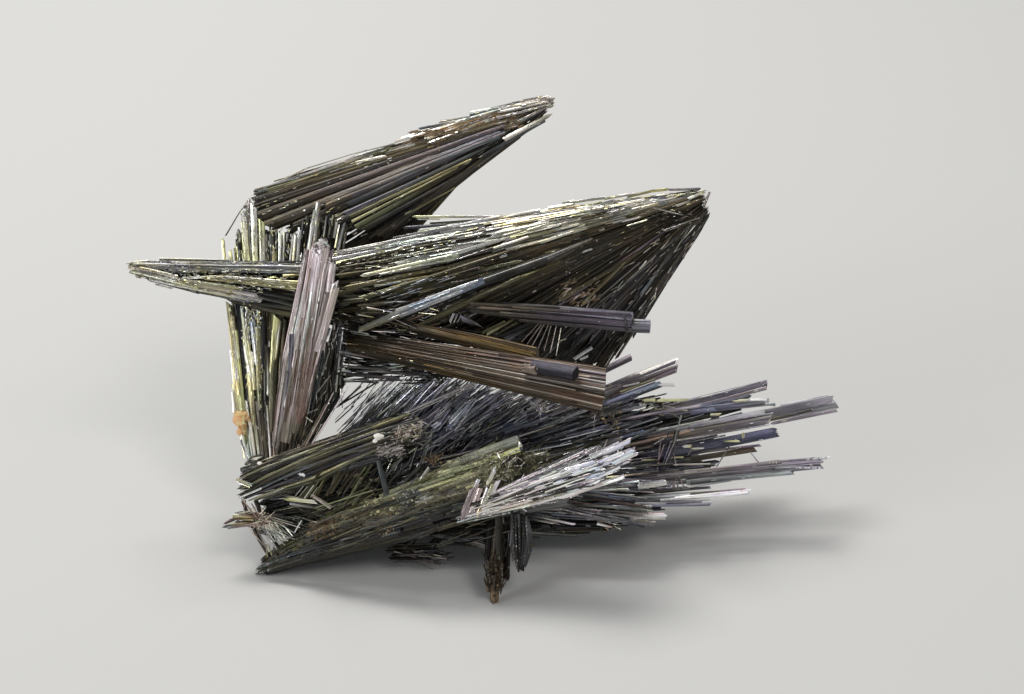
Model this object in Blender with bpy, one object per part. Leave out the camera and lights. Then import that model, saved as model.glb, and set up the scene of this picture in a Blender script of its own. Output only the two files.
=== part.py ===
"""Stibnite crystal spray: sheaves of long striated prisms grown through one another.

Every sheaf is one closed solid, a union of tapered prisms ("ribs") that share a root and fan out
to staggered ends. Where two sheaves cross, the coarser one is grooved round the finer one with a
gap of GAP. The whole cluster stands on the flattened lower ends of its downward crystals.

The crystals are set out on a drawing sheet that leans back by LEAN: x runs to the right and y
down the sheet, both in UNIT, and the third number is the depth behind the sheet in millimetres.
"""

import math

import bmesh
import bpy
from mathutils import Matrix, Vector
from mathutils.bvhtree import BVHTree

# ---------------------------------------------------------------- driving dimensions (millimetres)
UNIT = 0.125               # one unit of the drawing sheet
LEAN = math.radians(28.0)  # lean of the sheet from the vertical
SIGHT = 355.0              # eye distance of the sheet's one-point perspective
SHEET_X, SHEET_Y = 512.0, 347.0  # sheet position above the working origin
LEVEL = 24.8               # height of the sheet's middle above the resting plane
GAP = 0.3                  # clearance between neighbouring solids
METRES = 0.001             # the finished solids are scaled from millimetres to metres

# ---------------------------------------------------------------- colours
STEEL = ((0.30, 0.32, 0.34), 0.28, 0.9)
BRONZE = ((0.17, 0.13, 0.09), 0.34, 0.85)
OLIVE = ((0.24, 0.23, 0.12), 0.36, 0.85)
MAUVE = ((0.36, 0.30, 0.32), 0.30, 0.9)
COPPER = ((0.28, 0.17, 0.11), 0.32, 0.85)
VIOLET = ((0.19, 0.18, 0.24), 0.30, 0.9)
SILVER = ((0.48, 0.46, 0.47), 0.25, 0.95)
EARTH = ((0.20, 0.15, 0.10), 0.55, 0.5)


# ---------------------------------------------------------------- drawing sheet
def at(p):
    """World point of sheet position p = (x, y, depth in mm)."""
    x, y, d = p
    k = 1.0 + d / SIGHT
    right = (x - SHEET_X) * UNIT * k
    up = (SHEET_Y - y) * UNIT * k
    return Vector((right,
                   up * math.sin(LEAN) + d * math.cos(LEAN),
                   LEVEL + up * math.cos(LEAN) - d * math.sin(LEAN)))


SIGHT_DIR = Vector((0.0, math.cos(LEAN), -math.sin(LEAN)))


def along(points, u):
    """Point at fraction u of a polyline, counted by its number of spans."""
    if len(points) == 1:
        return points[0].copy()
    s = min(max(u, 0.0), 1.0) * (len(points) - 1)
    i = min(int(s), len(points) - 2)
    return points[i].lerp(points[i + 1], s - i)


# ---------------------------------------------------------------- solids
def loft(stations, sides):
    """Closed prism through stations (centre, width axis, thickness axis, half width, half thickness, skew)."""
    bm = bmesh.new()
    rings = []
    for c, w, n, hw, ht, skew in stations:
        ring = []
        for k in range(sides):
            a = 2 * math.pi * (k + 0.5) / sides
            ring.append(bm.verts.new(c + w * (hw * math.cos(a)) + n * (ht * math.sin(a))
                                     + skew * math.cos(a)))
        rings.append(ring)
    for lo, hi in zip(rings, rings[1:]):
        for k in range(sides):
            bm.faces.new((lo[k], lo[(k + 1) % sides], hi[(k + 1) % sides], hi[k]))
    bm.faces.new(list(reversed(rings[0])))
    bm.faces.new(rings[-1])
    bmesh.ops.triangulate(bm, faces=bm.faces)
    bmesh.ops.recalc_face_normals(bm, faces=bm.faces)
    if bm.calc_volume(signed=True) < 0:
        bmesh.ops.reverse_faces(bm, faces=bm.faces)
    return bm


def crystal(path, width, thick, sides=6, roll=0.0, slant=0.0, grow=0.0):
    """One prism along a path of sheet points; width and thick in mm, at each point."""
    pts = [at(p) for p in path]
    first = (pts[1] - pts[0]).normalized()
    last = (pts[-1] - pts[-2]).normalized()
    pts[0] = pts[0] - first * grow
    pts[-1] = pts[-1] + last * grow
    out = []
    for i, p in enumerate(pts):
        d = (pts[min(i + 1, len(pts) - 1)] - pts[max(i - 1, 0)]).normalized()
        w = d.cross(SIGHT_DIR).normalized()
        n = w.cross(d).normalized()
        r = math.radians(roll)
        w, n = w * math.cos(r) + n * math.sin(r), n * math.cos(r) - w * math.sin(r)
        hw = width[i] / 2 + grow
        ht = thick[i] / 2 + grow
        skew = d * (slant * hw) if i == len(pts) - 1 else Vector((0, 0, 0))
        out.append((p, w, n, hw, ht, skew))
    return [loft(out, sides)]


def sheaf(root, ends, thick, ribs, cut=(), sides=6, start=0.0, lens=0.35, grow=0.0):
    """Ribs fanning from the root line to the line of ends; thick is (at root, at ends) in mm."""
    a = [at(p) for p in root]
    b = [at(p) for p in ends]
    out = []
    for i in range(ribs):
        u = (i + 0.5) / ribs
        p0, p1 = along(a, u), along(b, u)
        d = (p1 - p0).normalized()
        e = (along(b, u + 0.5 / ribs) - along(b, u - 0.5 / ribs))
        w = (e - d * e.dot(d)).normalized()
        n = d.cross(w).normalized()
        if n.dot(SIGHT_DIR) > 0:
            n = -n
        short = cut[i % len(cut)] if cut else 0.0
        side = 0.10 if i % 2 else -0.10
        stations = []
        for t in (start, start + 0.45 * (1 - short - start), 1.0 - short):
            t_used = t
            if t == start:
                t_used = t - grow / (p1 - p0).length
            elif t == 1.0 - short:
                t_used = t + grow / (p1 - p0).length
            c = p0.lerp(p1, t_used)
            ra = (along(a, u + 0.5 / ribs) - along(a, u - 0.5 / ribs)).length if len(a) > 1 else 0.2
            rb = e.length
            hw = 0.62 * (ra * (1 - t) + rb * t) + 0.1
            tk = thick[0] * (1 - t) + thick[1] * t
            bulge = 1.0 - lens * (2 * u - 1) ** 2
            ht = 0.5 * tk * bulge
            skew = d * (hw * (0.5 if i % 2 else -0.4)) if t == 1.0 - short else Vector((0, 0, 0))
            stations.append((c + n * (side * ht), w, n, hw + grow, ht + grow, skew))
        out.append(loft(stations, sides))
    return out


# ---------------------------------------------------------------- the crystals
C, F = crystal, sheaf

PIECES = {
    "stub_crystal": (VIOLET, [
        (C, dict(path=[(533, 368, -8.0), (576, 375, -10.4)], width=(2.4, 2.4), thick=(2.0, 2.0), slant=0.1)),
        (C, dict(path=[(522, 368, -7.2), (537, 369, -8.3)], width=(1.1, 1.5), thick=(1.2, 1.4))),
    ]),
    "lance_crystal": (STEEL, [
        (C, dict(path=[(592, 239, 2.0), (547, 259, 0.9), (480, 283, 0.4), (400, 314, 0.1), (358, 330, -0.1)],
                 width=(0.5, 1.2, 1.5, 1.4, 0.3), thick=(0.5, 1.0, 1.2, 1.0, 0.3))),
    ]),
    "olive_lance": (OLIVE, [
        (C, dict(path=[(566, 258, 2.6), (488, 292, 0.9), (450, 311, 0.4), (418, 327, 0.0)],
                 width=(0.5, 1.1, 1.1, 0.3), thick=(0.6, 1.1, 1.0, 0.3))),
    ]),
    "grey_prism": (VIOLET, [
        (C, dict(path=[(466, 303, 1.6), (530, 310.5, 0.8), (632, 321.5, -0.8)],
                 width=(1.7, 2.6, 2.8), thick=(1.6, 2.0, 2.2))),
        (C, dict(path=[(626, 326, -0.6), (650, 326.5, -1.0)], width=(1.9, 1.9), thick=(1.5, 1.5), slant=0.1)),
    ]),
    "brown_prism": (COPPER, [
        (F, dict(root=[(347, 331, 3.0), (347, 341, 2.2), (348, 351, 1.6)],
                 ends=[(606, 369, -7.0), (605, 390, -8.2), (601, 412, -8.8)],
                 thick=(2.2, 4.4), ribs=3, lens=0.2)),
        (C, dict(path=[(396, 328, 1.2), (460, 337, -1.6), (537, 351, -4.6)],
                 width=(0.8, 1.4, 1.8), thick=(1.6, 2.4, 2.8))),
    ]),
    "front_blade": (MAUVE, [
        (C, dict(path=[(275, 446, 2.3), (286, 371, 0.6), (309, 250, -2.0)], width=(0.7, 1.4, 0.9), thick=(0.9, 2.0, 1.2))),
        (C, dict(path=[(278, 458, 2.6), (293, 371, 0.4), (317, 242, -2.5)], width=(0.8, 1.7, 0.9), thick=(1.0, 2.4, 1.4))),
        (C, dict(path=[(281, 461, 2.6), (302, 371, 0.2), (324, 238, -2.8)], width=(0.8, 1.7, 0.9), thick=(1.0, 2.6, 1.4))),
        (C, dict(path=[(285, 458, 2.7), (309, 371, 0.4), (330, 250, -2.4)], width=(0.8, 1.6, 1.0), thick=(1.0, 2.4, 1.3))),
        (C, dict(path=[(291, 446, 2.5), (316, 350, 0.4), (333, 289, -1.1)], width=(0.7, 1.3, 1.1), thick=(0.8, 1.9, 1.4))),
    ]),
    "silver_sheaf": (SILVER, [
        (F, dict(root=[(450, 513, -6.4), (458, 523, -6.2)],
                 ends=[(602, 441, -9.0), (633, 448, -9.4), (632, 460, -9.4), (604, 478, -8.8), (574, 496, -8.0)],
                 thick=(0.9, 2.8), ribs=4, cut=(0.05, 0.0, 0.03, 0.02))),
        (C, dict(path=[(481, 513, -7.0), (491, 470, -8.8)], width=(0.8, 0.7), thick=(0.8, 0.7))),
        (C, dict(path=[(472, 514, -6.7), (478, 481, -8.2)], width=(0.8, 0.7), thick=(0.8, 0.7))),
    ]),
    "left_tuft": (EARTH, [
        (C, dict(path=[(268, 514, -0.6), (242, 520, -1.6), (225, 521, -1.9)], width=(1.8, 1.3, 0.4), thick=(1.6, 1.2, 0.4))),
        (C, dict(path=[(243, 500, -1.2), (254, 530, -0.9), (272, 560, -0.1)], width=(0.7, 0.9, 0.8), thick=(0.8, 0.9, 0.8))),
        (C, dict(path=[(256, 500, -0.7), (268, 530, -0.4), (283, 556, 0.0)], width=(0.8, 0.9, 0.8), thick=(0.8, 0.9, 0.8))),
    ]),
    "foot_cluster": (EARTH, [
        (C, dict(path=[(503, 506, -5.6), (497, 556, -6.0), (494, 606, -6.0)], width=(2.2, 1.9, 1.7), thick=(2.4, 2.0, 2.0))),
        (C, dict(path=[(513, 508, -6.0), (517, 540, -6.6), (521, 571, -7.0)], width=(1.6, 2.3, 1.8), thick=(1.0, 1.0, 0.8), slant=-0.3)),
        (C, dict(path=[(492, 514, -5.0), (486, 562, -5.4)], width=(1.2, 0.9), thick=(1.4, 1.0))),
        (C, dict(path=[(507, 510, -4.8), (507, 584, -5.2)], width=(1.4, 0.9), thick=(1.4, 1.0))),
        (C, dict(path=[(432, 533, -2.6), (464, 540, -3.8), (498, 549, -5.4)], width=(0.8, 1.1, 1.0), thick=(0.8, 1.0, 1.0))),
        (C, dict(path=[(500, 531, -5.6), (560, 534, -3.4)], width=(1.0, 0.6), thick=(0.9, 0.6))),
    ]),
    "lower_blade_front": (OLIVE, [
        (F, dict(root=[(256, 569, 0.2), (257, 577, 0.0)],
                 ends=[(508, 439, -3.8), (521, 447, -4.4), (522, 468, -5.0), (502, 498, -5.2), (458, 520, -4.8)],
                 thick=(1.1, 4.6), ribs=6, cut=(0.0, 0.0, 0.06, 0.02))),
        (F, dict(root=[(262, 558, 0.6), (262, 564, 0.4)], ends=[(345, 504, -0.2), (398, 491, -2.4)],
                 thick=(0.8, 2.6), ribs=2)),
    ]),
    "lower_blade_back": (OLIVE, [
        (F, dict(root=[(244, 467, -0.7), (239, 482, -1.0), (242, 497, -1.3)],
                 ends=[(405, 413, 0.6), (428, 421, -0.2), (432, 438, -1.2), (408, 452, -1.8)],
                 thick=(1.4, 3.4), ribs=5, cut=(0.0, 0.03, 0.0, 0.05))),
    ]),
    "left_spear": (STEEL, [
        (F, dict(root=[(129, 263, 2.8), (130, 273, 2.4)],
                 ends=[(344, 265, 3.0), (350, 278, 2.4), (350, 295, 2.0), (344, 310, 2.4), (338, 321, 3.2)],
                 thick=(1.3, 4.2), ribs=5)),
    ]),
    "upright_spray": (OLIVE, [
        (F, dict(root=[(252, 462, 4.6), (268, 470, 4.2), (284, 468, 4.4), (298, 460, 5.0)],
                 ends=[(236, 247, 7.0), (243, 210, 7.6), (253, 200, 8.0), (266, 223, 7.6), (284, 232, 7.2),
                       (300, 228, 7.2), (318, 202, 7.6), (331, 216, 8.2), (341, 222, 8.6)],
                 thick=(1.8, 5.0), ribs=8)),
        (F, dict(root=[(300, 462, 4.0), (304, 456, 4.0)], ends=[(340, 300, 6.6), (345, 352, 5.6), (344, 388, 4.4)],
                 thick=(1.4, 2.4), ribs=3)),
    ]),
    "middle_fan": (BRONZE, [
        (F, dict(root=[(706, 190, 4.2), (705, 199, 4.4)],
                 ends=[(336, 256, 4.4), (341, 275, 3.6), (352, 298, 2.8), (366, 321, 2.3), (422, 326, 2.8), (474, 323, 4.0)],
                 thick=(1.2, 4.6), ribs=7, cut=(0.0, 0.03, 0.0, 0.02))),
        (F, dict(root=[(705, 195, 4.8), (708, 205, 5.4), (709, 216, 6.2)],
                 ends=[(480, 326, 5.0), (530, 338, 7.0), (566, 351, 8.8), (592, 361, 9.8), (618, 352, 10.6)],
                 thick=(1.1, 3.4), ribs=6, cut=(0.0, 0.05, 0.02))),
        (F, dict(root=[(702, 190, 4.0), (700, 196, 4.0)], ends=[(432, 232, 4.8), (470, 236, 3.4), (505, 247, 2.8)],
                 thick=(1.0, 2.6), ribs=3, cut=(0.0, 0.08, 0.03), start=0.02)),
    ]),
    "upper_fan": (BRONZE, [
        (F, dict(root=[(552, 100, 9.6), (547, 113, 9.2)],
                 ends=[(251, 192, 12.8), (248, 214, 11.9), (270, 229, 11.2), (306, 236, 10.2), (348, 240, 9.0), (382, 242, 8.0)],
                 thick=(1.0, 4.8), ribs=7, cut=(0.0, 0.02, 0.0, 0.05, 0.01))),
        (F, dict(root=[(541, 97, 9.8), (543, 103, 9.4)], ends=[(400, 141, 11.4), (426, 150, 9.0)],
                 thick=(0.8, 2.6), ribs=2, cut=(0.0, 0.08))),
    ]),
    "lower_spray": (VIOLET, [
        (F, dict(root=[(264, 508, 2.2), (270, 530, 1.8)],
                 ends=[(646, 446, 7.6), (672, 470, 5.4), (668, 494, 3.0), (636, 512, 1.0), (600, 524, -0.4)],
                 thick=(4.0, 5.0), ribs=6, cut=(0.0, 0.05, 0.02, 0.08))),
        (F, dict(root=[(262, 498, 1.6), (264, 536, 1.2)],
                 ends=[(400, 452, 2.4), (420, 472, 1.6), (410, 502, 0.8), (362, 528, 0.4)],
                 thick=(3.6, 4.6), ribs=4, cut=(0.0, 0.06))),
        (F, dict(root=[(272, 488, 3.4), (284, 500, 3.6), (300, 508, 4.0)],
                 ends=[(416, 386, 8.0), (441, 374, 9.0), (480, 386, 10.0), (520, 397, 10.6), (560, 405, 11.0), (598, 408, 11.2)],
                 thick=(4.0, 5.4), ribs=7, cut=(0.02, 0.0, 0.05, 0.0, 0.08))),
        (F, dict(root=[(270, 500, 3.6), (272, 520, 3.4)],
                 ends=[(606, 414, 10.6), (644, 432, 9.2), (650, 462, 7.4)],
                 thick=(4.4, 5.0), ribs=3, cut=(0.02, 0.06))),
        (C, dict(path=[(440, 464, 7.4), (607, 391, 10.6), (679, 365, 12.0)], width=(1.8, 2.1, 2.1), thick=(1.6, 1.9, 1.9), slant=0.3)),
        (C, dict(path=[(460, 460, 7.4), (605, 405, 10.0), (672, 384, 11.0)], width=(1.0, 1.0, 0.8), thick=(1.0, 1.0, 0.8))),
        (C, dict(path=[(500, 420, 9.8), (608, 368, 11.0), (631, 357, 11.4)], width=(1.0, 1.0, 0.9), thick=(1.0, 1.0, 0.9))),
        (C, dict(path=[(470, 474, 7.0), (652, 413, 11.0), (766, 385, 13.4)], width=(1.2, 1.4, 1.1), thick=(1.2, 1.3, 1.0))),
        (C, dict(path=[(520, 444, 9.0), (680, 404, 11.4), (772, 402, 13.0)], width=(1.0, 1.0, 0.8), thick=(1.0, 1.0, 0.8))),
        (C, dict(path=[(460, 482, 5.4), (625, 444, 8.2), (836, 402, 11.0)], width=(1.5, 1.7, 1.7), thick=(1.5, 1.7, 1.6), slant=-0.5)),
        (C, dict(path=[(520, 482, 6.2), (779, 428, 9.4)], width=(1.6, 1.3), thick=(1.4, 1.2))),
        (C, dict(path=[(460, 500, 3.8), (607, 483, 4.6), (826, 463.5, 5.6)], width=(1.5, 1.6, 1.4), thick=(1.4, 1.5, 1.2), slant=0.4)),
        (C, dict(path=[(460, 510, 2.4), (634, 498, 3.0), (748, 491, 3.6)], width=(1.1, 1.1, 1.0), thick=(1.1, 1.1, 1.0))),
        (C, dict(path=[(460, 514, 1.4), (616, 504, 1.6), (710, 502, 2.0)], width=(0.9, 0.9, 0.9), thick=(1.0, 0.9, 0.8))),
        (C, dict(path=[(440, 516, 0.8), (589, 513, 0.4), (665, 515, 0.4)], width=(1.0, 1.0, 0.9), thick=(1.2, 1.0, 0.9))),
    ]),
    "rear_needles": (BRONZE, [
        (F, dict(root=[(352, 462, 7.6), (390, 456, 8.4), (430, 454, 8.6)],
                 ends=[(322, 458, 23.8), (400, 452, 24.8), (486, 453, 24.6), (560, 462, 23.4)],
                 thick=(2.4, 2.8), ribs=6, cut=(0.0, 0.06, 0.0, 0.1))),
    ]),
}

# ---------------------------------------------------------------- Blender objects
def material(name, spec):
    colour, rough, metal = spec
    mat = bpy.data.materials.new(name)
    mat.use_nodes = True
    bsdf = mat.node_tree.nodes["Principled BSDF"]
    bsdf.inputs["Base Color"].default_value = (*colour, 1.0)
    bsdf.inputs["Roughness"].default_value = rough
    bsdf.inputs["Metallic"].default_value = metal
    return mat


def to_object(name, bm):
    mesh = bpy.data.meshes.new(name)
    bm.to_mesh(mesh)
    obj = bpy.data.objects.new(name, mesh)
    bpy.context.scene.collection.objects.link(obj)
    return obj


def volume(mesh):
    """Enclosed volume of a mesh, or -1 where it isn't closed."""
    bm = bmesh.new()
    bm.from_mesh(mesh)
    closed = all(e.is_manifold for e in bm.edges)
    result = bm.calc_volume(signed=True) if closed else -1.0
    bm.free()
    return result


def boolean(obj, other, operation):
    """Apply one Boolean to obj: exact, or manifold where the exact one leaves an open or shrunken shape."""
    before, tool = volume(obj.data), volume(other.data)
    for solver in ("EXACT", "MANIFOLD"):
        mod = obj.modifiers.new("join", "BOOLEAN")
        mod.operation = operation
        mod.solver = solver
        mod.object = other
        bpy.context.view_layer.update()
        dg = bpy.context.evaluated_depsgraph_get()
        mesh = bpy.data.meshes.new_from_object(obj.evaluated_get(dg))
        obj.modifiers.clear()
        after = volume(mesh)
        if operation == "UNION":
            good = max(before, tool) * 0.999 <= after <= (before + tool) * 1.001
        else:
            good = before - tool - 0.001 <= after <= before * 1.001 and after > 0.2 * before
        if good:
            break
        print("   ", solver, operation, "failed:", before, tool, after)
        if solver == "EXACT":
            bpy.data.meshes.remove(mesh)
    old = obj.data
    obj.data = mesh
    bpy.data.meshes.remove(old)


def remove(obj):
    mesh = obj.data
    bpy.data.objects.remove(obj)
    bpy.data.meshes.remove(mesh)


def build(name, parts, grow=0.0):
    """Union of a piece's prisms, each one grown outwards by grow."""
    result = None
    for make, spec in parts:
        for bm in make(grow=grow, **spec):
            obj = to_object(name + "_rib", bm)
            bm.free()
            if result is None:
                result = obj
            else:
                boolean(result, obj, "UNION")
                remove(obj)
    return result


def largest_body(obj):
    """Drop crumbs that a groove has cut off, and keep the one main body."""
    bm = bmesh.new()
    bm.from_mesh(obj.data)
    bmesh.ops.remove_doubles(bm, verts=bm.verts, dist=2e-3)
    bmesh.ops.dissolve_degenerate(bm, edges=bm.edges, dist=2e-3)
    left = set(bm.faces)
    groups = []
    while left:
        seed = left.pop()
        group, stack = {seed}, [seed]
        while stack:
            for edge in stack.pop().edges:
                for face in edge.link_faces:
                    if face in left:
                        left.discard(face)
                        group.add(face)
                        stack.append(face)
        groups.append(group)
    def reach(g):
        lo = [min(v.co[k] for f in g for v in f.verts) for k in range(3)]
        hi = [max(v.co[k] for f in g for v in f.verts) for k in range(3)]
        return math.prod(h - l + 1e-3 for l, h in zip(lo, hi))
    groups.sort(key=reach, reverse=True)
    for group in groups[1:]:
        print("   ", obj.name, "drops", len(group), "faces, bounds", round(reach(group), 3), "mm3")
        bmesh.ops.delete(bm, geom=list(group), context="FACES")
    loose = [v for v in bm.verts if not v.link_faces]
    bmesh.ops.delete(bm, geom=loose, context="VERTS")
    bm.to_mesh(obj.data)
    bm.free()


def tree(obj):
    bm = bmesh.new()
    bm.from_mesh(obj.data)
    result = BVHTree.FromBMesh(bm)
    bm.free()
    return result


def main():
    for obj in list(bpy.data.objects):
        bpy.data.objects.remove(obj)

    # The fine crystals come first in PIECES; each later, coarser sheaf is grooved round the earlier ones.
    floor_bm = bmesh.new()
    bmesh.ops.create_cube(floor_bm, size=400.0)
    bmesh.ops.translate(floor_bm, verts=floor_bm.verts, vec=(0, 0, -200.0))
    floor = to_object("resting_plane", floor_bm)
    floor_bm.free()

    done = {}
    for name, (spec, parts) in PIECES.items():
        obj = build(name, parts)
        for other in done:
            grown = build(other, PIECES[other][1], grow=GAP)
            if tree(obj).overlap(tree(grown)):
                print("   ", name, "grooved by", other)
                boolean(obj, grown, "DIFFERENCE")
            remove(grown)
        if min(v.co.z for v in obj.data.vertices) < 0:
            boolean(obj, floor, "DIFFERENCE")
        largest_body(obj)
        obj.name = name
        obj.data.name = name
        obj.data.materials.clear()
        obj.data.materials.append(material(name, spec))
        done[name] = obj
    remove(floor)

    # Working origin moved to the middle of the underside.
    points = [v.co for obj in done.values() for v in obj.data.vertices]
    low = [min(p[k] for p in points) for k in range(3)]
    high = [max(p[k] for p in points) for k in range(3)]
    move = Vector((-(low[0] + high[0]) / 2, -(low[1] + high[1]) / 2, -low[2]))
    for obj in done.values():
        obj.data.transform(Matrix.Scale(METRES, 4) @ Matrix.Translation(move))
        print(obj.name, len(obj.data.polygons))
    print("moved by", [round(v, 3) for v in move])


main()
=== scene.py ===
import math

import bpy
import numpy as np
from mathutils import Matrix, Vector


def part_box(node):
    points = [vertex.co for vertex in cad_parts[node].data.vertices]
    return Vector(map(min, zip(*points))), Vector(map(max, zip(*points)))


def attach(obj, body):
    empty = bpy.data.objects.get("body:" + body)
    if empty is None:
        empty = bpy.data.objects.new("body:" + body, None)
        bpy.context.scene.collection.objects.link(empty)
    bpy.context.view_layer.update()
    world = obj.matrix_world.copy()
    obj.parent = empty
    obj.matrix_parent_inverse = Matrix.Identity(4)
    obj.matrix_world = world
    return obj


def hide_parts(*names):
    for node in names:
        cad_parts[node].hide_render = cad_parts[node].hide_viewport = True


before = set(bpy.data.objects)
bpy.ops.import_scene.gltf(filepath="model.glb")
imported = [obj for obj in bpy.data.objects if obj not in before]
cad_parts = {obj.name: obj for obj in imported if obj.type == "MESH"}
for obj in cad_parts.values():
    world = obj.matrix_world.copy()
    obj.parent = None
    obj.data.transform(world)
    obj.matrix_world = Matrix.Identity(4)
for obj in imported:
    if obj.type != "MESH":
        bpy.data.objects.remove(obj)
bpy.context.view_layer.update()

# ---------------------------------------------------------------- layout, the same sheet as the CAD model's (mm)
UNIT = 0.125
LEAN = math.radians(28.0)
SIGHT = 355.0
SHEET_X, SHEET_Y = 512.0, 347.0
LEVEL = 24.8
SIN, COS = math.sin(LEAN), math.cos(LEAN)
SIGHT_DIR = np.array([0.0, COS, -SIN])


def sheet(points):
    """Sheet positions (x, y, depth mm) to millimetres, before the move to the row's origin."""
    p = np.atleast_2d(np.asarray(points, float))
    k = 1.0 + p[:, 2] / SIGHT
    right = (p[:, 0] - SHEET_X) * UNIT * k
    up = (SHEET_Y - p[:, 1]) * UNIT * k
    d = p[:, 2]
    return np.stack([right, up * SIN + d * COS, LEVEL + up * COS - d * SIN], 1)


def unit(v):
    v = np.asarray(v, float)
    return v / np.maximum(np.linalg.norm(v, axis=-1, keepdims=True), 1e-12)


def find_move():
    """How far the CAD model's origin lies from the sheet's: read from the one crystal that nothing cuts."""
    path = [(592, 239, 2.0), (547, 259, 0.9), (480, 283, 0.4), (400, 314, 0.1), (358, 330, -0.1)]
    width, thick = (0.5, 1.2, 1.5, 1.4, 0.3), (0.5, 1.0, 1.2, 1.0, 0.3)
    pts = sheet(path)
    out = []
    for i, c in enumerate(pts):
        d = unit(pts[min(i + 1, 4)] - pts[max(i - 1, 0)])
        w = unit(np.cross(d, SIGHT_DIR))
        n = unit(np.cross(w, d))
        for k in range(6):
            a = 2 * math.pi * (k + 0.5) / 6
            out.append(c + w * (width[i] / 2 * math.cos(a)) + n * (thick[i] / 2 * math.sin(a)))
    lo = np.array(out).min(0)
    cad = np.array(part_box("lance_crystal")[0]) * 1000.0
    return cad - lo


MOVE = find_move()


def at(points):
    return sheet(points) + MOVE


# ---------------------------------------------------------------- colours of the metal, linear
TONES = {
    "silver": (0.80, 0.80, 0.76),
    "pale": (0.46, 0.46, 0.42),
    "steel": (0.20, 0.208, 0.21),
    "slate": (0.10, 0.104, 0.104),
    "blue": (0.15, 0.17, 0.21),
    "indigo": (0.095, 0.10, 0.14),
    "violet": (0.135, 0.122, 0.137),
    "bronze": (0.14, 0.12, 0.085),
    "brown": (0.085, 0.073, 0.050),
    "umber": (0.052, 0.047, 0.037),
    "copper": (0.19, 0.135, 0.105),
    "gold": (0.56, 0.53, 0.30),
    "olive": (0.17, 0.165, 0.10),
    "moss": (0.115, 0.112, 0.060),
    "mauve": (0.31, 0.275, 0.265),
    "pink": (0.55, 0.48, 0.46),
    "rust": (0.19, 0.13, 0.066),
    "black": (0.028, 0.028, 0.028),
    "ochre": (0.94, 0.62, 0.31),
    "honey": (0.21, 0.138, 0.046),
    "ice": (0.72, 0.78, 0.94),
    "cream": (0.90, 0.83, 0.76),
    "plum": (0.116, 0.108, 0.138),
    "peat": (0.062, 0.042, 0.017),
    "lichen": (0.21, 0.21, 0.14),
}


SPINES = []


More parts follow.
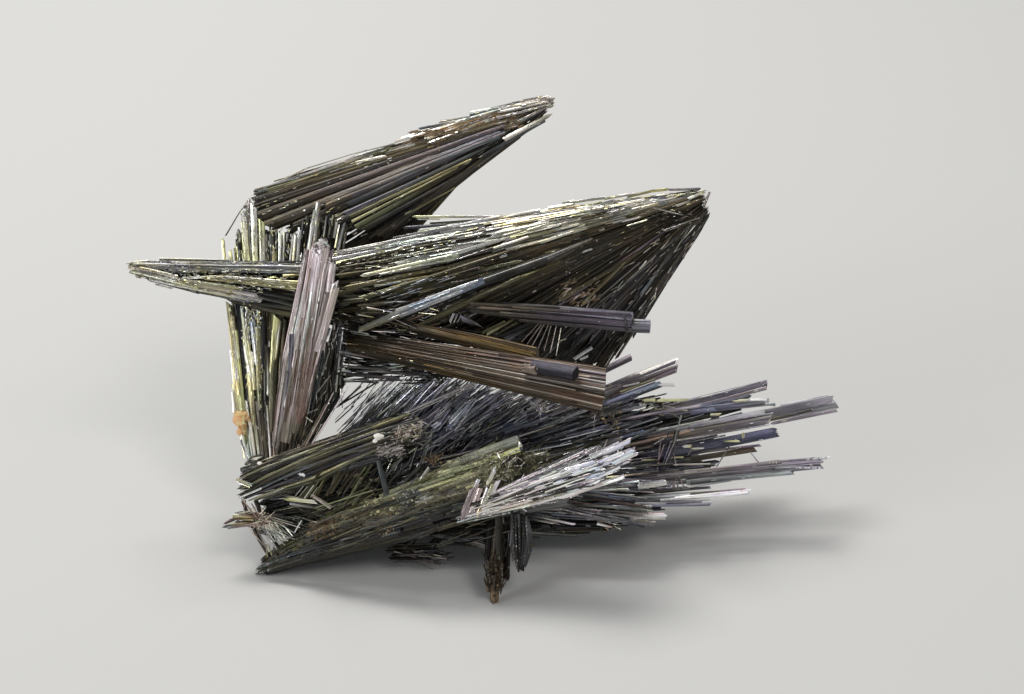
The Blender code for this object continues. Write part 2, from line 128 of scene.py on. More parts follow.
# ---------------------------------------------------------------- mesh of many crystals
class Sheaf:
    """Collects crystals, and makes one mesh of them with a grain map, a bake map and a tone for each crystal."""

    def __init__(self, name, seed, gain=1.0):
        self.name = name
        self.gain = gain
        self.rng = np.random.default_rng(seed)
        self.verts, self.tone = [], []
        self.loops, self.sizes = [], []
        self.grain, self.cell = [], []
        self.count, self.cells = 0, 0

    def tone_of(self, name, spread=0.18):
        base = np.array(TONES[name]) * self.gain
        return np.clip(base * math.exp(self.rng.normal(0, spread)) * (1 + self.rng.normal(0, 0.04, 3)), 0.01, 0.95)

    def add(self, path, hw, ht, ref, sides=8, tones=None, crust=0.0, groove=0.05, end="flat", slant=0.0,
            start="flat", blunt=0.0, twist=0.0):
        """One striated prism through path (n x 3, mm). ref lies along its width. end and start are flat,
        point or broken; tones holds one colour for each station."""
        rng = self.rng
        path = np.asarray(path, float)
        n = len(path)
        hw = np.broadcast_to(np.asarray(hw, float), n).copy()
        ht = np.broadcast_to(np.asarray(ht, float), n).copy()
        low = path[:, 2].min()
        tan = np.empty_like(path)
        tan[1:-1] = path[2:] - path[:-2]
        tan[0], tan[-1] = path[1] - path[0], path[-1] - path[-2]
        tan = unit(tan)
        w = unit(ref - tan * (tan @ ref)[:, None])
        nrm = np.cross(tan, w)
        # outline: a flattened prism whose faces are split in uneven striations
        step = rng.uniform(0.55, 1.45, sides)
        ang = np.cumsum(step)
        ang = (ang - ang[0]) / step.sum() * 2 * math.pi + rng.uniform(0, 0.6)
        c, s = np.cos(ang), np.sin(ang)
        r = 1.0 / (np.abs(c) ** 1.5 + np.abs(s) ** 1.5) ** (1 / 1.5)
        r = r * (1 + groove * rng.uniform(-1.6, 0.6, sides))
        x, y = r * c, r * s
        rings = []
        for i in range(n):
            a = twist * i / max(n - 1, 1)
            xx, yy = x * math.cos(a) - y * math.sin(a), x * math.sin(a) + y * math.cos(a)
            wob = 1 + rng.normal(0, 0.012, sides)
            rings.append(path[i] + w[i] * (hw[i] * xx * wob)[:, None] + nrm[i] * (ht[i] * yy * wob)[:, None])
        last = n - 1
        if end == "slant":
            rings[last] = rings[last] + tan[last] * (slant * hw[last] * x)[:, None]
        elif end == "broken":
            rings[last] = rings[last] + tan[last] * (hw[last] * rng.uniform(-1.2, 0.3, sides))[:, None]
        if start == "broken":
            rings[0] = rings[0] - tan[0] * (hw[0] * rng.uniform(-1.2, 0.3, sides))[:, None]
        extra_end = end in ("point", "broken")
        extra_start = start in ("point", "broken")
        verts = np.concatenate(rings)
        apex = []
        if extra_end:
            tip = path[last] + tan[last] * (hw[last] * (rng.uniform(1.2, 2.6) if end == "point" else -0.5))
            if end == "point":
                tip = tip + w[last] * hw[last] * rng.uniform(-0.4, 0.4)
            apex.append(tip)
        if extra_start:
            tip = path[0] - tan[0] * (hw[0] * (rng.uniform(1.5, 3.5) if start == "point" else -0.5))
            apex.append(tip)
        if apex:
            verts = np.concatenate([verts, np.array(apex)])
        verts[:, 2] = np.maximum(verts[:, 2], 0.03)
        base = self.count
        lengths = np.concatenate([[0], np.cumsum(np.linalg.norm(np.diff(path, axis=0), axis=1))])
        loop_len = np.linalg.norm(np.diff(np.concatenate([rings[last], rings[last][:1]]), axis=0), axis=1)
        around = np.concatenate([[0], np.cumsum(loop_len)])
        off = rng.uniform(0, 400, 2)
        k = np.arange(sides)
        k1 = (k + 1) % sides
        loops, grain, cell = [], [], []
        for i in range(n - 1):
            quad = np.stack([base + i * sides + k, base + i * sides + k1,
                             base + (i + 1) * sides + k1, base + (i + 1) * sides + k], 1)
            loops.append(quad.ravel())
            g = np.empty((sides, 4, 2))
            g[:, 0, 0] = g[:, 3, 0] = around[:-1]
            g[:, 1, 0] = g[:, 2, 0] = around[1:]
            g[:, :2, 1], g[:, 2:, 1] = lengths[i], lengths[i + 1]
            grain.append((g + off).reshape(-1, 2))
            b = np.empty((sides, 4, 2))
            b[:, 0, 0] = b[:, 3, 0] = k / sides
            b[:, 1, 0] = b[:, 2, 0] = (k + 1) / sides
            b[:, :2, 1] = 0.12 + 0.76 * i / (n - 1)
            b[:, 2:, 1] = 0.12 + 0.76 * (i + 1) / (n - 1)
            cell.append(b.reshape(-1, 2))
            self.sizes.append(np.full(sides, 4))
        flat2d = np.stack([x * hw[last], y * ht[last]], 1)
        span = np.abs(flat2d).max() + 1e-6
        for which in ("end", "start"):
            ring = last if which == "end" else 0
            has = extra_end if which == "end" else extra_start
            v0 = 0.9 if which == "end" else 0.02
            uv = flat2d / span * 0.5 + 0.5
            if has:
                top = base + n * sides + (0 if which == "end" else (1 if extra_end else 0))
                a_, b_ = base + ring * sides + k, base + ring * sides + k1
                tri = np.stack([a_, b_, np.full(sides, top)], 1) if which == "end" else np.stack(
                    [b_, a_, np.full(sides, top)], 1)
                loops.append(tri.ravel())
                ua, ub = uv, np.roll(uv, -1, axis=0)
                if which == "start":
                    ua, ub = ub, ua
                c3 = np.stack([ua, ub, np.full((sides, 2), 0.5)], 1)
                self.sizes.append(np.full(sides, 3))
                c3 = c3.reshape(-1, 2)
            else:
                ngon = base + ring * sides + k
                order = k if which == "end" else k[::-1]
                loops.append(ngon[order])
                c3 = uv[order]
                self.sizes.append(np.array([sides]))
            grain.append(c3 * span * 2 + off + 7.0)
            cell.append(np.stack([c3[:, 0], v0 + 0.08 * c3[:, 1]], 1))
        self.verts.append(verts)
        SPINES.append(np.concatenate([path, ht[:, None]], 1))
        if tones is None:
            tones = np.tile(self.tone_of("steel"), (n, 1))
        tones = np.asarray(tones, float)
        if tones.ndim == 1:
            tones = np.tile(tones, (n, 1))
        crust = np.broadcast_to(np.asarray(crust, float), n)
        t = np.repeat(np.concatenate([tones, crust[:, None]], 1), sides, axis=0)
        for a in range(len(apex)):
            src = last if (a == 0 and extra_end) else 0
            t = np.concatenate([t, np.concatenate([tones[src], [crust[src]]])[None]])
        self.tone.append(t)
        self.loops.append(np.concatenate(loops))
        self.grain.append(np.concatenate(grain))
        ce = np.concatenate(cell)
        self.cell.append(np.concatenate([ce, np.full((len(ce), 1), self.cells)], 1))
        self.cells += 1
        self.count += len(verts)
        return low

    def lump(self, centre, size, tone, crust=1.0, detail=2, squash=(1, 1, 1), rough=0.25):
        """A rough grain or crumb: a noisy closed ball."""
        rng = self.rng
        import bmesh
        bm = bmesh.new()
        bmesh.ops.create_icosphere(bm, subdivisions=detail, radius=1.0)
        co = np.array([v.co for v in bm.verts])
        faces = [[v.index for v in f.verts] for f in bm.faces]
        bm.free()
        lobes = unit(rng.normal(size=(7, 3)))
        r = 1 + rough * (np.maximum(co @ lobes.T, 0) ** 3 @ rng.uniform(-1.0, 1.0, 7)) + rng.normal(0, rough * 0.25, len(co))
        co = co * r[:, None] * size * np.asarray(squash, float)
        co = co + np.asarray(centre)
        co[:, 2] = np.maximum(co[:, 2], 0.03)
        base = self.count
        f = np.array(faces)
        self.loops.append((f + base).ravel())
        self.sizes.append(np.full(len(f), 3))
        off = rng.uniform(0, 400, 2)
        loc = co[f.ravel()] - np.asarray(centre)
        self.grain.append(loc[:, :2] + off)
        q = loc[:, :2] / (np.abs(loc).max() * 2) + 0.5
        self.cell.append(np.concatenate([q, np.full((len(q), 1), self.cells)], 1))
        self.cells += 1
        self.verts.append(co)
        self.tone.append(np.tile(np.append(tone, crust), (len(co), 1)))
        self.count += len(co)

    def make(self, material):
        verts = np.concatenate(self.verts) * 0.001
        loops = np.concatenate(self.loops).astype(np.int32)
        sizes = np.concatenate(self.sizes).astype(np.int32)
        mesh = bpy.data.meshes.new(self.name)
        mesh.vertices.add(len(verts))
        mesh.vertices.foreach_set("co", verts.astype(np.float32).ravel())
        mesh.loops.add(len(loops))
        mesh.loops.foreach_set("vertex_index", loops)
        mesh.polygons.add(len(sizes))
        mesh.polygons.foreach_set("loop_start", np.concatenate([[0], np.cumsum(sizes)[:-1]]).astype(np.int32))
        mesh.polygons.foreach_set("loop_total", sizes)
        mesh.update(calc_edges=True)
        grain = np.concatenate(self.grain)
        layer = mesh.uv_layers.new(name="grain")
        layer.data.foreach_set("uv", grain.astype(np.float32).ravel())
        cell = np.concatenate(self.cell)
        cols = max(1, int(math.ceil(math.sqrt(self.cells * 2.2))))
        rows = int(math.ceil(self.cells / cols))
        cx, cy = cell[:, 2] % cols, cell[:, 2] // cols
        bake = np.stack([(cx + 0.06 + 0.88 * cell[:, 0]) / cols, (cy + 0.04 + 0.92 * cell[:, 1]) / rows], 1)
        layer = mesh.uv_layers.new(name="OFBake")
        layer.data.foreach_set("uv", bake.astype(np.float32).ravel())
        mesh.uv_layers.active = mesh.uv_layers["grain"]
        mesh.uv_layers["grain"].active_render = True
        col = mesh.color_attributes.new(name="tone", type="FLOAT_COLOR", domain="POINT")
        col.data.foreach_set("color", np.concatenate(self.tone).astype(np.float32).ravel())
        mesh.polygons.foreach_set("use_smooth", np.zeros(len(sizes), bool))
        mesh.validate()
        mesh.materials.append(material)
        obj = bpy.data.objects.new(self.name, mesh)
        bpy.context.scene.collection.objects.link(obj)
        return obj


def along(points, u):
    """Points at fractions u of a polyline, counted by its number of spans."""
    points = np.asarray(points, float)
    u = np.clip(np.atleast_1d(u), 0, 1)
    if len(points) == 1:
        return np.tile(points[0], (len(u), 1))
    s = u * (len(points) - 1)
    i = np.minimum(s.astype(int), len(points) - 2)
    f = (s - i)[:, None]
    return points[i] * (1 - f) + points[i + 1] * f


def pick(rng, palette, u):
    """A tone name for position u across a fan. palette is a list of (u, {name: weight}) stops."""
    if isinstance(palette, dict):
        palette = [(0.0, palette)]
    stops = [p[0] for p in palette]
    x = u + rng.normal(0, 0.05)
    i = int(np.clip(np.searchsorted(stops, x) - 1, 0, len(palette) - 1))
    if i + 1 < len(palette):
        f = (x - stops[i]) / (stops[i + 1] - stops[i])
        if rng.uniform() < f:
            i += 1
    names = list(palette[i][1])
    wts = np.array([palette[i][1][q] for q in names], float)
    return names[rng.choice(len(names), p=wts / wts.sum())]


def fan(S, root, ends, thick, n, width, palette, ribs=6, lens=0.35, start=(0.0, 0.45), stop=(0.86, 1.0), sides=8,
        flat=0.6, jitter=0.012, surface=0.8, core=0.82, core_tone="black", roll=18.0, tips=(0.55, 0.3, 0.15),
        far=None, crust=None, cut=(), bow=0.08, grow=0.5, shade=0.22, face=None):
    """Crystals fanning from the root line to the line of ends, round a dark core of the CAD ribs' shape."""
    rng = S.rng
    a, b = at(root), at(ends)
    # dark core, a little inside the needles
    if core:
        for i in range(ribs):
            u = (i + 0.5) / ribs
            p0, p1 = along(a, u)[0], along(b, u)[0]
            e = along(b, u + 0.5 / ribs)[0] - along(b, u - 0.5 / ribs)[0]
            ra = np.linalg.norm(along(a, u + 0.5 / ribs)[0] - along(a, u - 0.5 / ribs)[0])
            rb = np.linalg.norm(e)
            short = (cut[i % len(cut)] if cut else 0.0) + 0.05
            ts = np.array([0.03, 0.3, 0.6, 0.9 - short])
            bulge = 1 - lens * (2 * u - 1) ** 2
            hw = 0.48 * (ra * (1 - ts) + rb * ts)
            ht = 0.5 * (thick[0] * (1 - ts) + thick[1] * ts) * bulge * core
            S.add(p0 + (p1 - p0) * ts[:, None], hw, ht, unit(e), sides=14, tones=S.tone_of(core_tone), groove=0.10,
                  end="broken", start="point")
    for j in range(n):
        u = rng.uniform(0, 1)
        if rng.uniform() < surface:
            v = rng.choice([-1.0, 1.0]) * rng.uniform(0.82, 0.98) * (1 - abs(2 * u - 1) ** 6)
        else:
            v = rng.uniform(-0.9, 0.9)
            if rng.uniform() < 0.5:
                u = rng.choice([rng.uniform(0, 0.06), rng.uniform(0.94, 1.0)])
        if face is not None and rng.uniform() < abs(face):
            v = math.copysign(abs(v), face)
        u1 = float(np.clip(u + rng.normal(0, jitter), 0, 1))
        t0 = rng.uniform(*start) ** 1.0
        if rng.uniform() < 0.35:
            t0 = start[0] + (start[1] - start[0]) * rng.uniform(0, 0.15)
        t1 = rng.uniform(*stop)
        if cut:
            t1 -= cut[min(int(u1 * ribs), ribs - 1) % len(cut)]
        if t1 - t0 < 0.08:
            t0 = t1 - 0.08
        p0, p1 = along(a, u)[0], along(b, u)[0]
        q0, q1 = along(a, u1)[0], along(b, u1)[0]
        e = along(b, u1 + 0.5 / ribs)[0] - along(b, u1 - 0.5 / ribs)[0]
        d = unit(p1 - p0)
        w = unit(e - d * (d @ e))
        nn = unit(np.cross(d, w))
        if nn @ SIGHT_DIR > 0:
            nn = -nn
        bulge = 1 - lens * (2 * u - 1) ** 2
        h0 = 0.5 * (thick[0] * (1 - t0) + thick[1] * t0) * bulge
        h1 = 0.5 * (thick[0] * (1 - t1) + thick[1] * t1) * bulge
        v1 = np.clip(v + rng.normal(0, 0.07), -1.05, 1.05)
        s = p0 + (p1 - p0) * t0 + nn * v * h0
        f = q0 + (q1 - q0) * t1 + nn * v1 * h1
        length = np.linalg.norm(f - s)
        wid = width[0] + (width[1] - width[0]) * rng.uniform() ** 1.8
        ts = np.array([0.0, min(0.12, 1.2 / length), 0.5, 1.0])
        tt = t0 + (t1 - t0) * ts
        hw = 0.5 * wid * ((1 - grow) + grow * tt)
        hw[0] *= 0.35
        bend = (w * rng.normal(0, bow) + nn * rng.normal(0, bow)) * np.sin(ts * math.pi)[:, None]
        path = s + (f - s) * ts[:, None] + bend
        ang = math.radians(rng.normal(0, roll))
        ref = w * math.cos(ang) + nn * math.sin(ang)
        name = pick(rng, palette, u)
        tone = S.tone_of(name, shade)
        tones = np.tile(tone, (4, 1))
        if far is not None:
            other = S.tone_of(pick(rng, far, u), shade)
            mix = np.clip((tt - 0.35) / 0.4, 0, 1)[:, None]
            tones = tones * (1 - mix) + other * mix
        kind = rng.choice(3, p=tips)
        cr = 0.0
        if crust is not None:
            cr = crust(u, tt, v, rng)
        k = sides if wid < 0.55 else int(sides * min(2.2, wid / 0.5))
        S.add(path, hw, hw * flat * rng.uniform(0.8, 1.25), ref, sides=k, tones=tones, crust=cr,
              groove=0.05 if wid < 0.5 else 0.07, end=("flat", "slant", "point")[kind],
              slant=rng.uniform(-1.4, 1.4), start="point" if rng.uniform() < 0.6 else "flat")


def crystal(S, path, width, thick, tone, sides=22, roll=0.0, slant=0.0, end="slant", start="flat", groove=0.06,
            crust=0.0, far=None, shade=0.08, twist=0.0):
    """One big prism along sheet points; width and thick in mm at each point."""
    pts = at(path)
    d = unit(pts[-1] - pts[0])
    w = unit(np.cross(d, SIGHT_DIR))
    n = unit(np.cross(w, d))
    r = math.radians(roll)
    ref = w * math.cos(r) + n * math.sin(r)
    m = max(4, len(path))
    if len(path) < m:
        s = np.linspace(0, 1, m)
        pts = along(pts, s)
        width = np.interp(s, np.linspace(0, 1, len(width)), width)
        thick = np.interp(s, np.linspace(0, 1, len(thick)), thick)
    c0 = S.tone_of(tone, shade)
    tones = np.tile(c0, (len(pts), 1))
    if far:
        c1 = S.tone_of(far, shade)
        f = np.linspace(0, 1, len(pts))[:, None]
        tones = tones * (1 - f) + c1 * f
    S.add(pts, np.asarray(width) / 2, np.asarray(thick) / 2, ref, sides=sides, tones=tones, crust=crust,
          groove=groove, end=end, slant=slant, start=start, twist=twist)


def hairs(S, n, box, directions, length, width, palette, depth, crust=0.0):
    """Loose fine needles inside a region of the sheet: box x0,y0,x1,y1, and directions in degrees up from +x."""
    rng = S.rng
    for _ in range(n):
        x, y = rng.uniform(box[0], box[2]), rng.uniform(box[1], box[3])
        a = math.radians(rng.uniform(*directions))
        l = rng.uniform(*length) / UNIT
        d0 = rng.uniform(*depth)
        d1 = d0 + rng.normal(0, 0.16) * l * UNIT
        pts = at([(x, y, d0), (x + l * math.cos(a) * 0.5, y - l * math.sin(a) * 0.5, (d0 + d1) / 2 + rng.normal(0, 0.05)),
                  (x + l * math.cos(a), y - l * math.sin(a), d1)])
        w = rng.uniform(*width)
        S.add(pts, [w * 0.3, w * 0.5, w * 0.42], w * 0.4, unit(rng.normal(size=3)), sides=5,
              tones=S.tone_of(pick(rng, palette, 0.0), 0.3), crust=crust, groove=0.02, end="flat", start="flat")


def to_sheet(world):
    """World millimetres to sheet positions."""
    q = np.atleast_2d(world) - MOVE
    b = q[:, 2] - LEVEL
    up, d = q[:, 1] * SIN + b * COS, q[:, 1] * COS - b * SIN
    k = UNIT * (1 + d / SIGHT)
    return np.stack([q[:, 0] / k + SHEET_X, SHEET_Y - up / k, d], 1)


class Front:
    """The near side of a fan, to lay single crystals on."""

    def __init__(self, root, ends, thick, lens=0.35):
        a, b = at(root), at(ends)
        u = np.linspace(0, 1, 49)
        t = np.linspace(-0.04, 1.08, 57)
        pa, pb = along(a, u), along(b, u)
        e = along(b, np.clip(u + 0.05, 0, 1)) - along(b, np.clip(u - 0.05, 0, 1))
        d = unit(pb - pa)
        w = unit(e - d * (e * d).sum(1)[:, None])
        n = unit(np.cross(d, w))
        n = n * np.where(n @ SIGHT_DIR > 0, -1.0, 1.0)[:, None]
        bulge = 1 - lens * (2 * u - 1) ** 2
        edge = np.sqrt(np.clip(1 - np.abs(2 * u - 1) ** 4, 0, 1))
        h = 0.5 * (thick[0] * (1 - t)[None] + thick[1] * t[None]) * (bulge * (0.35 + 0.65 * edge))[:, None]
        p = pa[:, None] * (1 - t)[None, :, None] + pb[:, None] * t[None, :, None] + n[:, None] * h[..., None]
        self.p, self.n, self.w = p, n, w
        self.grid = to_sheet(p.reshape(-1, 3))

    def depth(self, x, y):
        r = (self.grid[:, 0] - x) ** 2 + (self.grid[:, 1] - y) ** 2
        near = r <= max(r.min(), 4.0)
        return self.grid[near, 2].min()

    def place(self, u, t):
        i, j = u * 48, (t + 0.04) / 1.12 * 56
        i0, j0 = int(min(i, 47)), int(min(max(j, 0), 55))
        f, g = i - i0, j - j0
        p = self.p
        return ((p[i0, j0] * (1 - f) + p[i0 + 1, j0] * f) * (1 - g) + (p[i0, j0 + 1] * (1 - f) + p[i0 + 1, j0 + 1] * f) * g,
                self.n[i0], self.w[i0])


def trace(S, front, rows, lift=0.0, flat=0.5, crust=0.0, wide=1.0):
    """Single crystals laid on a fan's near side. A row is x0, y0, x1, y1, width in sheet units (or a pair), tone,
    then optional: extra lift in mm, end, crust. A crust near 1 makes the row matte: real crust on dull tones, a painted
    highlight on bright ones."""
    rng = S.rng
    for row in rows:
        x0, y0, x1, y1, wid, tone = row[:6]
        up = lift + (row[6] if len(row) > 6 else 0.0)
        end = row[7] if len(row) > 7 else "slant"
        cr = row[8] if len(row) > 8 else crust
        w0, w1 = wid if isinstance(wid, tuple) else (wid, wid)
        m = 4
        f = np.linspace(0, 1, m)
        xs, ys = x0 + (x1 - x0) * f, y0 + (y1 - y0) * f
        if getattr(front, "clear", False):
            g = np.linspace(0, 1, 15)
            dg = np.array([front.depth(x0 + (x1 - x0) * k, y0 + (y1 - y0) * k) for k in g])
            line = np.polyfit(g, dg, 1)
            line[1] -= min(max(float((np.polyval(line, g) - dg).max()), 0.0), 1.1)
            ds = np.polyval(line, f)
        else:
            ds = np.array([front if isinstance(front, (int, float)) else front.depth(a, b) for a, b in zip(xs, ys)])
            ds = np.polyval(np.polyfit(f, ds, 1), f)
        ws = (w0 + (w1 - w0) * f) * UNIT * wide
        pts = at(np.stack([xs, ys, ds - up - 0.15 * ws.mean()], 1))
        length = np.linalg.norm(pts[-1] - pts[0])
        d = unit(pts[-1] - pts[0])
        wv = unit(np.cross(d, SIGHT_DIR))
        nv = unit(np.cross(wv, d))
        a = math.radians(rng.normal(0, 9))
        ref = wv * math.cos(a) + nv * math.sin(a)
        pts = pts + (wv * rng.normal(0, 0.03) + nv * rng.normal(0, 0.03)) * np.sin(f * math.pi)[:, None] * min(1.0, length / 8)
        big = ws.max()
        sides = 6 if big < 0.32 else (10 if big < 0.7 else (16 if big < 1.2 else 26))
        tones = tone if isinstance(tone, tuple) else (tone, tone)
        c0, c1 = S.tone_of(tones[0], 0.10), S.tone_of(tones[1], 0.10)
        S.add(pts, ws / 2, np.maximum(ws * flat * 0.5, 0.09), ref, sides=sides,
              tones=c0 * (1 - f)[:, None] + c1 * f[:, None], crust=cr, groove=0.05 if big < 0.5 else 0.09, end=end,
              slant=rng.uniform(-1.2, 1.2), start="flat" if rng.uniform() < 0.6 else "point")


def flecks(S, front, n, palette, u=(0, 1), t=(0.1, 1.0), length=(0.4, 1.6), width=(0.12, 0.3), lift=0.06, spread=0.04):
    """Short bright steps and splinters along a fan's near side."""
    rng = S.rng
    for _ in range(n):
        uu, tt = rng.uniform(*u), rng.uniform(*t)
        p, nn, w = front.place(uu, tt)
        q, _, _ = front.place(min(max(uu + rng.normal(0, spread * 0.3), 0), 1), tt + 0.02)
        d = unit(q - p)
        l = rng.uniform(*length)
        wid = rng.uniform(*width)
        p = p + nn * (lift + rng.uniform(-0.12, 0.1)) + w * rng.normal(0, 0.05)
        a = rng.normal(0, 0.35)
        tilt = nn * rng.normal(0, 0.04)
        S.add(np.array([p, p + (d + tilt) * l]), [wid * 0.4, wid * 0.5], wid * 0.3, w * math.cos(a) + nn * math.sin(a), sides=5,
              tones=S.tone_of(pick(rng, palette, uu), 0.2), groove=0.02, end="flat", start="flat")


def tuft(S, x, y, d, n, directions, length, palette, width=(0.10, 0.2), spread=2.0, toward=0.5, crust=0.0):
    """Fine needles that spring from one place. Directions are degrees up from +x."""
    rng = S.rng
    for _ in range(n):
        a = math.radians(rng.uniform(*directions))
        l = rng.uniform(*length) / UNIT
        x0, y0 = x + rng.normal(0, spread), y + rng.normal(0, spread)
        pts = at([(x0, y0, d), (x0 + l * math.cos(a) * 0.5, y0 - l * math.sin(a) * 0.5, d - toward * l * UNIT * 0.25),
                  (x0 + l * math.cos(a), y0 - l * math.sin(a), d - toward * l * UNIT * rng.uniform(0.1, 0.9))])
        w = rng.uniform(*width)
        S.add(pts, [w * 0.5, w * 0.5, w * 0.3], w * 0.45, unit(rng.normal(size=3)), sides=5,
              tones=S.tone_of(pick(rng, palette, 0.0), 0.3), crust=crust, groove=0.02)


LAID = {"n": 0, "pts": np.zeros((0, 4)), "way": np.zeros((0, 3)), "pos": np.zeros((0, 3))}


def laid():
    """Samples along every crystal made so far: place and half thickness, direction, position on the sheet."""
    new = [line for line in SPINES[LAID["n"]:] if len(line) > 1]
    LAID["n"] = len(SPINES)
    if new:
        pts, way = [], []
        for line in new:
            step = line[-1, :3] - line[0, :3]
            length = math.sqrt(float(step @ step))
            k = int(min(max(length / 0.4, 5), 110))
            pts.append(along(line, np.linspace(0.01, 0.99, k)))
            way.append(np.tile(step / max(length, 1e-9), (k, 1)))
        pts, way = np.concatenate(pts), np.concatenate(way)
        LAID["pts"] = np.concatenate([LAID["pts"], pts])
        LAID["way"] = np.concatenate([LAID["way"], way])
        LAID["pos"] = np.concatenate([LAID["pos"], to_sheet(pts[:, :3])])
    return LAID["pts"], LAID["way"], LAID["pos"]


class Top:
    """Near side of whatever is already laid in a box of the sheet, to lay more on."""

    def __init__(self, box, depths, clear=False):
        self.clear = clear
        pts, _, pos = laid()
        ok = ((pos[:, 0] > box[0] - 8) & (pos[:, 0] < box[2] + 8) & (pos[:, 1] > box[1] - 8) & (pos[:, 1] < box[3] + 8)
              & (pos[:, 2] > depths[0]) & (pos[:, 2] < depths[1]))
        self.pos, self.face = pos[ok], pos[ok, 2] - pts[ok, 3]

    def depth(self, x, y):
        r = (self.pos[:, 0] - x) ** 2 + (self.pos[:, 1] - y) ** 2
        if self.clear:
            return float(self.face[r <= max(np.sort(r)[:3].max(), 5.0)].min())
        near = r <= max(np.sort(r)[:4].max(), 12.0)
        return float(np.quantile(self.face[near], 0.06))


def sparkle(S, box, n, palette, depths, length=(0.15, 0.6), width=(0.08, 0.18), crust=0.0, tilt=0.5):
    """Small growth steps on the near side of the crystals already laid in a box of the sheet, each along its crystal.
    With a high crust value they are matte bright flecks, painted glints.
    """
    rng = S.rng
    pts, way, pos = laid()
    ok = ((pos[:, 0] > box[0] - 3) & (pos[:, 0] < box[2] + 3) & (pos[:, 1] > box[1] - 3) & (pos[:, 1] < box[3] + 3)
          & (pos[:, 2] > depths[0]) & (pos[:, 2] < depths[1]) & (np.abs(way @ SIGHT_DIR) < 0.85))
    pts, way, pos = pts[ok], way[ok], pos[ok]
    for _ in range(n):
        x, y = rng.uniform(box[0], box[2]), rng.uniform(box[1], box[3])
        sel = np.flatnonzero((pos[:, 0] - x) ** 2 + (pos[:, 1] - y) ** 2 < 5.0)
        if not len(sel):
            continue
        k = sel[np.argmin(pos[sel, 2] - pts[sel, 3])]
        d = way[k]
        side = unit(np.cross(d, SIGHT_DIR))
        nn = unit(np.cross(side, d))
        l, w = rng.uniform(*length), rng.uniform(*width)
        c = pts[k, :3] - SIGHT_DIR * (pts[k, 3] * 0.92 + 0.03) + side * rng.normal(0, 0.5) * pts[k, 3]
        a = rng.normal(0, tilt)
        S.add(np.array([c - d * l / 2, c + d * l / 2 - SIGHT_DIR * rng.normal(0, 0.03) * l]), [w * 0.42, w * 0.5], w * 0.3,
              side * math.cos(a) + nn * math.sin(a), sides=5, tones=S.tone_of(pick(rng, palette, 0.0), 0.2), crust=crust, groove=0.02)


def scales(S, top, box, n, palette, heading, length=(0.6, 2.4), width=(0.2, 0.6), crust=0.95, lift=0.0, spread=8.0):
    """Flat flakes of crust laid over the crystals in a box of the sheet. heading is degrees up from +x."""
    rng = S.rng
    for _ in range(n):
        x, y = rng.uniform(box[0], box[2]), rng.uniform(box[1], box[3])
        a = math.radians(heading + rng.normal(0, spread))
        l = rng.uniform(*length) / UNIT
        trace(S, top, [(x - l * math.cos(a) / 2, y + l * math.sin(a) / 2, x + l * math.cos(a) / 2, y - l * math.sin(a) / 2, rng.uniform(*width) / UNIT,
                        (pick(rng, palette, 0.0), pick(rng, palette, 0.0)), lift, "broken", crust)], flat=0.3)


def grain_patch(S, front, box, n, size, palette, crust=0.95, lift=0.1, squash=(1, 1, 1)):
    """Grains of crust on the nearest crystals inside a box of the sheet. Bare places get none."""
    rng = S.rng
    near, _, pos = laid()
    mid = front if isinstance(front, (int, float)) else front.depth((box[0] + box[2]) / 2, (box[1] + box[3]) / 2)
    ok = ((pos[:, 0] > box[0] - 3) & (pos[:, 0] < box[2] + 3) & (pos[:, 1] > box[1] - 3) & (pos[:, 1] < box[3] + 3)
          & (np.abs(pos[:, 2] - mid) < 3.5))
    near, pos = near[ok], pos[ok]
    if not len(pos):
        return
    for _ in range(n):
        x, y = rng.uniform(box[0], box[2]), rng.uniform(box[1], box[3])
        r = (pos[:, 0] - x) ** 2 + (pos[:, 1] - y) ** 2
        sel = np.flatnonzero(r < 9.0)
        if not len(sel):
            continue
        k = sel[np.argmin(pos[sel, 2])]
        c = near[k, :3] + (SIGHT_DIR * -1.0) * (near[k, 3] * 0.85 + rng.uniform(-0.02, 0.05))
        S.lump(c, 0.75 * rng.uniform(*size) * rng.uniform(0.5, 1.0), S.tone_of(pick(rng, palette, 0.0), 0.35) * 0.8, crust=0.95,
               detail=1, rough=0.6, squash=np.asarray(squash) * rng.uniform(0.6, 1.4, 3))


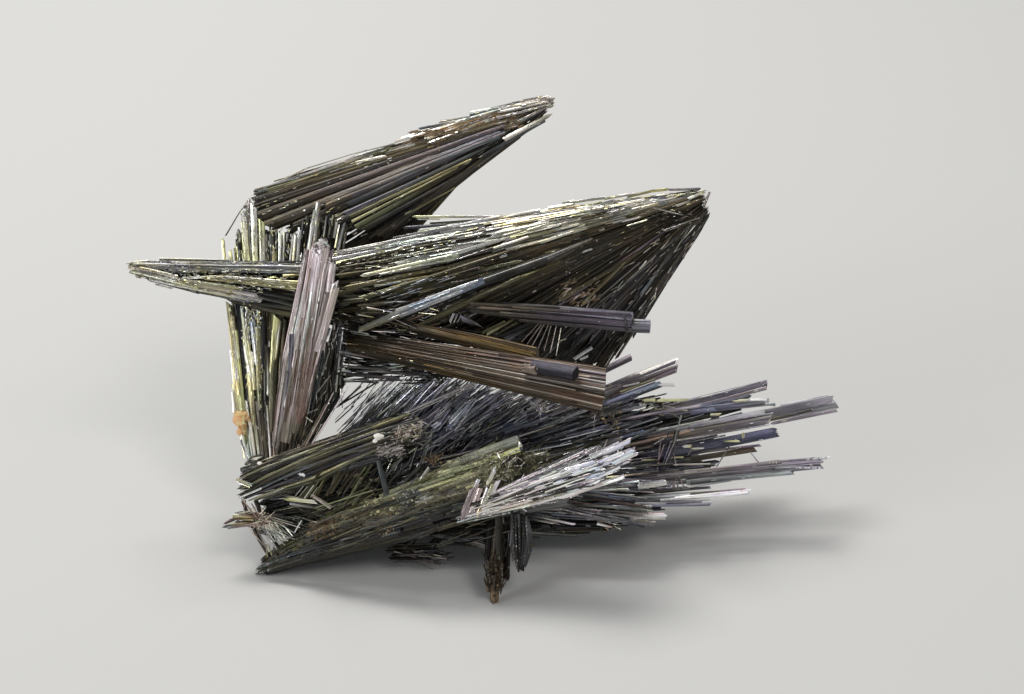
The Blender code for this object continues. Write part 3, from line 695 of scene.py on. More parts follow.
# ---------------------------------------------------------------- finish
def finish_of(name, rough=0.30, tarnish=(0.10, 0.10, 0.20), tarnish_share=0.35, crust_or_painted_highlight_tone=(0.30, 0.17, 0.07),
              crust_or_painted_highlight_pale=(0.52, 0.40, 0.22), lift=1.0, dust=0.0):
    """Striated stibnite: the crystal's own tone, streaks along its length, tarnish in patches, and a matte non-metal
    colour in its mask, which is rough crust and, on bright tones, a painted highlight.
    """
    m = bpy.data.materials.new(name)
    m.use_nodes = True
    nt = m.node_tree
    nt.nodes.clear()
    N, L = nt.nodes.new, nt.links.new

    def math_node(op, a, b=None, clamp=False):
        x = N("ShaderNodeMath")
        x.operation = op
        x.use_clamp = clamp
        for i, v in enumerate((a, b)):
            if v is None:
                continue
            if isinstance(v, (int, float)):
                x.inputs[i].default_value = v
            else:
                L(v, x.inputs[i])
        return x.outputs[0]

    def ramp(fac, *stops):
        x = N("ShaderNodeValToRGB")
        L(fac, x.inputs[0])
        while len(x.color_ramp.elements) < len(stops):
            x.color_ramp.elements.new(0.5)
        for e, (p, c) in zip(x.color_ramp.elements, stops):
            e.position = p
            e.color = (c, c, c, 1) if isinstance(c, (int, float)) else (*c, 1)
        return x.outputs[0]

    def mix(kind, fac, a, b):
        x = N("ShaderNodeMix")
        x.data_type = "RGBA"
        x.blend_type = kind
        for s, v in ((0, fac), (6, a), (7, b)):
            if isinstance(v, (int, float)):
                x.inputs[s].default_value = v
            elif isinstance(v, tuple):
                x.inputs[s].default_value = (*v, 1)
            else:
                L(v, x.inputs[s])
        return x.outputs[2]

    def noise(vec, scale, detail=3.0, rough_=0.55):
        x = N("ShaderNodeTexNoise")
        L(vec, x.inputs["Vector"])
        x.inputs["Scale"].default_value = scale
        x.inputs["Detail"].default_value = detail
        x.inputs["Roughness"].default_value = rough_
        return x.outputs["Fac"]

    def scaled(vec, s):
        x = N("ShaderNodeMapping")
        L(vec, x.inputs["Vector"])
        x.inputs["Scale"].default_value = s
        return x.outputs[0]

    grain = N("ShaderNodeUVMap")
    grain.uv_map = "grain"
    g = grain.outputs[0]
    tone = N("ShaderNodeAttribute")
    tone.attribute_name = "tone"
    space = N("ShaderNodeTexCoord").outputs["Object"]

    streak = noise(scaled(g, (2.4, 0.14, 1)), 1.0, 4.0, 0.62)   # striations along the length, coarse to fine
    cross = noise(scaled(g, (2.2, 0.75, 1)), 1.0, 2.0, 0.6)     # growth steps, which break up the glints
    patch = noise(space, 210.0, 2.0, 0.6)                       # tarnish in patches of a few millimetres
    speck = noise(space, 2100.0, 2.0, 0.7)

    colour = mix("MULTIPLY", 1.0, tone.outputs["Color"], ramp(streak, (0.30, 0.35 * lift), (0.50, 0.95 * lift), (0.68, 1.7 * lift)))
    stain = math_node("MULTIPLY", ramp(patch, (0.44, 0.0), (0.60, 1.0)), tarnish_share, True)
    colour = mix("MIX", stain, colour, mix("MULTIPLY", 1.0, colour, tarnish))
    colour = mix("MULTIPLY", 0.6, colour, ramp(cross, (0.26, 0.4), (0.40, 1.0)))

    # matte mask: real crust, and painted highlights where bright tones are laid with a high crust value
    mask = math_node("MULTIPLY", tone.outputs["Alpha"], 1.35)
    mask = math_node("ADD", mask, math_node("MULTIPLY", math_node("SUBTRACT", speck, 0.5), 1.5))
    mask = ramp(math_node("SUBTRACT", mask, 0.38, True), (0.0, 0.0), (0.28, 1.0))
    if dust:
        mask = math_node("MAXIMUM", mask, ramp(speck, (0.70, 0.0), (0.76, dust)))
    crust = mix("MIX", ramp(noise(space, 700.0, 2.0, 0.7), (0.38, 0.0), (0.66, 1.0)), crust_or_painted_highlight_tone, crust_or_painted_highlight_pale)
    keyed = mix("MIX", 0.85, crust, tone.outputs["Color"])
    crust_or_painted_highlight_colour = mix("MIX", math_node("GREATER_THAN", tone.outputs["Alpha"], 0.9), crust, keyed)
    colour = mix("MIX", mask, colour, crust_or_painted_highlight_colour)

    bsdf = N("ShaderNodeBsdfPrincipled")
    L(colour, bsdf.inputs["Base Color"])
    L(math_node("MULTIPLY", math_node("SUBTRACT", 1.0, mask), 0.74), bsdf.inputs["Metallic"])
    r = math_node("ADD", math_node("MULTIPLY", streak, 0.22), rough - 0.12)
    r = math_node("ADD", r, math_node("MULTIPLY", ramp(patch, (0.4, 0.0), (0.7, 1.0)), 0.08))
    r = math_node("ADD", r, math_node("MULTIPLY", mask, 0.5), True)
    L(r, bsdf.inputs["Roughness"])
    tangent = N("ShaderNodeTangent")
    tangent.direction_type = "UV_MAP"
    tangent.uv_map = "grain"
    L(tangent.outputs[0], bsdf.inputs["Tangent"])
    bsdf.inputs["Anisotropic"].default_value = 0.55

    h = math_node("ADD", streak, math_node("MULTIPLY", cross, 0.55))
    h = math_node("ADD", h, math_node("MULTIPLY", math_node("MULTIPLY", mask, speck), 1.5))
    bump = N("ShaderNodeBump")
    bump.inputs["Strength"].default_value = 0.6
    bump.inputs["Distance"].default_value = 0.00010
    L(h, bump.inputs["Height"])
    L(bump.outputs[0], bsdf.inputs["Normal"])
    out = N("ShaderNodeOutputMaterial")
    L(bsdf.outputs[0], out.inputs[0])
    return m


STEEL = finish_of("steel_stibnite", 0.26, (0.9, 1.0, 1.25), 0.5, lift=1.1)
PEWTER = finish_of("pewter_stibnite", 0.26, (1.10, 1.04, 0.72), 0.6, lift=1.1)
BRONZE = finish_of("bronze_stibnite", 0.28, (1.15, 0.95, 0.75), 0.6, dust=0.25)
OLIVE = finish_of("olive_stibnite", 0.28, (1.06, 1.02, 0.80), 0.6, (0.10, 0.085, 0.05), (0.24, 0.21, 0.14), dust=0.2)
MAUVE = finish_of("mauve_stibnite", 0.32, (1.1, 0.95, 1.0), 0.6, (0.45, 0.36, 0.36), (0.62, 0.55, 0.56))
COPPER = finish_of("copper_stibnite", 0.42, (1.15, 0.94, 0.80), 0.6, dust=0.2)
BROWN = finish_of("brown_stibnite", 0.38, (1.1, 0.97, 0.82), 0.6, dust=0.2)
DULL = finish_of("dull_violet_stibnite", 0.44, (0.98, 0.92, 1.12), 0.6, (0.16, 0.12, 0.09), (0.34, 0.28, 0.24), dust=0.3)
VIOLET = finish_of("violet_stibnite", 0.26, (0.95, 0.92, 1.25), 0.6, dust=0.2)
SILVER = finish_of("silver_stibnite", 0.23, (1.05, 0.92, 1.1), 0.5)
EARTH = finish_of("earthy_stibnite", 0.38, (1.2, 0.95, 0.75), 0.6, (0.10, 0.065, 0.04), (0.24, 0.17, 0.10), dust=0.8)
OCHRE = finish_of("ochre_crust", 0.6, (1.1, 0.95, 0.8), 0.4, (0.62, 0.36, 0.15), (0.80, 0.56, 0.32))
# painted highlights: near-white matte colours for needles that stand in for glints
PAINTED_GLINT = finish_of("painted_glint_stibnite", 0.3, (0.92, 0.96, 1.15), 0.3, (0.72, 0.75, 0.80), (0.90, 0.91, 0.93))
GRAINS = finish_of("mineral_grains", 0.55, (0.9, 0.9, 0.9), 0.2, (0.3, 0.2, 0.12), (0.6, 0.55, 0.48))


def show(S, material, slot, *nodes):
    o = S.make(material)
    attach(o, "root")
    if nodes:
        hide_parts(*nodes)
    return o


# ---------------------------------------------------------------- A, the upper fan
UPPER_ROOT = [(552, 100, 9.6), (547, 113, 9.2)]
UPPER_ENDS = [(251, 192, 12.8), (248, 214, 11.9), (270, 229, 11.2), (306, 236, 10.2), (348, 240, 9.0), (382, 242, 8.0)]
A_PAL = [(0.0, {"pale": 3, "steel": 3, "slate": 2, "silver": 1}), (0.16, {"bronze": 3, "brown": 3, "slate": 2}),
         (0.40, {"brown": 4, "umber": 3, "bronze": 2}), (0.62, {"steel": 3, "blue": 2, "slate": 3, "umber": 2}),
         (0.85, {"olive": 2, "umber": 4, "brown": 3}), (1.0, {"black": 3, "umber": 3, "olive": 1})]
A_FAR = [(0.0, {"slate": 2, "bronze": 3, "brown": 2}), (0.3, {"bronze": 3, "brown": 4, "umber": 2}),
         (0.8, {"umber": 4, "brown": 3, "olive": 1}), (1.0, {"umber": 3, "black": 2})]


def rusty(spans, strength):
    def f(u, tt, v, rng):
        out = np.zeros(4)
        for (u0, u1, t0, t1) in spans:
            if u0 <= u <= u1:
                out = np.maximum(out, strength * ((tt > t0) & (tt < t1)) * rng.uniform(0.2, 1.0))
        return np.minimum(out, 0.85)
    return f


FRONT_A = Front(UPPER_ROOT, UPPER_ENDS, (1, 4.8))
S = Sheaf("upper_fan_needles", 11, 0.95)
fan(S, UPPER_ROOT, UPPER_ENDS, (1, 4.7), 420, (0.2, 0.8), A_PAL, ribs=7, start=(0.0, 0.6), stop=(0.84, 1.0), far=A_FAR,
    crust=rusty([(0.05, 0.25, 0.1, 0.6)], 0.6), sides=7)
fan(S, [(541, 97, 9.8), (543, 103, 9.4)], [(400, 141, 11.4), (426, 150, 9.0)], (0.8, 2.6), 90, (0.18, 0.45),
    {"silver": 5, "pale": 3, "steel": 2, "bronze": 1}, ribs=2, stop=(0.75, 1.0), crust=rusty([(0.5, 1.0, 0.2, 0.9)], 0.7), sides=6)
show(S, BRONZE, "bronze_stibnite", "upper_fan")

S = Sheaf("upper_fan_blades", 12, 0.92)
trace(S, FRONT_A, [
    (512, 118, 268, 191, (4, 9), ("bronze", "olive"), 0.0),
    (508, 121, 260, 200, (4, 10), ("brown", "brown"), 0.15),
    (500, 125, 253, 210, (4, 11), ("slate", "umber"), 0.0),
    (503, 127, 256, 218, (4, 11), ("violet", "brown"), 0.3),
    (498, 133, 268, 226, (4, 12), ("steel", "brown"), 0.2),
    (500, 135, 292, 228, (4, 10), ("violet", "umber"), 0.0),
    (505, 133, 326, 206, (3, 7), ("violet", "bronze"), 0.35),
    (492, 139, 349, 205, (4, 7), ("violet", "slate"), 0.3),
    (500, 137, 352, 196, (3, 5), ("steel", "violet"), 0.45),
    (488, 146, 330, 226, (4, 9), ("slate", "umber"), 0.0),
    (478, 152, 345, 214, (3, 6), ("slate", "violet"), 0.2),
    (470, 160, 350, 217, (2, 3.5), ("gold", "olive"), 0.35),
    (458, 168, 352, 222, (2, 3), ("olive", "gold"), 0.3),
    (465, 166, 356, 228, (3, 7), ("umber", "olive"), 0.1),
    (455, 188, 405, 215, (1.5, 3), ("gold", "olive"), 0.3),
    (480, 165, 363, 230, (3, 6), ("slate", "umber"), 0.2),
    (505, 147, 380, 236, (3, 7), ("slate", "umber"), 0.1),
    (520, 137, 395, 230, (3, 5), ("brown", "black"), 0.2),
    (542, 120, 405, 222, (3, 5), ("slate", "umber"), 0.1),
    (547, 117, 504, 140, (4, 5), ("pale", "silver"), 0.35),
    (545, 121, 480, 158, (3, 4), ("steel", "slate"), 0.3),
    (395, 144, 268, 189, (3, 6.5), ("pale", "steel"), 0.4),
    (392, 149, 284, 190, (4, 8), ("olive", "bronze"), 0.2),
    (427, 133, 395, 142, (3, 3), ("silver", "silver"), 0.5),
    (552, 99, 470, 113, (3, 3), ("pale", "silver"), 0.3),
    (551, 101, 440, 122, (3, 3), ("silver", "pale"), 0.4),
    (548, 103, 419, 129, (3, 3), ("pale", "steel"), 0.5),
    (546, 106, 455, 129, (3, 3.5), ("steel", "silver"), 0.5),
    (552, 104, 519, 122, (3, 4), ("mauve", "steel"), 0.3),
    (540, 100, 498, 110, (3, 3), ("silver", "silver"), 0.6),
    (520, 108, 462, 121, (2, 3), ("silver", "pale"), 0.7),
    (505, 113, 448, 128, (2, 3), ("pale", "bronze"), 0.6),
    (275, 186, 255, 194, (5, 7), ("slate", "slate"), 0.1, "broken"),
    (384, 157, 356, 163, (3, 3), ("silver", "pale"), 0.4),
    (372, 157, 352, 163, (2, 3), ("pale", "silver"), 0.5),
    (362, 163, 330, 173, (1.5, 2), ("silver", "pale"), 0.5)], lift=0.05, flat=0.45)
flecks(S, FRONT_A, 70, {"silver": 3, "pale": 3, "steel": 2, "gold": 1}, (0.0, 0.16), (0.1, 0.75))
flecks(S, FRONT_A, 60, {"pale": 2, "bronze": 3, "steel": 2, "gold": 1}, (0.2, 1.0), (0.2, 0.98), width=(0.1, 0.2))
grain_patch(S, FRONT_A, (488, 116, 518, 130), 26, (0.12, 0.28), {"rust": 1}, lift=0.3)
grain_patch(S, FRONT_A, (415, 131, 456, 147), 30, (0.12, 0.28), {"rust": 1}, lift=0.3)
grain_patch(S, FRONT_A, (470, 122, 500, 136), 16, (0.10, 0.22), {"rust": 1}, lift=0.3)
grain_patch(S, FRONT_A, (322, 198, 336, 207), 6, (0.14, 0.24), {"rust": 1}, lift=0.35)
grain_patch(S, FRONT_A, (504, 100, 522, 106), 7, (0.12, 0.22), {"rust": 1}, lift=0.55)
S.lump(at([(448.5, 130.5, FRONT_A.depth(448, 131) - 0.6)])[0], 0.3, S.tone_of("pink", 0.05), 0.95, 1)
top = Top((250, 90, 560, 246), (0.0, 16.0))
trace(S, top, [(553.0, 99.5, 538, 102, 4, ("pale", "steel"), 0.1, "broken"), (552.5, 103, 536, 106, 4, ("steel", "pale"), 0.1, "broken"), (551.5, 106.5, 537, 110, 3.5, ("mauve", "steel"), 0.1, "broken"),
               (549, 97.6, 532, 100.5, 3.5, ("pale", "olive"), 0.1, "broken"), (543, 97.6, 522, 101.5, 3.5, ("steel", "pale"), 0.1, "broken"), (533, 99.5, 512, 104, 3, ("pale", "steel"), 0.05, "broken"),
               (522, 102, 490, 109.5, 3, ("steel", "pale"), 0.05), (508, 105.5, 470, 115, 3, ("pale", "steel"), 0.05), (500, 110, 455, 123, 3, ("steel", "silver"), 0.1), (545, 101, 520, 106, 3, ("silver", "pale"), 0.2)])
scales(S, top, (408, 131, 456, 149), 60, {"rust": 4, "copper": 1, "brown": 2}, 19, (0.4, 1.8), (0.14, 0.4))
scales(S, top, (488, 113, 522, 128), 50, {"rust": 4, "copper": 1, "brown": 2}, 17, (0.4, 1.6), (0.14, 0.4))
scales(S, top, (455, 124, 492, 137), 26, {"rust": 3, "brown": 3}, 18, (0.4, 1.6), (0.12, 0.3))
scales(S, top, (318, 196, 336, 206), 16, {"rust": 3, "honey": 3}, 24, (0.3, 1.0), (0.14, 0.36))
# the first four rows are painted highlights: matte pale bands along the upper fan's lit top edge
trace(S, top, [(307, 168.6, 268, 188.2, (1.6, 2.4), ("pale", "pale"), 0.1, "flat", 0.95), (353, 154.2, 307, 168.6, (1.4, 1.8), ("pale", "pale"), 0.1, "flat", 0.95), (394, 143.9, 353, 154.2, (1.2, 1.5), ("pale", "pale"), 0.1, "flat", 0.95),
               (300, 175, 264, 192, (2.0, 3.0), ("steel", "steel"), 0.1, "broken", 0.95), (345, 162.5, 262, 190, (4, 5), ("pale", "steel"), 0.02), (428, 140, 345, 163, (2.4, 3.4), ("steel", "pale"), 0.05), (300, 179, 257, 194, (4, 7), ("steel", "slate"), 0.05, "broken"),
               (338, 168, 290, 183, (2.5, 3), ("silver", "pale"), 0.1), (415, 144.5, 380, 154, (2, 2.4), ("silver", "pale"), 0.1), (288, 190, 254, 200, (3, 6), ("bronze", "slate"), 0.05, "broken")])
for k in range(74):
    f = (k + S.rng.uniform()) / 74
    x1, y1 = 337 + 70 * f + S.rng.normal(0, 1.2), 253 - 12 * f + S.rng.normal(0, 1.2)
    x0, y0 = 462 + 30 * f, 174 - 28 * f
    g = 0.15 + 0.45 * S.rng.uniform()
    trace(S, 8.4 + 1.6 * S.rng.uniform(), [(x0 + (x1 - x0) * g, y0 + (y1 - y0) * g, x1, y1, (2.5, S.rng.uniform(2.5, 5)), (pick(S.rng, {"umber": 4, "brown": 2, "olive": 1}, 0), pick(S.rng, {"umber": 4, "black": 3}, 0)), 0.0, "flat")])
grain_patch(S, FRONT_A, (541, 96, 554, 110), 40, (0.12, 0.28), {"pale": 2, "steel": 3, "mauve": 1})
grain_patch(S, FRONT_A, (250, 188, 268, 204), 60, (0.14, 0.3), {"steel": 3, "slate": 3, "pale": 1})
sparkle(S, (440, 97, 552, 128), 200, {"silver": 3, "pale": 4, "steel": 2, "gold": 1}, (0, 16), (0.15, 0.8), (0.06, 0.15))
sparkle(S, (262, 120, 500, 238), 260, {"pale": 3, "bronze": 3, "steel": 2, "gold": 1}, (0, 16), (0.12, 0.5), (0.05, 0.11))
# painted glints: matte silver and gold flecks
sparkle(S, (350, 148, 392, 166), 40, {"silver": 3, "gold": 3}, (0, 16), (0.15, 0.6), (0.07, 0.14), crust=0.95)
show(S, BROWN, "bronze_stibnite")

# ---------------------------------------------------------------- B, the spear and its fan
SPEAR_ROOT = [(129, 263, 2.8), (130, 273, 2.4)]
SPEAR_ENDS = [(344, 265, 3.0), (350, 278, 2.4), (350, 295, 2.0), (344, 310, 2.4), (338, 321, 3.2)]
FRONT_B = Front(SPEAR_ROOT, SPEAR_ENDS, (1.3, 4.2))
S = Sheaf("left_spear_needles", 21, 0.62)
fan(S, SPEAR_ROOT, SPEAR_ENDS, (1.2, 4.0), 300, (0.24, 0.75),
    [(0.0, {"steel": 4, "slate": 3, "pale": 1}), (0.3, {"black": 4, "umber": 3, "olive": 1}), (0.6, {"umber": 3, "black": 3, "olive": 2}),
     (0.8, {"steel": 2, "umber": 3, "olive": 2}), (1.0, {"brown": 3, "umber": 3, "slate": 1})],
    ribs=5, start=(0.0, 0.35), stop=(0.93, 1.04), far=[(0.0, {"slate": 3, "umber": 2}), (0.4, {"black": 3, "umber": 3}),
    (1.0, {"brown": 3, "umber": 3})], sides=7)
trace(S, FRONT_B, [
    (134, 266, 303, 270, (7, 9), ("steel", "steel"), 0.25), (150, 262, 300, 266, (3, 4), ("steel", "slate"), 0.35),
    (160, 259.5, 232, 262, (3, 4), ("pale", "steel"), 0.3), (140, 264.7, 170, 266.3, 2.5, ("gold", "silver"), 0.55),
    (172, 263, 255, 266, (3, 4), ("pale", "slate"), 0.5), (200, 268, 280, 271, (3, 4), ("steel", "pale"), 0.5),
    (220, 271, 300, 272.5, (3, 3), ("slate", "steel"), 0.45), (171, 270.5, 190, 272, 4, ("slate", "slate"), 0.45),
    (129, 267, 168, 275, (5, 6), ("silver", "silver"), 0.35), (130, 264, 150, 262, (4, 4), ("pale", "pale"), 0.35),
    (141, 272.7, 165, 273.5, 2, ("gold", "gold"), 0.5),
    (205, 278.3, 305, 287, (4, 8), ("gold", "gold"), 0.3), (228, 277, 304, 283, (3, 4), ("silver", "gold"), 0.5),
    (236, 281, 304, 290, (3, 3), ("gold", "olive"), 0.5), (283, 276, 300, 275, 3, ("gold", "olive"), 0.45),
    (184, 278.3, 232, 276, (2.5, 3), ("silver", "gold"), 0.45),
    (134, 270, 260, 299, (6, 9), ("silver", "steel"), 0.35), (146, 274, 225, 290, (4, 5), ("silver", "pale"), 0.55),
    (152, 277, 215, 293, (3, 4), ("gold", "steel"), 0.5), (165, 277, 240, 288, (3, 4), ("silver", "gold"), 0.6),
    (190, 286, 262, 300, (5, 6), ("steel", "pale"), 0.6), (200, 292, 250, 301, (4, 5), ("slate", "steel"), 0.5),
    (157, 284.6, 173, 288.6, 2, ("silver", "silver"), 0.3), (150, 280, 200, 293, (3, 3), ("steel", "slate"), 0.3),
    (244, 289.4, 302, 300.6, (4, 5), ("black", "black"), 0.3), (258, 295.8, 301, 307, (4, 5), ("slate", "slate"), 0.3),
    (234, 301, 298, 314, (5, 10), ("umber", "brown"), 0.1), (235, 300, 300, 309, (4, 6), ("umber", "slate"), 0.25)], lift=0.05)
trace(S, FRONT_B, [(132, 271, 200, 288, (4, 5), ("silver", "gold"), 0.6), (150, 279, 235, 296, (4, 5), ("silver", "silver"), 0.55), (180, 281, 258, 296, (4, 5), ("gold", "silver"), 0.65),
                   (205, 290, 262, 301, (4, 5), ("silver", "pale"), 0.7), (140, 268, 178, 277, (3, 4), ("gold", "silver"), 0.65)], lift=0.05)
flecks(S, FRONT_B, 260, {"silver": 4, "gold": 4, "pale": 2}, (0.3, 0.98), (0.03, 0.62), lift=0.4, length=(0.12, 0.5), width=(0.08, 0.2), spread=0.15)
flecks(S, FRONT_B, 110, {"silver": 3, "steel": 3, "pale": 3}, (0.0, 0.2), (0.03, 0.85), lift=0.35, length=(0.12, 0.45), width=(0.08, 0.18), spread=0.15)
flecks(S, FRONT_B, 90, {"silver": 4, "gold": 2, "pale": 2}, (0.3, 0.95), (0.04, 0.62), lift=0.35, length=(0.3, 1.2))
flecks(S, FRONT_B, 45, {"silver": 2, "pale": 4, "steel": 3}, (0.0, 0.25), (0.04, 0.8), lift=0.35, length=(0.3, 1.0), width=(0.1, 0.2))
flecks(S, FRONT_B, 40, {"gold": 4, "silver": 3}, (0.36, 0.56), (0.45, 0.8), lift=0.35, length=(0.3, 1.2), width=(0.1, 0.25))
sparkle(S, (132, 268, 262, 303), 420, {"gold": 4, "silver": 4, "pale": 2}, (-3, 6), (0.12, 0.5), (0.07, 0.17))
# painted glints: matte gold and silver flecks on the spear
sparkle(S, (132, 270, 262, 301), 200, {"gold": 4, "silver": 2, "pale": 1}, (-3, 6), (0.10, 0.40), (0.06, 0.14), crust=0.95)
sparkle(S, (130, 260, 300, 272), 160, {"silver": 2, "pale": 4, "gold": 2, "steel": 2}, (-3, 6), (0.12, 0.5), (0.06, 0.15))
# painted glints: matte gold and silver flecks at the spear's root
sparkle(S, (128, 260, 175, 278), 120, {"gold": 4, "silver": 3}, (-3, 6), (0.12, 0.5), (0.06, 0.15), crust=0.95)
sparkle(S, (232, 276, 304, 292), 120, {"gold": 5, "silver": 2}, (-3, 6), (0.15, 0.7), (0.06, 0.14))
show(S, PEWTER, "steel_stibnite", "left_spear")

MID_ROOT = [(706, 190, 4.2), (705, 199, 4.4)]
MID_ENDS = [(330, 256, 4.4), (338, 275, 3.6), (352, 298, 2.8), (366, 321, 2.3), (422, 326, 2.8), (474, 323, 4.0)]
FRONT_M = Front(MID_ROOT, MID_ENDS, (1.2, 4.6))
S = Sheaf("middle_fan_needles", 22, 1.2)
fan(S, MID_ROOT, MID_ENDS, (1.2, 4.5), 420, (0.2, 0.75),
    [(0.0, {"silver": 3, "pale": 3, "gold": 1, "steel": 3}), (0.25, {"pale": 2, "olive": 2, "steel": 2, "umber": 3}),
     (0.4, {"olive": 3, "umber": 4, "bronze": 2}), (0.8, {"brown": 3, "umber": 5, "bronze": 1}), (1.0, {"black": 3, "umber": 4})],
    ribs=7, start=(0.0, 0.5), stop=(0.82, 1.02), far=[(0.0, {"olive": 2, "steel": 3, "pale": 2}),
    (0.3, {"umber": 4, "olive": 2, "brown": 2}), (1.0, {"umber": 4, "brown": 2, "black": 2})], sides=7)
fan(S, [(702, 190, 4.0), (700, 196, 4.0)], [(432, 232, 4.8), (470, 236, 3.4), (505, 247, 2.8)], (1, 2.6), 150, (0.2, 0.5),
    {"silver": 3, "pale": 4, "steel": 3, "umber": 1, "gold": 1}, ribs=3, start=(0.1, 0.5), stop=(0.6, 1.0), sides=6)
show(S, BRONZE, "bronze_stibnite", "middle_fan")

S = Sheaf("middle_fan_blades", 26, 0.7)
trace(S, FRONT_M, [
    (560, 210, 436, 235, (8, 11), ("silver", "silver"), 0.0), (540, 211, 420, 233, (5, 6), ("silver", "pale"), 0.25),
    (500, 217, 392, 240, (5, 6), ("silver", "steel"), 0.3), (440, 234, 333, 257, (8, 10), ("steel", "pale"), 0.1),
    (452, 230, 336, 253, (4, 5), ("pale", "gold"), 0.3), (430, 238, 345, 256, (4, 5), ("silver", "steel"), 0.3),
    (420, 243, 334, 260, (4, 5), ("steel", "silver"), 0.25), (405, 248, 336, 263, (3, 3), ("silver", "gold"), 0.3),
    (513, 222, 389, 250, (3, 3.5), ("umber", "olive"), 0.15), (500, 227, 400, 248, (2.5, 3), ("pale", "steel"), 0.35),
    (498, 231, 396, 254, (2.5, 3), ("brown", "umber"), 0.3), (470, 237, 400, 250, (2, 2.5), ("pale", "gold"), 0.4),
    (440, 251, 352, 262, (2, 3), ("pale", "silver"), 0.3), (378, 268, 349, 268.7, (1.5, 2), ("pink", "pink"), 0.4),
    (430, 252, 405, 256, (2, 2), ("silver", "pale"), 0.4), (480, 247, 380, 265, (6, 8), ("umber", "umber"), 0.0),
    (600, 212, 545, 224, (5, 5), ("silver", "silver"), 0.4), (590, 207, 540, 215, (5, 5), ("silver", "silver"), 0.3),
    (575, 204, 548, 209, (3, 4), ("silver", "silver"), 0.2), (610, 209, 560, 219, (4, 5), ("silver", "pale"), 0.4),
    (600, 219, 520, 238, (5, 5), ("silver", "silver"), 0.35), (572, 219, 498, 235, (6, 7), ("silver", "silver"), 0.45),
    (560, 226, 505, 241, (4, 5), ("silver", "silver"), 0.5), (515, 229, 476, 240, (5, 5), ("silver", "silver"), 0.5),
    (499, 235, 451, 249, (5, 5), ("silver", "silver"), 0.45), (490, 239, 447, 252, (3, 4), ("pale", "silver"), 0.5),
    (455, 249, 376, 270, (5, 6), ("silver", "steel"), 0.3), (452, 253, 372, 273, (4, 5), ("pale", "silver"), 0.4),
    (448, 258, 366, 276, (5, 7), ("silver", "pale"), 0.45), (447, 261, 380, 275, (2, 3), ("silver", "silver"), 0.55),
    (430, 266, 365, 278, (3, 4), ("steel", "steel"), 0.45), (398, 271, 356, 279, (2, 1.6), ("gold", "gold"), 0.5),
    (658, 204, 612, 216, (3, 3.5), ("gold", "silver"), 0.2), (613, 215, 547, 240, (3.5, 4), ("silver", "silver"), 0.35),
    (640, 208, 585, 224, (3, 4), ("pale", "gold"), 0.3), (547, 240, 507, 250, (3.5, 4), ("silver", "silver"), 0.4),
    (585, 228, 540, 243, (2.5, 3), ("gold", "silver"), 0.45), (600, 217, 560, 229, (2, 3), ("silver", "silver"), 0.5),
    (507, 255, 489, 260.5, (3, 3.5), ("silver", "silver"), 0.5), (470, 267, 462, 269, (2, 2), ("silver", "silver"), 0.4),
    (622.4, 219.8, 612, 223, (2.2, 2.2), ("silver", "silver"), 0.45), (574, 249.5, 547, 264, (2.5, 3), ("pink", "copper"), 0.3),
    (592, 249, 583, 252, (2.5, 2.5), ("silver", "silver"), 0.4), (604, 229, 599, 231, (2, 2), ("silver", "pale"), 0.4),
    (560, 249, 520, 266, (3, 4), ("bronze", "umber"), 0.2), (660, 215, 560, 256, (4, 6), ("umber", "brown"), 0.1),
    (670, 212, 540, 262, (4, 7), ("brown", "umber"), 0.0), (640, 226, 500, 282, (4, 7), ("umber", "umber"), 0.1),
    (560, 255, 420, 292, (6, 8), ("umber", "olive"), 0.1), (520, 262, 400, 288, (5, 6), ("olive", "umber"), 0.3),
    (484, 268, 374, 286, (3, 4), ("olive", "gold"), 0.4), (384, 284.3, 375, 286, (3, 3), ("silver", "silver"), 0.5),
    (500, 268, 357, 300, (6, 8), ("umber", "olive"), 0.15), (404, 283, 358, 304, (5, 7), ("olive", "brown"), 0.35),
    (367, 281, 347, 286, (3, 3), ("mauve", "mauve"), 0.4), (480, 276, 398, 296, (4, 5), ("bronze", "umber"), 0.3),
    (387, 310.6, 365, 307.6, (1.2, 1.2), ("pink", "silver"), 0.6), (372.5, 317, 358, 314.2, (1.5, 1.5), ("gold", "pale"), 0.6),
    (668, 189.5, 650, 191.5, (3, 3), ("gold", "gold"), 0.1), (651, 191.5, 627, 197, (3, 3), ("gold", "gold"), 0.15),
    (634, 194, 605, 199, (3, 3), ("silver", "gold"), 0.15), (667, 197, 636, 201, (4, 5), ("blue", "steel"), 0.2),
    (630, 201, 600, 206, (3, 4), ("steel", "silver"), 0.2), (700, 189, 668, 190, (3, 3), ("steel", "pale"), 0.15),
    (704, 192, 688, 199, (3, 3), ("gold", "silver"), 0.3), (709.5, 192, 703, 208, (2.5, 3), ("pink", "steel"), 0.4),
    (700, 196, 676, 203, (3, 3), ("brown", "bronze"), 0.2), (690, 201, 676, 206, (3, 3), ("steel", "silver"), 0.35),
    (605, 198, 570, 203, (3, 3), ("silver", "silver"), 0.15), (580, 200.5, 562, 203, (3, 3), ("silver", "silver"), 0.1)],
    lift=0.05, flat=0.45)
for _ in range(150):
    f = S.rng.uniform()
    x1 = 480 + 150 * f + S.rng.normal(0, 8)
    y1 = float(np.interp(x1, [480, 540, 600, 640], [232, 216, 204, 199])) + S.rng.uniform(-3, 1) + 22 * S.rng.uniform() ** 1.3
    l = S.rng.uniform(14, 60)
    trace(S, FRONT_M, [(x1, y1, x1 - l, y1 + l * S.rng.normal(0.24, 0.05), S.rng.uniform(1.0, 2.8), (pick(S.rng, {"silver": 4, "pale": 4, "steel": 2, "gold": 0.6}, 0),) * 2, S.rng.uniform(0.3, 0.75))])
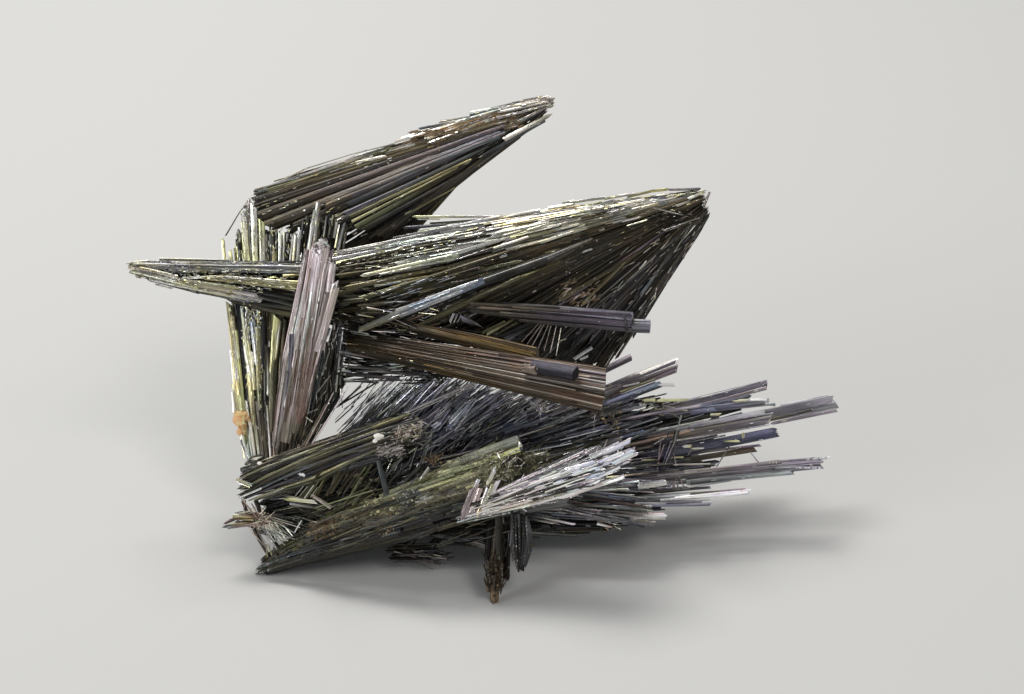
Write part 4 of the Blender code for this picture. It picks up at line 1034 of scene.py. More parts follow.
flecks(S, FRONT_M, 120, {"silver": 6, "pale": 2, "gold": 1}, (0.02, 0.30), (0.25, 0.66), lift=0.45, length=(0.3, 1.5), width=(0.1, 0.26))
flecks(S, FRONT_M, 80, {"silver": 3, "pale": 3, "gold": 2}, (0.0, 0.35), (0.6, 1.0), lift=0.35, length=(0.3, 1.2), width=(0.1, 0.22))
flecks(S, FRONT_M, 60, {"gold": 4, "silver": 3, "pale": 2}, (0.0, 0.2), (0.02, 0.3), lift=0.2, length=(0.3, 1.3), width=(0.1, 0.22))
flecks(S, FRONT_M, 90, {"pale": 2, "bronze": 2, "copper": 2, "steel": 2, "gold": 1}, (0.35, 1.0), (0.1, 0.95), lift=0.15, width=(0.1, 0.2))
grain_patch(S, FRONT_M, (492, 238, 512, 250), 16, (0.10, 0.2), {"silver": 2, "olive": 1}, crust=0.5, lift=0.5)
grain_patch(S, FRONT_M, (352, 304, 366, 312), 7, (0.14, 0.26), {"rust": 1}, lift=0.3)
grain_patch(S, FRONT_M, (560, 212, 700, 290), 34, (0.07, 0.15), {"silver": 3, "pink": 2, "pale": 2}, crust=0.4, lift=0.25)
grain_patch(S, 3.6, (690, 210, 711, 228), 26, (0.15, 0.4), {"umber": 3, "brown": 2, "mauve": 1}, crust=0.8, lift=0.0)
tuft(S, 690, 222, 3.6, 22, (150, 240), (1.5, 5.0), {"umber": 3, "brown": 2, "pale": 1}, spread=7)
top = Top((330, 250, 400, 315), (-3.0, 6.0))
for _ in range(110):
    x0, y0 = S.rng.uniform(350, 398), S.rng.uniform(258, 312)
    a = math.radians(180 + float(np.interp(y0, [258, 285, 312], [14, 10, 2])) + S.rng.normal(0, 6))
    l = S.rng.uniform(14, 42)
    x1, y1 = max(x0 + l * math.cos(a), 334), y0 - l * math.sin(a)
    trace(S, top, [(x0, y0, x1, y1, (S.rng.uniform(1.6, 3.6), 1.0), (pick(S.rng, {"umber": 4, "brown": 3, "olive": 2}, 0), pick(S.rng, {"umber": 4, "black": 3}, 0)), S.rng.uniform(-0.15, 0.1), "point")])
top = Top((328, 236, 640, 332), (-3.0, 8.0), clear=True)
trace(S, top, [(490, 235.5, 338, 265.5, (3, 4.5), ("umber", "brown"), -0.15), (452, 249, 340, 268, (2, 3), ("brown", "umber"), -0.15),
               (452, 257.5, 364, 275.5, (7.5, 4), ("pale", "pale"), -0.1, "point"), (448, 256.5, 398, 266.5, (2.4, 2.4), ("silver", "pale"), 0.1), (440, 261.5, 380, 274.5, (2.4, 2.4), ("silver", "silver"), 0.1),
               (500, 240, 446, 256.5, (4, 5), ("silver", "silver"), -0.1), (444, 268, 348, 288, (5, 6), ("bronze", "olive"), -0.1, "point"), (430, 273, 352, 284, (3, 4), ("umber", "brown"), -0.1, "point"),
               (468, 266.5, 360, 299, (5, 6), ("moss", "olive"), -0.1, "point"), (480, 268, 372, 300.5, (4, 5), ("umber", "brown"), -0.15, "point"), (515, 250, 402, 287, (5, 6), ("brown", "umber"), -0.15, "point"),
               (500, 258, 396, 292, (4, 5), ("umber", "brown"), -0.15, "point"), (470, 272, 388, 299, (3, 4), ("umber", "umber"), -0.15, "point"), (372, 271, 340, 276, (4, 5), ("umber", "brown"), -0.1),
               (368, 279, 340, 283.5, (4, 5), ("brown", "umber"), -0.1), (366, 290, 337, 294, (5, 6), ("umber", "brown"), -0.1), (364, 300, 338, 302, (5, 6), ("brown", "umber"), -0.1),
               (362, 309, 338, 311, (5, 6), ("umber", "brown"), -0.1), (360, 318, 340, 319.5, (4, 5), ("umber", "umber"), -0.1), (390, 303, 360, 307, (4, 5), ("umber", "brown"), -0.1),
               (386, 312, 356, 314, (4, 5), ("brown", "umber"), -0.1), (389, 284.3, 374.8, 285.2, (1.6, 1.8), ("silver", "gold"), 0.15), (389.2, 311.4, 366.8, 307.4, (1.3, 1.5), ("silver", "silver"), 0.2),
               (372.4, 317, 358, 314.6, (1.3, 1.5), ("gold", "silver"), 0.2), (378, 301.8, 354, 308.2, (0.9, 0.9), ("rust", "rust"), 0.2), (418, 301.8, 378, 301.8, (0.9, 0.9), ("rust", "rust"), 0.2)])
for _ in range(9):
    f = S.rng.uniform(0.35, 1.0)
    x1, y1 = 470 + 30 * f, 222 + 22 * f
    g = S.rng.uniform(0.25, 0.75)
    h = min(g + S.rng.uniform(0.08, 0.3), 1.0)
    trace(S, top, [(704 + (x1 - 704) * g, 192 + (y1 - 192) * g, 704 + (x1 - 704) * h, 192 + (y1 - 192) * h, (1.0, S.rng.uniform(1.2, 2.2)), (pick(S.rng, {"umber": 3, "brown": 2, "slate": 2}, 0),) * 2, -0.1, "point")])
sparkle(S, (334, 238, 460, 262), 220, {"gold": 3, "silver": 4, "pale": 3}, (-3, 8), (0.15, 0.6), (0.07, 0.16))
# painted glints: matte gold and silver flecks
sparkle(S, (334, 240, 400, 262), 90, {"gold": 4, "silver": 2}, (-3, 8), (0.12, 0.4), (0.06, 0.12), crust=0.95)
sparkle(S, (366, 262, 470, 282), 110, {"gold": 3, "silver": 4, "pale": 2}, (-3, 6), (0.12, 0.5), (0.06, 0.14))
sparkle(S, (560, 188, 705, 215), 120, {"gold": 4, "silver": 3, "pale": 2}, (-3, 8), (0.15, 0.6), (0.06, 0.15))
sparkle(S, (470, 205, 690, 300), 200, {"pale": 3, "silver": 2, "bronze": 2, "copper": 1}, (-3, 8), (0.1, 0.35), (0.05, 0.12))
show(S, PEWTER, "steel_stibnite")

SKIRT_ROOT = [(705, 195, 4.8), (708, 205, 5.4), (709, 216, 6.2)]
SKIRT_ENDS = [(440, 334, 4.4), (482, 345, 5.4), (526, 352, 7.0), (566, 358, 8.8), (594, 362, 9.8), (619, 352, 10.6)]
FRONT_K = Front(SKIRT_ROOT, SKIRT_ENDS, (1.1, 3.4))
S = Sheaf("middle_fan_skirt", 23, 1.3)
fan(S, SKIRT_ROOT, SKIRT_ENDS, (1.1, 3.3), 420, (0.16, 0.5), [(0.0, {"brown": 3, "umber": 5, "bronze": 2}),
    (0.5, {"umber": 4, "black": 4, "violet": 1, "slate": 1}), (1.0, {"black": 5, "slate": 2, "umber": 2})], ribs=6,
    start=(0.0, 0.55), stop=(0.66, 1.02), sides=6, tips=(0.3, 0.2, 0.5))
trace(S, FRONT_K, [
    (655, 256, 617, 291, (1.5, 1.5), ("steel", "pale"), 0.3), (650, 264, 600, 302, (1.5, 1.5), ("slate", "steel"), 0.3),
    (622, 265, 582, 304, (3, 3.5), ("olive", "olive"), 0.3), (570, 279, 551, 303, (2, 2), ("olive", "umber"), 0.3),
    (640, 262, 598, 298, (2, 2), ("violet", "slate"), 0.3), (635, 255, 560, 300, (4, 5), ("umber", "brown"), 0.2),
    (627, 334, 615, 355, (2, 2), ("umber", "umber"), 0.0), (592, 347.5, 574, 359, (3.5, 4), ("silver", "silver"), 1.2),
    (588, 356, 580, 359.5, (2.5, 2.5), ("silver", "silver"), 1.2), (646, 300, 637, 318, (2, 2), ("umber", "umber"), 0.0),
    (682, 238, 633, 308, (2.5, 3), ("black", "umber"), 0.1), (675, 245, 640, 296, (2.5, 3), ("umber", "slate"), 0.2)], flat=0.5)
for k in range(30):
    f = (k + S.rng.uniform()) / 30
    x1, y1 = along([(452, 337), (500, 350), (560, 360), (598, 362)], f)[0]
    x0, y0 = 690 - 30 * (1 - f), 214 + 26 * f
    g = 0.45 + 0.25 * S.rng.uniform()
    trace(S, FRONT_K, [(x0 + (x1 - x0) * g, y0 + (y1 - y0) * g, x1, y1, (5, 8), ("umber", "black"), -1.4 - S.rng.uniform(0, 0.8), "broken")])
for k in range(46):
    f = (k + S.rng.uniform()) / 46
    x1, y1 = 520 + 82 * f + S.rng.normal(0, 1.5), 362 + 9 * f + S.rng.normal(0, 1.0)
    x0, y0 = 640 + 48 * f, 262 - 30 * f
    g = 0.15 + 0.35 * S.rng.uniform()
    trace(S, 6.6 + 3.4 * f, [(x0 + (x1 - x0) * g, y0 + (y1 - y0) * g, x1, y1, (2.0, S.rng.uniform(2.5, 4.5)), (pick(S.rng, {"umber": 4, "brown": 2, "slate": 1}, 0), pick(S.rng, {"umber": 4, "black": 3}, 0)), 0.0, "flat")])
flecks(S, FRONT_K, 110, {"steel": 3, "pale": 3, "copper": 1, "violet": 2, "silver": 1}, (0.1, 1.0), (0.1, 0.9), lift=0.2, width=(0.08, 0.18))
grain_patch(S, FRONT_K, (564, 283, 578, 306), 12, (0.08, 0.18), {"silver": 2, "pink": 3}, crust=0.4, lift=0.5)
grain_patch(S, FRONT_K, (575, 282, 595, 297), 14, (0.08, 0.2), {"copper": 2, "pink": 1}, crust=0.6, lift=0.3)
grain_patch(S, FRONT_K, (568, 272, 582, 281), 5, (0.1, 0.2), {"silver": 2, "blue": 1}, crust=0.0, lift=0.4)
for x0, y0, x1, y1 in ((521.6, 342, 540, 322), (532, 346, 544, 324), (538, 349, 548, 325), (544, 351, 551, 326), (550, 353, 556, 326.5),
                       (527, 344, 541, 325), (556, 356, 561, 328)):
    trace(S, 2.6, [(x0, y0, x1, y1, 1.1, ("pink", "pale"))])
trace(S, 3.0, [(511, 320.4, 487, 333.7, (3, 4), ("olive", "gold")), (505, 321, 482, 333, (3, 4), ("gold", "olive")),
               (517, 322, 493, 336, (3, 4), ("olive", "umber")), (536, 324, 505, 339, (4, 5), ("slate", "steel")),
               (530, 323, 501, 337, (3, 4), ("slate", "umber")), (545, 326, 512, 341, (3, 4), ("umber", "slate"))])
# painted highlight: two matte white facets behind the brown prism's top edge
top = Top((560, 330, 620, 362), (-2.0, 14.0))
trace(S, top, [(592, 347.5, 574, 359, (3, 3.5), ("silver", "silver"), 0.2, "flat", 0.95), (588, 356, 580, 359.5, (2.5, 2.5), ("silver", "silver"), 0.2, "flat", 0.95)])
scales(S, Top((556, 270, 604, 310), (0.0, 12.0)), (562, 278, 598, 304), 40, {"copper": 2, "pink": 1, "rust": 1, "umber": 2}, 35, (0.3, 1.2), (0.1, 0.3), spread=20)
sparkle(S, (470, 215, 700, 350), 200, {"pale": 3, "steel": 3, "copper": 1, "gold": 1, "silver": 1}, (0, 12), (0.12, 0.5), (0.05, 0.11))
show(S, BRONZE, "bronze_stibnite")

S = Sheaf("lance", 24, 1.3)
LANCE = [(592, 239, 2.0), (547, 259, 0.9), (480, 283, 0.4), (400, 314, 0.1), (358, 330, -0.1)]
crystal(S, LANCE, (.5, 1.05, 1.25, 1.2, .3), (.5, .9, 1.05, .9, .3), "umber", 26, end="flat", far="slate")
trace(S, 0.35, [(484, 280.5, 393, 315, (7, 9.5), ("blue", "pale"), 0.55, "slant"), (478, 281, 425, 300, (3, 4), ("pale", "silver"), 0.8),
                (470, 286, 400, 313, (3, 3), ("steel", "pale"), 0.8), (462, 291, 392, 318, (2.5, 3), ("silver", "steel"), 0.85),
                (455, 290, 410, 307, (2, 2), ("blue", "blue"), 0.9)], flat=0.3)
trace(S, 0.2, [(414, 307.5, 359, 330, (8.5, 6), ("steel", "olive"), 0.5, "slant"), (400, 316, 364, 330, (3, 3), ("bronze", "olive"), 0.75)], flat=0.3)
sparkle(S, (380, 278, 486, 322), 220, {"silver": 3, "pale": 4, "blue": 2, "steel": 2}, (-3, 2), (0.3, 1.4), (0.05, 0.11), tilt=0.3)
show(S, STEEL, "steel_stibnite", "lance_crystal")
S = Sheaf("olive_lance_crystal", 25)
crystal(S, [(566, 258, 2.6), (488, 292, 0.9), (450, 311, 0.4), (418, 327, 0.0)], (.5, 1.0, 1.1, .5), (.6, 1.0, 1, .4), ("olive"), 20, end="flat", far="bronze")
trace(S, 0.8, [(520, 277, 421, 325, (3, 5), ("bronze", "olive"), 0.5), (500, 288, 418, 326, (3, 4), ("umber", "olive"), 0.7)], flat=0.35)
show(S, OLIVE, "olive_stibnite", "olive_lance")

# the tangle where the spear, the fan and the prisms cross
S = Sheaf("crossing_needles", 27)
fan(S, [(300, 296, 3.2), (302, 314, 3.4)], [(400, 290, 3.6), (432, 318, 3.0), (440, 334, 2.4), (400, 345, 2.6)], (3.0, 3.4), 120, (0.18, 0.6),
    {"umber": 4, "black": 3, "brown": 3, "slate": 1}, ribs=3, start=(0.0, 0.4), stop=(0.6, 1.0), core_tone="black", sides=6)
hairs(S, 90, (400, 318, 470, 345), (-20, 30), (2.0, 7.0), (0.2, 0.5), {"umber": 4, "black": 4, "brown": 1}, (3.4, 5.6))
hairs(S, 120, (336, 286, 410, 345), (-25, 25), (1.0, 6.0), (0.12, 0.34), {"umber": 4, "brown": 2, "black": 3, "slate": 1, "copper": 1}, (0.8, 2.6))
hairs(S, 40, (340, 300, 420, 345), (-30, 20), (1.0, 4.0), (0.08, 0.16), {"pink": 2, "pale": 2, "gold": 1, "steel": 1}, (-0.2, 1.2))
hairs(S, 34, (344, 357, 424, 384), (-8, 10), (1.5, 6.0), (0.12, 0.35), {"umber": 3, "black": 4, "slate": 3}, (1.0, 4.0))
for _ in range(26):
    x0, y0, x1, y1 = S.rng.uniform(336, 346), S.rng.uniform(352, 380), S.rng.uniform(412, 446), S.rng.uniform(362, 377)
    w = S.rng.uniform(0.14, 0.34)
    S.add(at([(x0, y0, 4.8), ((x0 + x1) / 2, (y0 + y1) / 2, 2.4 + S.rng.normal(0, 0.3)), (x1, y1, -0.4)]), [w * 0.3, w * 0.5, w * 0.4], w * 0.4, unit(S.rng.normal(size=3)),
          sides=6, tones=S.tone_of(pick(S.rng, {"umber": 3, "black": 4, "slate": 3}, 0), 0.3), groove=0.02)
trace(S, 1.6, [(340, 352, 396, 362, (5, 3), ("slate", "umber")), (342, 366, 430, 373, (3, 3), ("slate", "slate")), (358, 371, 430, 373.5, 1.5, ("steel", "pale")),
               (346, 381.6, 415, 379.6, 2, ("steel", "slate")), (341, 374, 400, 378, (4, 3), ("black", "slate")), (342, 370, 352, 372, 3, ("silver", "blue")),
               (344, 379, 356, 381, 2.5, ("silver", "steel")), (404, 368, 418, 366, 3, ("gold", "olive"))])
trace(S, 0.2, [(454, 313.5, 450, 322, 2.4, ("silver", "silver")), (458, 314, 454, 322.5, 1.2, ("blue", "silver")), (474, 323.5, 461, 318, (6, 7), ("black", "indigo")),
               (461, 316, 457, 323, 1.2, ("silver", "blue"))])
show(S, BRONZE, "bronze_stibnite")
S = Sheaf("thin_bars", 28)
trace(S, 6.0, [(417, 217, 500, 217, (3, 2.4), ("gold", "silver")), (418, 219.5, 440, 219.5, 1.5, ("silver", "gold")),
               (406, 228, 447, 224.5, (4.5, 3), ("slate", "steel")), (425, 226, 470, 221, (2.5, 2), ("olive", "slate")), (430, 223.5, 480, 220, (2, 2), ("umber", "olive"))])
show(S, STEEL, "steel_stibnite")

# ---------------------------------------------------------------- C, the mauve blade
S = Sheaf("front_blade_fibres", 31, 1.0)
BLADE = [([(275, 446, 2.3), (286, 371, 0.6), (309, 250, -2.0)], (.7, 1.4, .9), (.9, 2, 1.2)),
         ([(278, 458, 2.6), (293, 371, 0.4), (317, 242, -2.5)], (.8, 1.7, .9), (1, 2.4, 1.4)),
         ([(281, 461, 2.6), (302, 371, 0.2), (324, 238, -2.8)], (.8, 1.7, .9), (1, 2.6, 1.4)),
         ([(285, 458, 2.7), (309, 371, 0.4), (330, 250, -2.4)], (.8, 1.6, 1.0), (1, 2.4, 1.3)),
         ([(291, 446, 2.5), (316, 350, 0.4), (333, 289, -1.1)], (.7, 1.3, 1.1), (.8, 1.9, 1.4))]
for path, w, t in BLADE:
    crystal(S, path, [1.0 * x for x in w], [0.9 * x for x in t], "mauve", 26, end="broken", start="flat", groove=0.08)
for _ in range(420):
    k = S.rng.integers(0, 5)
    path, w, t = BLADE[k]
    pts = at(path)
    d = unit(pts[-1] - pts[0])
    wv = unit(np.cross(d, SIGHT_DIR))
    nv = unit(np.cross(wv, d))
    a = S.rng.uniform(-math.pi, math.pi)
    s0, s1 = S.rng.uniform(0.0, 0.55), S.rng.uniform(0.75, 1.0)
    ts = np.linspace(s0, s1, 4)
    c = along(pts, ts)
    ww = np.interp(ts, [0, 0.5, 1], w) / 2
    tt = np.interp(ts, [0, 0.5, 1], t) / 2
    c = c + wv * (ww * math.cos(a))[:, None] * 1.0 + nv * (tt * math.sin(a))[:, None] * 0.95
    wid = 0.10 + 0.24 * S.rng.uniform() ** 1.6
    S.add(c, [wid * .25, wid * .5, wid * .5, wid * .42], wid * 0.35, wv * -math.sin(a) + nv * math.cos(a), sides=7,
          tones=S.tone_of(pick(S.rng, {"mauve": 6, "pink": 4, "silver": 1, "copper": 2, "pale": 1, "bronze": 1}, 0)), crust=[0, 0, 0.1, 0.45],
          end="slant", slant=S.rng.uniform(-1, 1))


class Blade:
    """Near side of the mauve blade."""

    def depth(self, x, y):
        f = (461 - y) / (461 - 238)
        return float(np.interp(f, [0, 0.4, 1], [2.2, -0.75, -3.45]))


FRONT_C = Blade()
trace(S, FRONT_C, [
    (303, 330, 322, 246, (3, 3), ("pink", "silver")), (298, 360, 318, 262, (3, 4), ("copper", "copper")), (296, 350, 310, 262, (3, 4), ("copper", "bronze")),
    (309, 366, 328, 262, (2.5, 3), ("silver", "pink")), (304, 372, 324, 268, (2, 2.5), ("silver", "silver")), (300, 350, 314, 268, (2.5, 3), ("mauve", "copper")),
    (319, 349, 335, 283, (6, 7), ("mauve", "silver")), (316, 352, 331, 290, (3, 3), ("pink", "silver")), (322, 346, 334, 300, (3, 3), ("copper", "mauve")),
    (306, 400, 320, 330, (3, 3), ("copper", "pink")), (300, 415, 318, 345, (3, 4), ("copper", "bronze")), (296, 428, 310, 370, (3, 3), ("bronze", "copper")),
    (288, 397, 292, 334, (4, 5), ("blue", "violet")), (285, 405, 290, 352, (2.5, 3), ("silver", "violet")), (280, 430, 288, 372, (3, 4), ("mauve", "violet")),
    (284, 440, 297, 350, (3, 4), ("bronze", "pink")), (291, 432, 305, 352, (2.5, 3), ("silver", "mauve")), (286, 450, 294, 392, (3, 3), ("brown", "mauve")),
    (290, 450, 302, 400, (2.5, 3), ("copper", "mauve")), (278, 455, 284, 410, (3, 3), ("brown", "mauve")), (281, 459, 289, 412, (2.5, 2.5), ("brown", "mauve")),
    (312, 300, 326, 250, (3, 4), ("pink", "silver")), (318, 300, 330, 258, (3, 3), ("silver", "pink")), (308, 310, 316, 270, (2, 2), ("silver", "silver")),
    (296, 392, 306, 340, (1.5, 2), ("silver", "silver")), (301, 385, 310, 345, (1.3, 1.6), ("silver", "pink")), (306, 356, 312, 330, (1.5, 1.5), ("silver", "silver"))],
    lift=0.1, flat=0.5)
trace(S, FRONT_C, [(285, 442, 317, 247, (13, 13), ("bronze", "pink"), 0.1, "broken"), (293, 432, 325, 245, (12, 12), ("bronze", "pink"), 0.12, "broken"),
                   (300, 424, 330, 292, (11, 9), ("copper", "mauve"), 0.05, "broken"), (322, 350, 333, 262, (7, 8), ("mauve", "pink"), 0.1, "broken"),
                   (318, 352, 336, 288, (8, 8), ("mauve", "pink"), 0.3, "broken")], flat=0.3)
for _ in range(260):
    v = S.rng.uniform()
    f0 = S.rng.uniform(0, 0.8)
    f1 = min(1.0, f0 + S.rng.uniform(0.12, 0.6))
    xb, yb = 279 + 20 * v, 450 - 6 * v
    xt, yt = (311 + 20 * v, 249 - 8 * math.sin(v * math.pi)) if v < 0.85 else (335, 285)
    trace(S, FRONT_C, [(xb + (xt - xb) * f0, yb + (yt - yb) * f0, xb + (xt - xb) * f1, yb + (yt - yb) * f1, S.rng.uniform(0.8, 2.2),
                        (pick(S.rng, {"mauve": 4, "pink": 3, "copper": 1, "bronze": 0.6} if f0 > 0.4 else {"copper": 4, "bronze": 3, "mauve": 2, "brown": 1}, 0),
                         pick(S.rng, {"mauve": 3, "pink": 4, "silver": 1.2, "copper": 1} if f1 > 0.6 else {"copper": 3, "mauve": 3, "bronze": 2, "pink": 1}, 0)), S.rng.uniform(0.25, 0.5), "flat")])
grain_patch(S, FRONT_C, (313, 238, 332, 250), 60, (0.2, 0.45), {"pink": 3, "silver": 2, "mauve": 2}, lift=0.2)
grain_patch(S, FRONT_C, (318, 238, 331, 252), 30, (0.12, 0.3), {"pink": 3, "silver": 3, "mauve": 1}, crust=0.6, lift=0.0)
grain_patch(S, FRONT_C, (310, 246, 332, 268), 26, (0.08, 0.18), {"pink": 3, "silver": 2}, crust=0.6, lift=0.15)
grain_patch(S, FRONT_C, (328, 276, 336, 292), 10, (0.1, 0.2), {"pink": 2, "mauve": 2}, crust=0.6, lift=0.1)
show(S, MAUVE, "mauve_stibnite", "front_blade")

# ---------------------------------------------------------------- D, the upright spray
D_ROOT = [(252, 462, 4.6), (268, 470, 4.2), (284, 468, 4.4), (298, 460, 5.0)]
D_ENDS = [(236, 247, 7.0), (243, 210, 7.6), (253, 200, 8.0), (266, 223, 7.6), (284, 232, 7.2), (300, 228, 7.2), (318, 202, 7.6),
          (331, 216, 8.2), (341, 222, 8.6)]
FRONT_D = Front(D_ROOT, D_ENDS, (1.8, 5.0))
S = Sheaf("upright_needles", 41, 1.3)
fan(S, D_ROOT, D_ENDS, (1.8, 4.9), 360, (0.2, 0.7), [(0.0, {"olive": 3, "gold": 2, "pale": 2, "umber": 2}),
    (0.3, {"olive": 2, "umber": 4, "pale": 1, "slate": 1}), (0.6, {"umber": 4, "black": 3, "olive": 1}),
    (0.85, {"umber": 3, "black": 3, "slate": 2}), (1.0, {"umber": 3, "slate": 2, "black": 2})], ribs=8, start=(0.0, 0.5), stop=(0.8, 1.0), sides=7)
trace(S, FRONT_D, [
    (249, 268, 245, 212, (7, 8), ("gold", "pink"), 0.5), (256, 268, 254, 206, (6, 7), ("gold", "silver"), 0.6), (263, 268, 262, 221, (6, 7), ("silver", "gold"), 0.6), (246, 262, 243, 222, (3, 4), ("gold", "gold"), 0.7),
    (247, 240, 250, 200, (4, 4), ("pink", "pink"), 0.3), (251, 222, 241, 214, (1.5, 1.5), ("pink", "silver"), 0.4),
    (273, 268, 271, 234, (4, 5), ("umber", "slate"), 0.2), (274.5, 268, 274, 247, (3, 3), ("gold", "bronze"), 0.4),
    (280, 268, 280.6, 233, (3, 3.5), ("silver", "silver"), 0.3), (283.4, 268, 284.4, 233, (3, 3), ("steel", "pale"), 0.3),
    (290, 268, 294.5, 233, (3, 4), ("silver", "pale"), 0.3), (293, 268, 296, 236, (3, 3), ("gold", "silver"), 0.4), (297, 268, 300, 229, (3, 4), ("pale", "silver"), 0.3),
    (301, 268, 301, 255, 2, ("silver", "silver"), 0.3), (305.6, 268, 315.5, 210, (4, 4), ("silver", "pale"), 0.4), (310, 266, 319, 206, (4, 5), ("copper", "mauve"), 0.3),
    (313, 260, 318, 202, (4, 4), ("pink", "silver"), 0.45), (308, 262, 312, 224, (3, 3), ("gold", "silver"), 0.5),
    (324, 236, 327, 216, (2, 2), ("silver", "slate"), 0.3), (328, 238, 333, 217, (2, 2), ("slate", "pale"), 0.3), (331, 240, 330, 219, (3, 3), ("umber", "slate"), 0.2),
    (334, 238, 337, 222, (3, 3), ("silver", "silver"), 0.3), (338, 250, 345, 221, (4.5, 5), ("silver", "blue"), 0.35), (343, 250, 347, 225, (3, 4), ("violet", "umber"), 0.3),
    (335, 248, 339, 226, (2, 2), ("gold", "silver"), 0.4),
    (225.5, 264, 223.5, 241, (4, 4), ("gold", "gold"), 0.2, "point"), (232.6, 264, 230.5, 251, (4, 4), ("copper", "gold"), 0.3), (229, 266, 228, 258, (3, 3), ("silver", "gold"), 0.3)],
    lift=0.05, flat=0.5)
trace(S, 5.6, [(250, 198.5, 239, 214, (1.6, 1.4), ("pale", "steel")), (239, 214, 226, 236, (1.4, 1.8), ("steel", "slate"))])
grain_patch(S, FRONT_D, (243, 199, 256, 214), 14, (0.1, 0.25), {"pink": 3, "silver": 1}, crust=0.7, lift=0.2)
for _ in range(90):
    x1 = S.rng.uniform(246, 345)
    y1 = float(np.interp(x1, [246, 262, 300, 345], [228, 226, 234, 232])) + S.rng.uniform(0, 14)
    trace(S, 7.8, [(x1 - 0.06 * (x1 - 290) , 275, x1, y1, S.rng.uniform(2, 4), (pick(S.rng, {"umber": 4, "black": 4, "slate": 1}, 0),) * 2, S.rng.uniform(-1.6, 0.2))])
sparkle(S, (240, 200, 345, 266), 260, {"gold": 4, "silver": 3, "pale": 2}, (0, 12), (0.15, 0.6), (0.07, 0.15))
# painted glints: matte gold and pink flecks
sparkle(S, (240, 200, 270, 266), 110, {"gold": 5, "pink": 1}, (0, 12), (0.12, 0.5), (0.06, 0.13), crust=0.95)
show(S, OLIVE, "olive_stibnite", "upright_spray")

S = Sheaf("upright_low_needles", 43, 1.4)
trace(S, FRONT_D, [
    (250, 460, 240, 392, (5, 7), ("pale", "olive"), 0.1), (240, 395, 230.7, 305, (7, 7), ("gold", "olive"), 0.15), (237, 380, 233, 318, (4, 4), ("silver", "gold"), 0.4),
    (246, 440, 238, 360, (4, 5), ("olive", "gold"), 0.3), (254.8, 425, 250, 372, (5, 6), ("olive", "gold"), 0.2), (251, 380, 243, 308, (5, 5), ("gold", "slate"), 0.1),
    (252, 375, 246, 340, (4, 5), ("silver", "gold"), 0.45), (249, 372, 245, 345, (3, 3), ("silver", "silver"), 0.5), (255, 390, 252, 352, (2.5, 3), ("gold", "silver"), 0.45),
    (257, 360, 253, 322, (5, 5.5), ("silver", "blue"), 0.3), (260, 390, 258.5, 328, (5, 5.5), ("olive", "olive"), 0.2), (263, 370, 264, 316, (3.5, 4), ("black", "black"), 0.2),
    (262, 410, 259, 384, (4, 4), ("umber", "olive"), 0.2), (268.6, 394, 268.6, 352, (2.5, 3), ("pale", "umber"), 0.3), (266, 400, 266, 345, (3, 4), ("black", "umber"), 0.1),
    (272, 432, 274, 356, (6, 7), ("bronze", "olive"), 0.2), (274, 360, 278, 318, (7, 7.5), ("olive", "gold"), 0.25), (276, 358, 280, 322, (2, 2.5), ("gold", "silver"), 0.5),
    (271, 372, 274, 330, (2, 2.5), ("gold", "gold"), 0.5), (283.4, 352, 286, 320, (4, 4), ("brown", "umber"), 0.2), (281, 400, 283, 350, (4, 5), ("brown", "brown"), 0.1),
    (278, 445, 277, 395, (4, 5), ("brown", "bronze"), 0.2), (264, 455, 258, 400, (4, 4), ("umber", "umber"), 0.1), (268, 462, 262, 410, (3, 4), ("brown", "umber"), 0.2),
    (272, 464, 268, 405, (3, 3.5), ("mauve", "umber"), 0.3), (260, 458, 254, 410, (3, 3), ("pale", "olive"), 0.3), (256, 460, 250, 420, (3, 3), ("steel", "pale"), 0.35),
    (276, 464, 274, 425, (3, 4), ("copper", "brown"), 0.3), (280, 464, 281, 430, (3, 3), ("mauve", "brown"), 0.35), (284, 463, 287, 425, (2.5, 3), ("copper", "mauve"), 0.4),
    (288, 462, 293, 425, (2.5, 3), ("mauve", "mauve"), 0.4), (292, 460, 300, 425, (2.5, 3), ("brown", "slate"), 0.4), (296, 458, 305, 428, (2, 2.5), ("slate", "pale"), 0.4),
    (235.5, 412, 233.5, 392, (4, 3), ("pale", "silver"), 0.35, "point"), (250, 462, 242, 438, (4, 4), ("silver", "pale"), 0.2)], lift=0.05, flat=0.5, wide=1.22)
trace(S, FRONT_D, [(250, 462, 238, 405, (5, 6), ("pale", "olive"), 0.1), (246, 458, 235, 395, (4, 6), ("gold", "silver"), 0.2),
                   (243, 440, 233.5, 385, (4, 5), ("olive", "gold"), 0.1), (238, 410, 231.5, 350, (5, 6), ("gold", "silver"), 0.2), (248, 455, 240, 425, (4, 4), ("silver", "pale"), 0.3),
                   (236, 365, 231, 308, (4, 4), ("gold", "gold"), 0.3), (243, 400, 236, 330, (4, 5), ("silver", "gold"), 0.35), (254, 460, 246, 400, (4, 5), ("steel", "pale"), 0.2)],
      lift=0.0, flat=0.5)
flecks(S, FRONT_D, 240, {"gold": 4, "silver": 4, "pale": 2}, (0.0, 0.3), (0.3, 0.75), lift=0.4, length=(0.12, 0.4), width=(0.08, 0.18), spread=0.2)
flecks(S, FRONT_D, 150, {"gold": 4, "silver": 4, "pale": 2}, (0.0, 0.28), (0.25, 0.72), lift=0.35, length=(0.25, 0.9), width=(0.08, 0.2), spread=0.1)
flecks(S, FRONT_D, 60, {"gold": 3, "silver": 3, "pale": 2}, (0.0, 0.6), (0.8, 1.0), lift=0.3, length=(0.25, 0.9), width=(0.08, 0.2), spread=0.1)
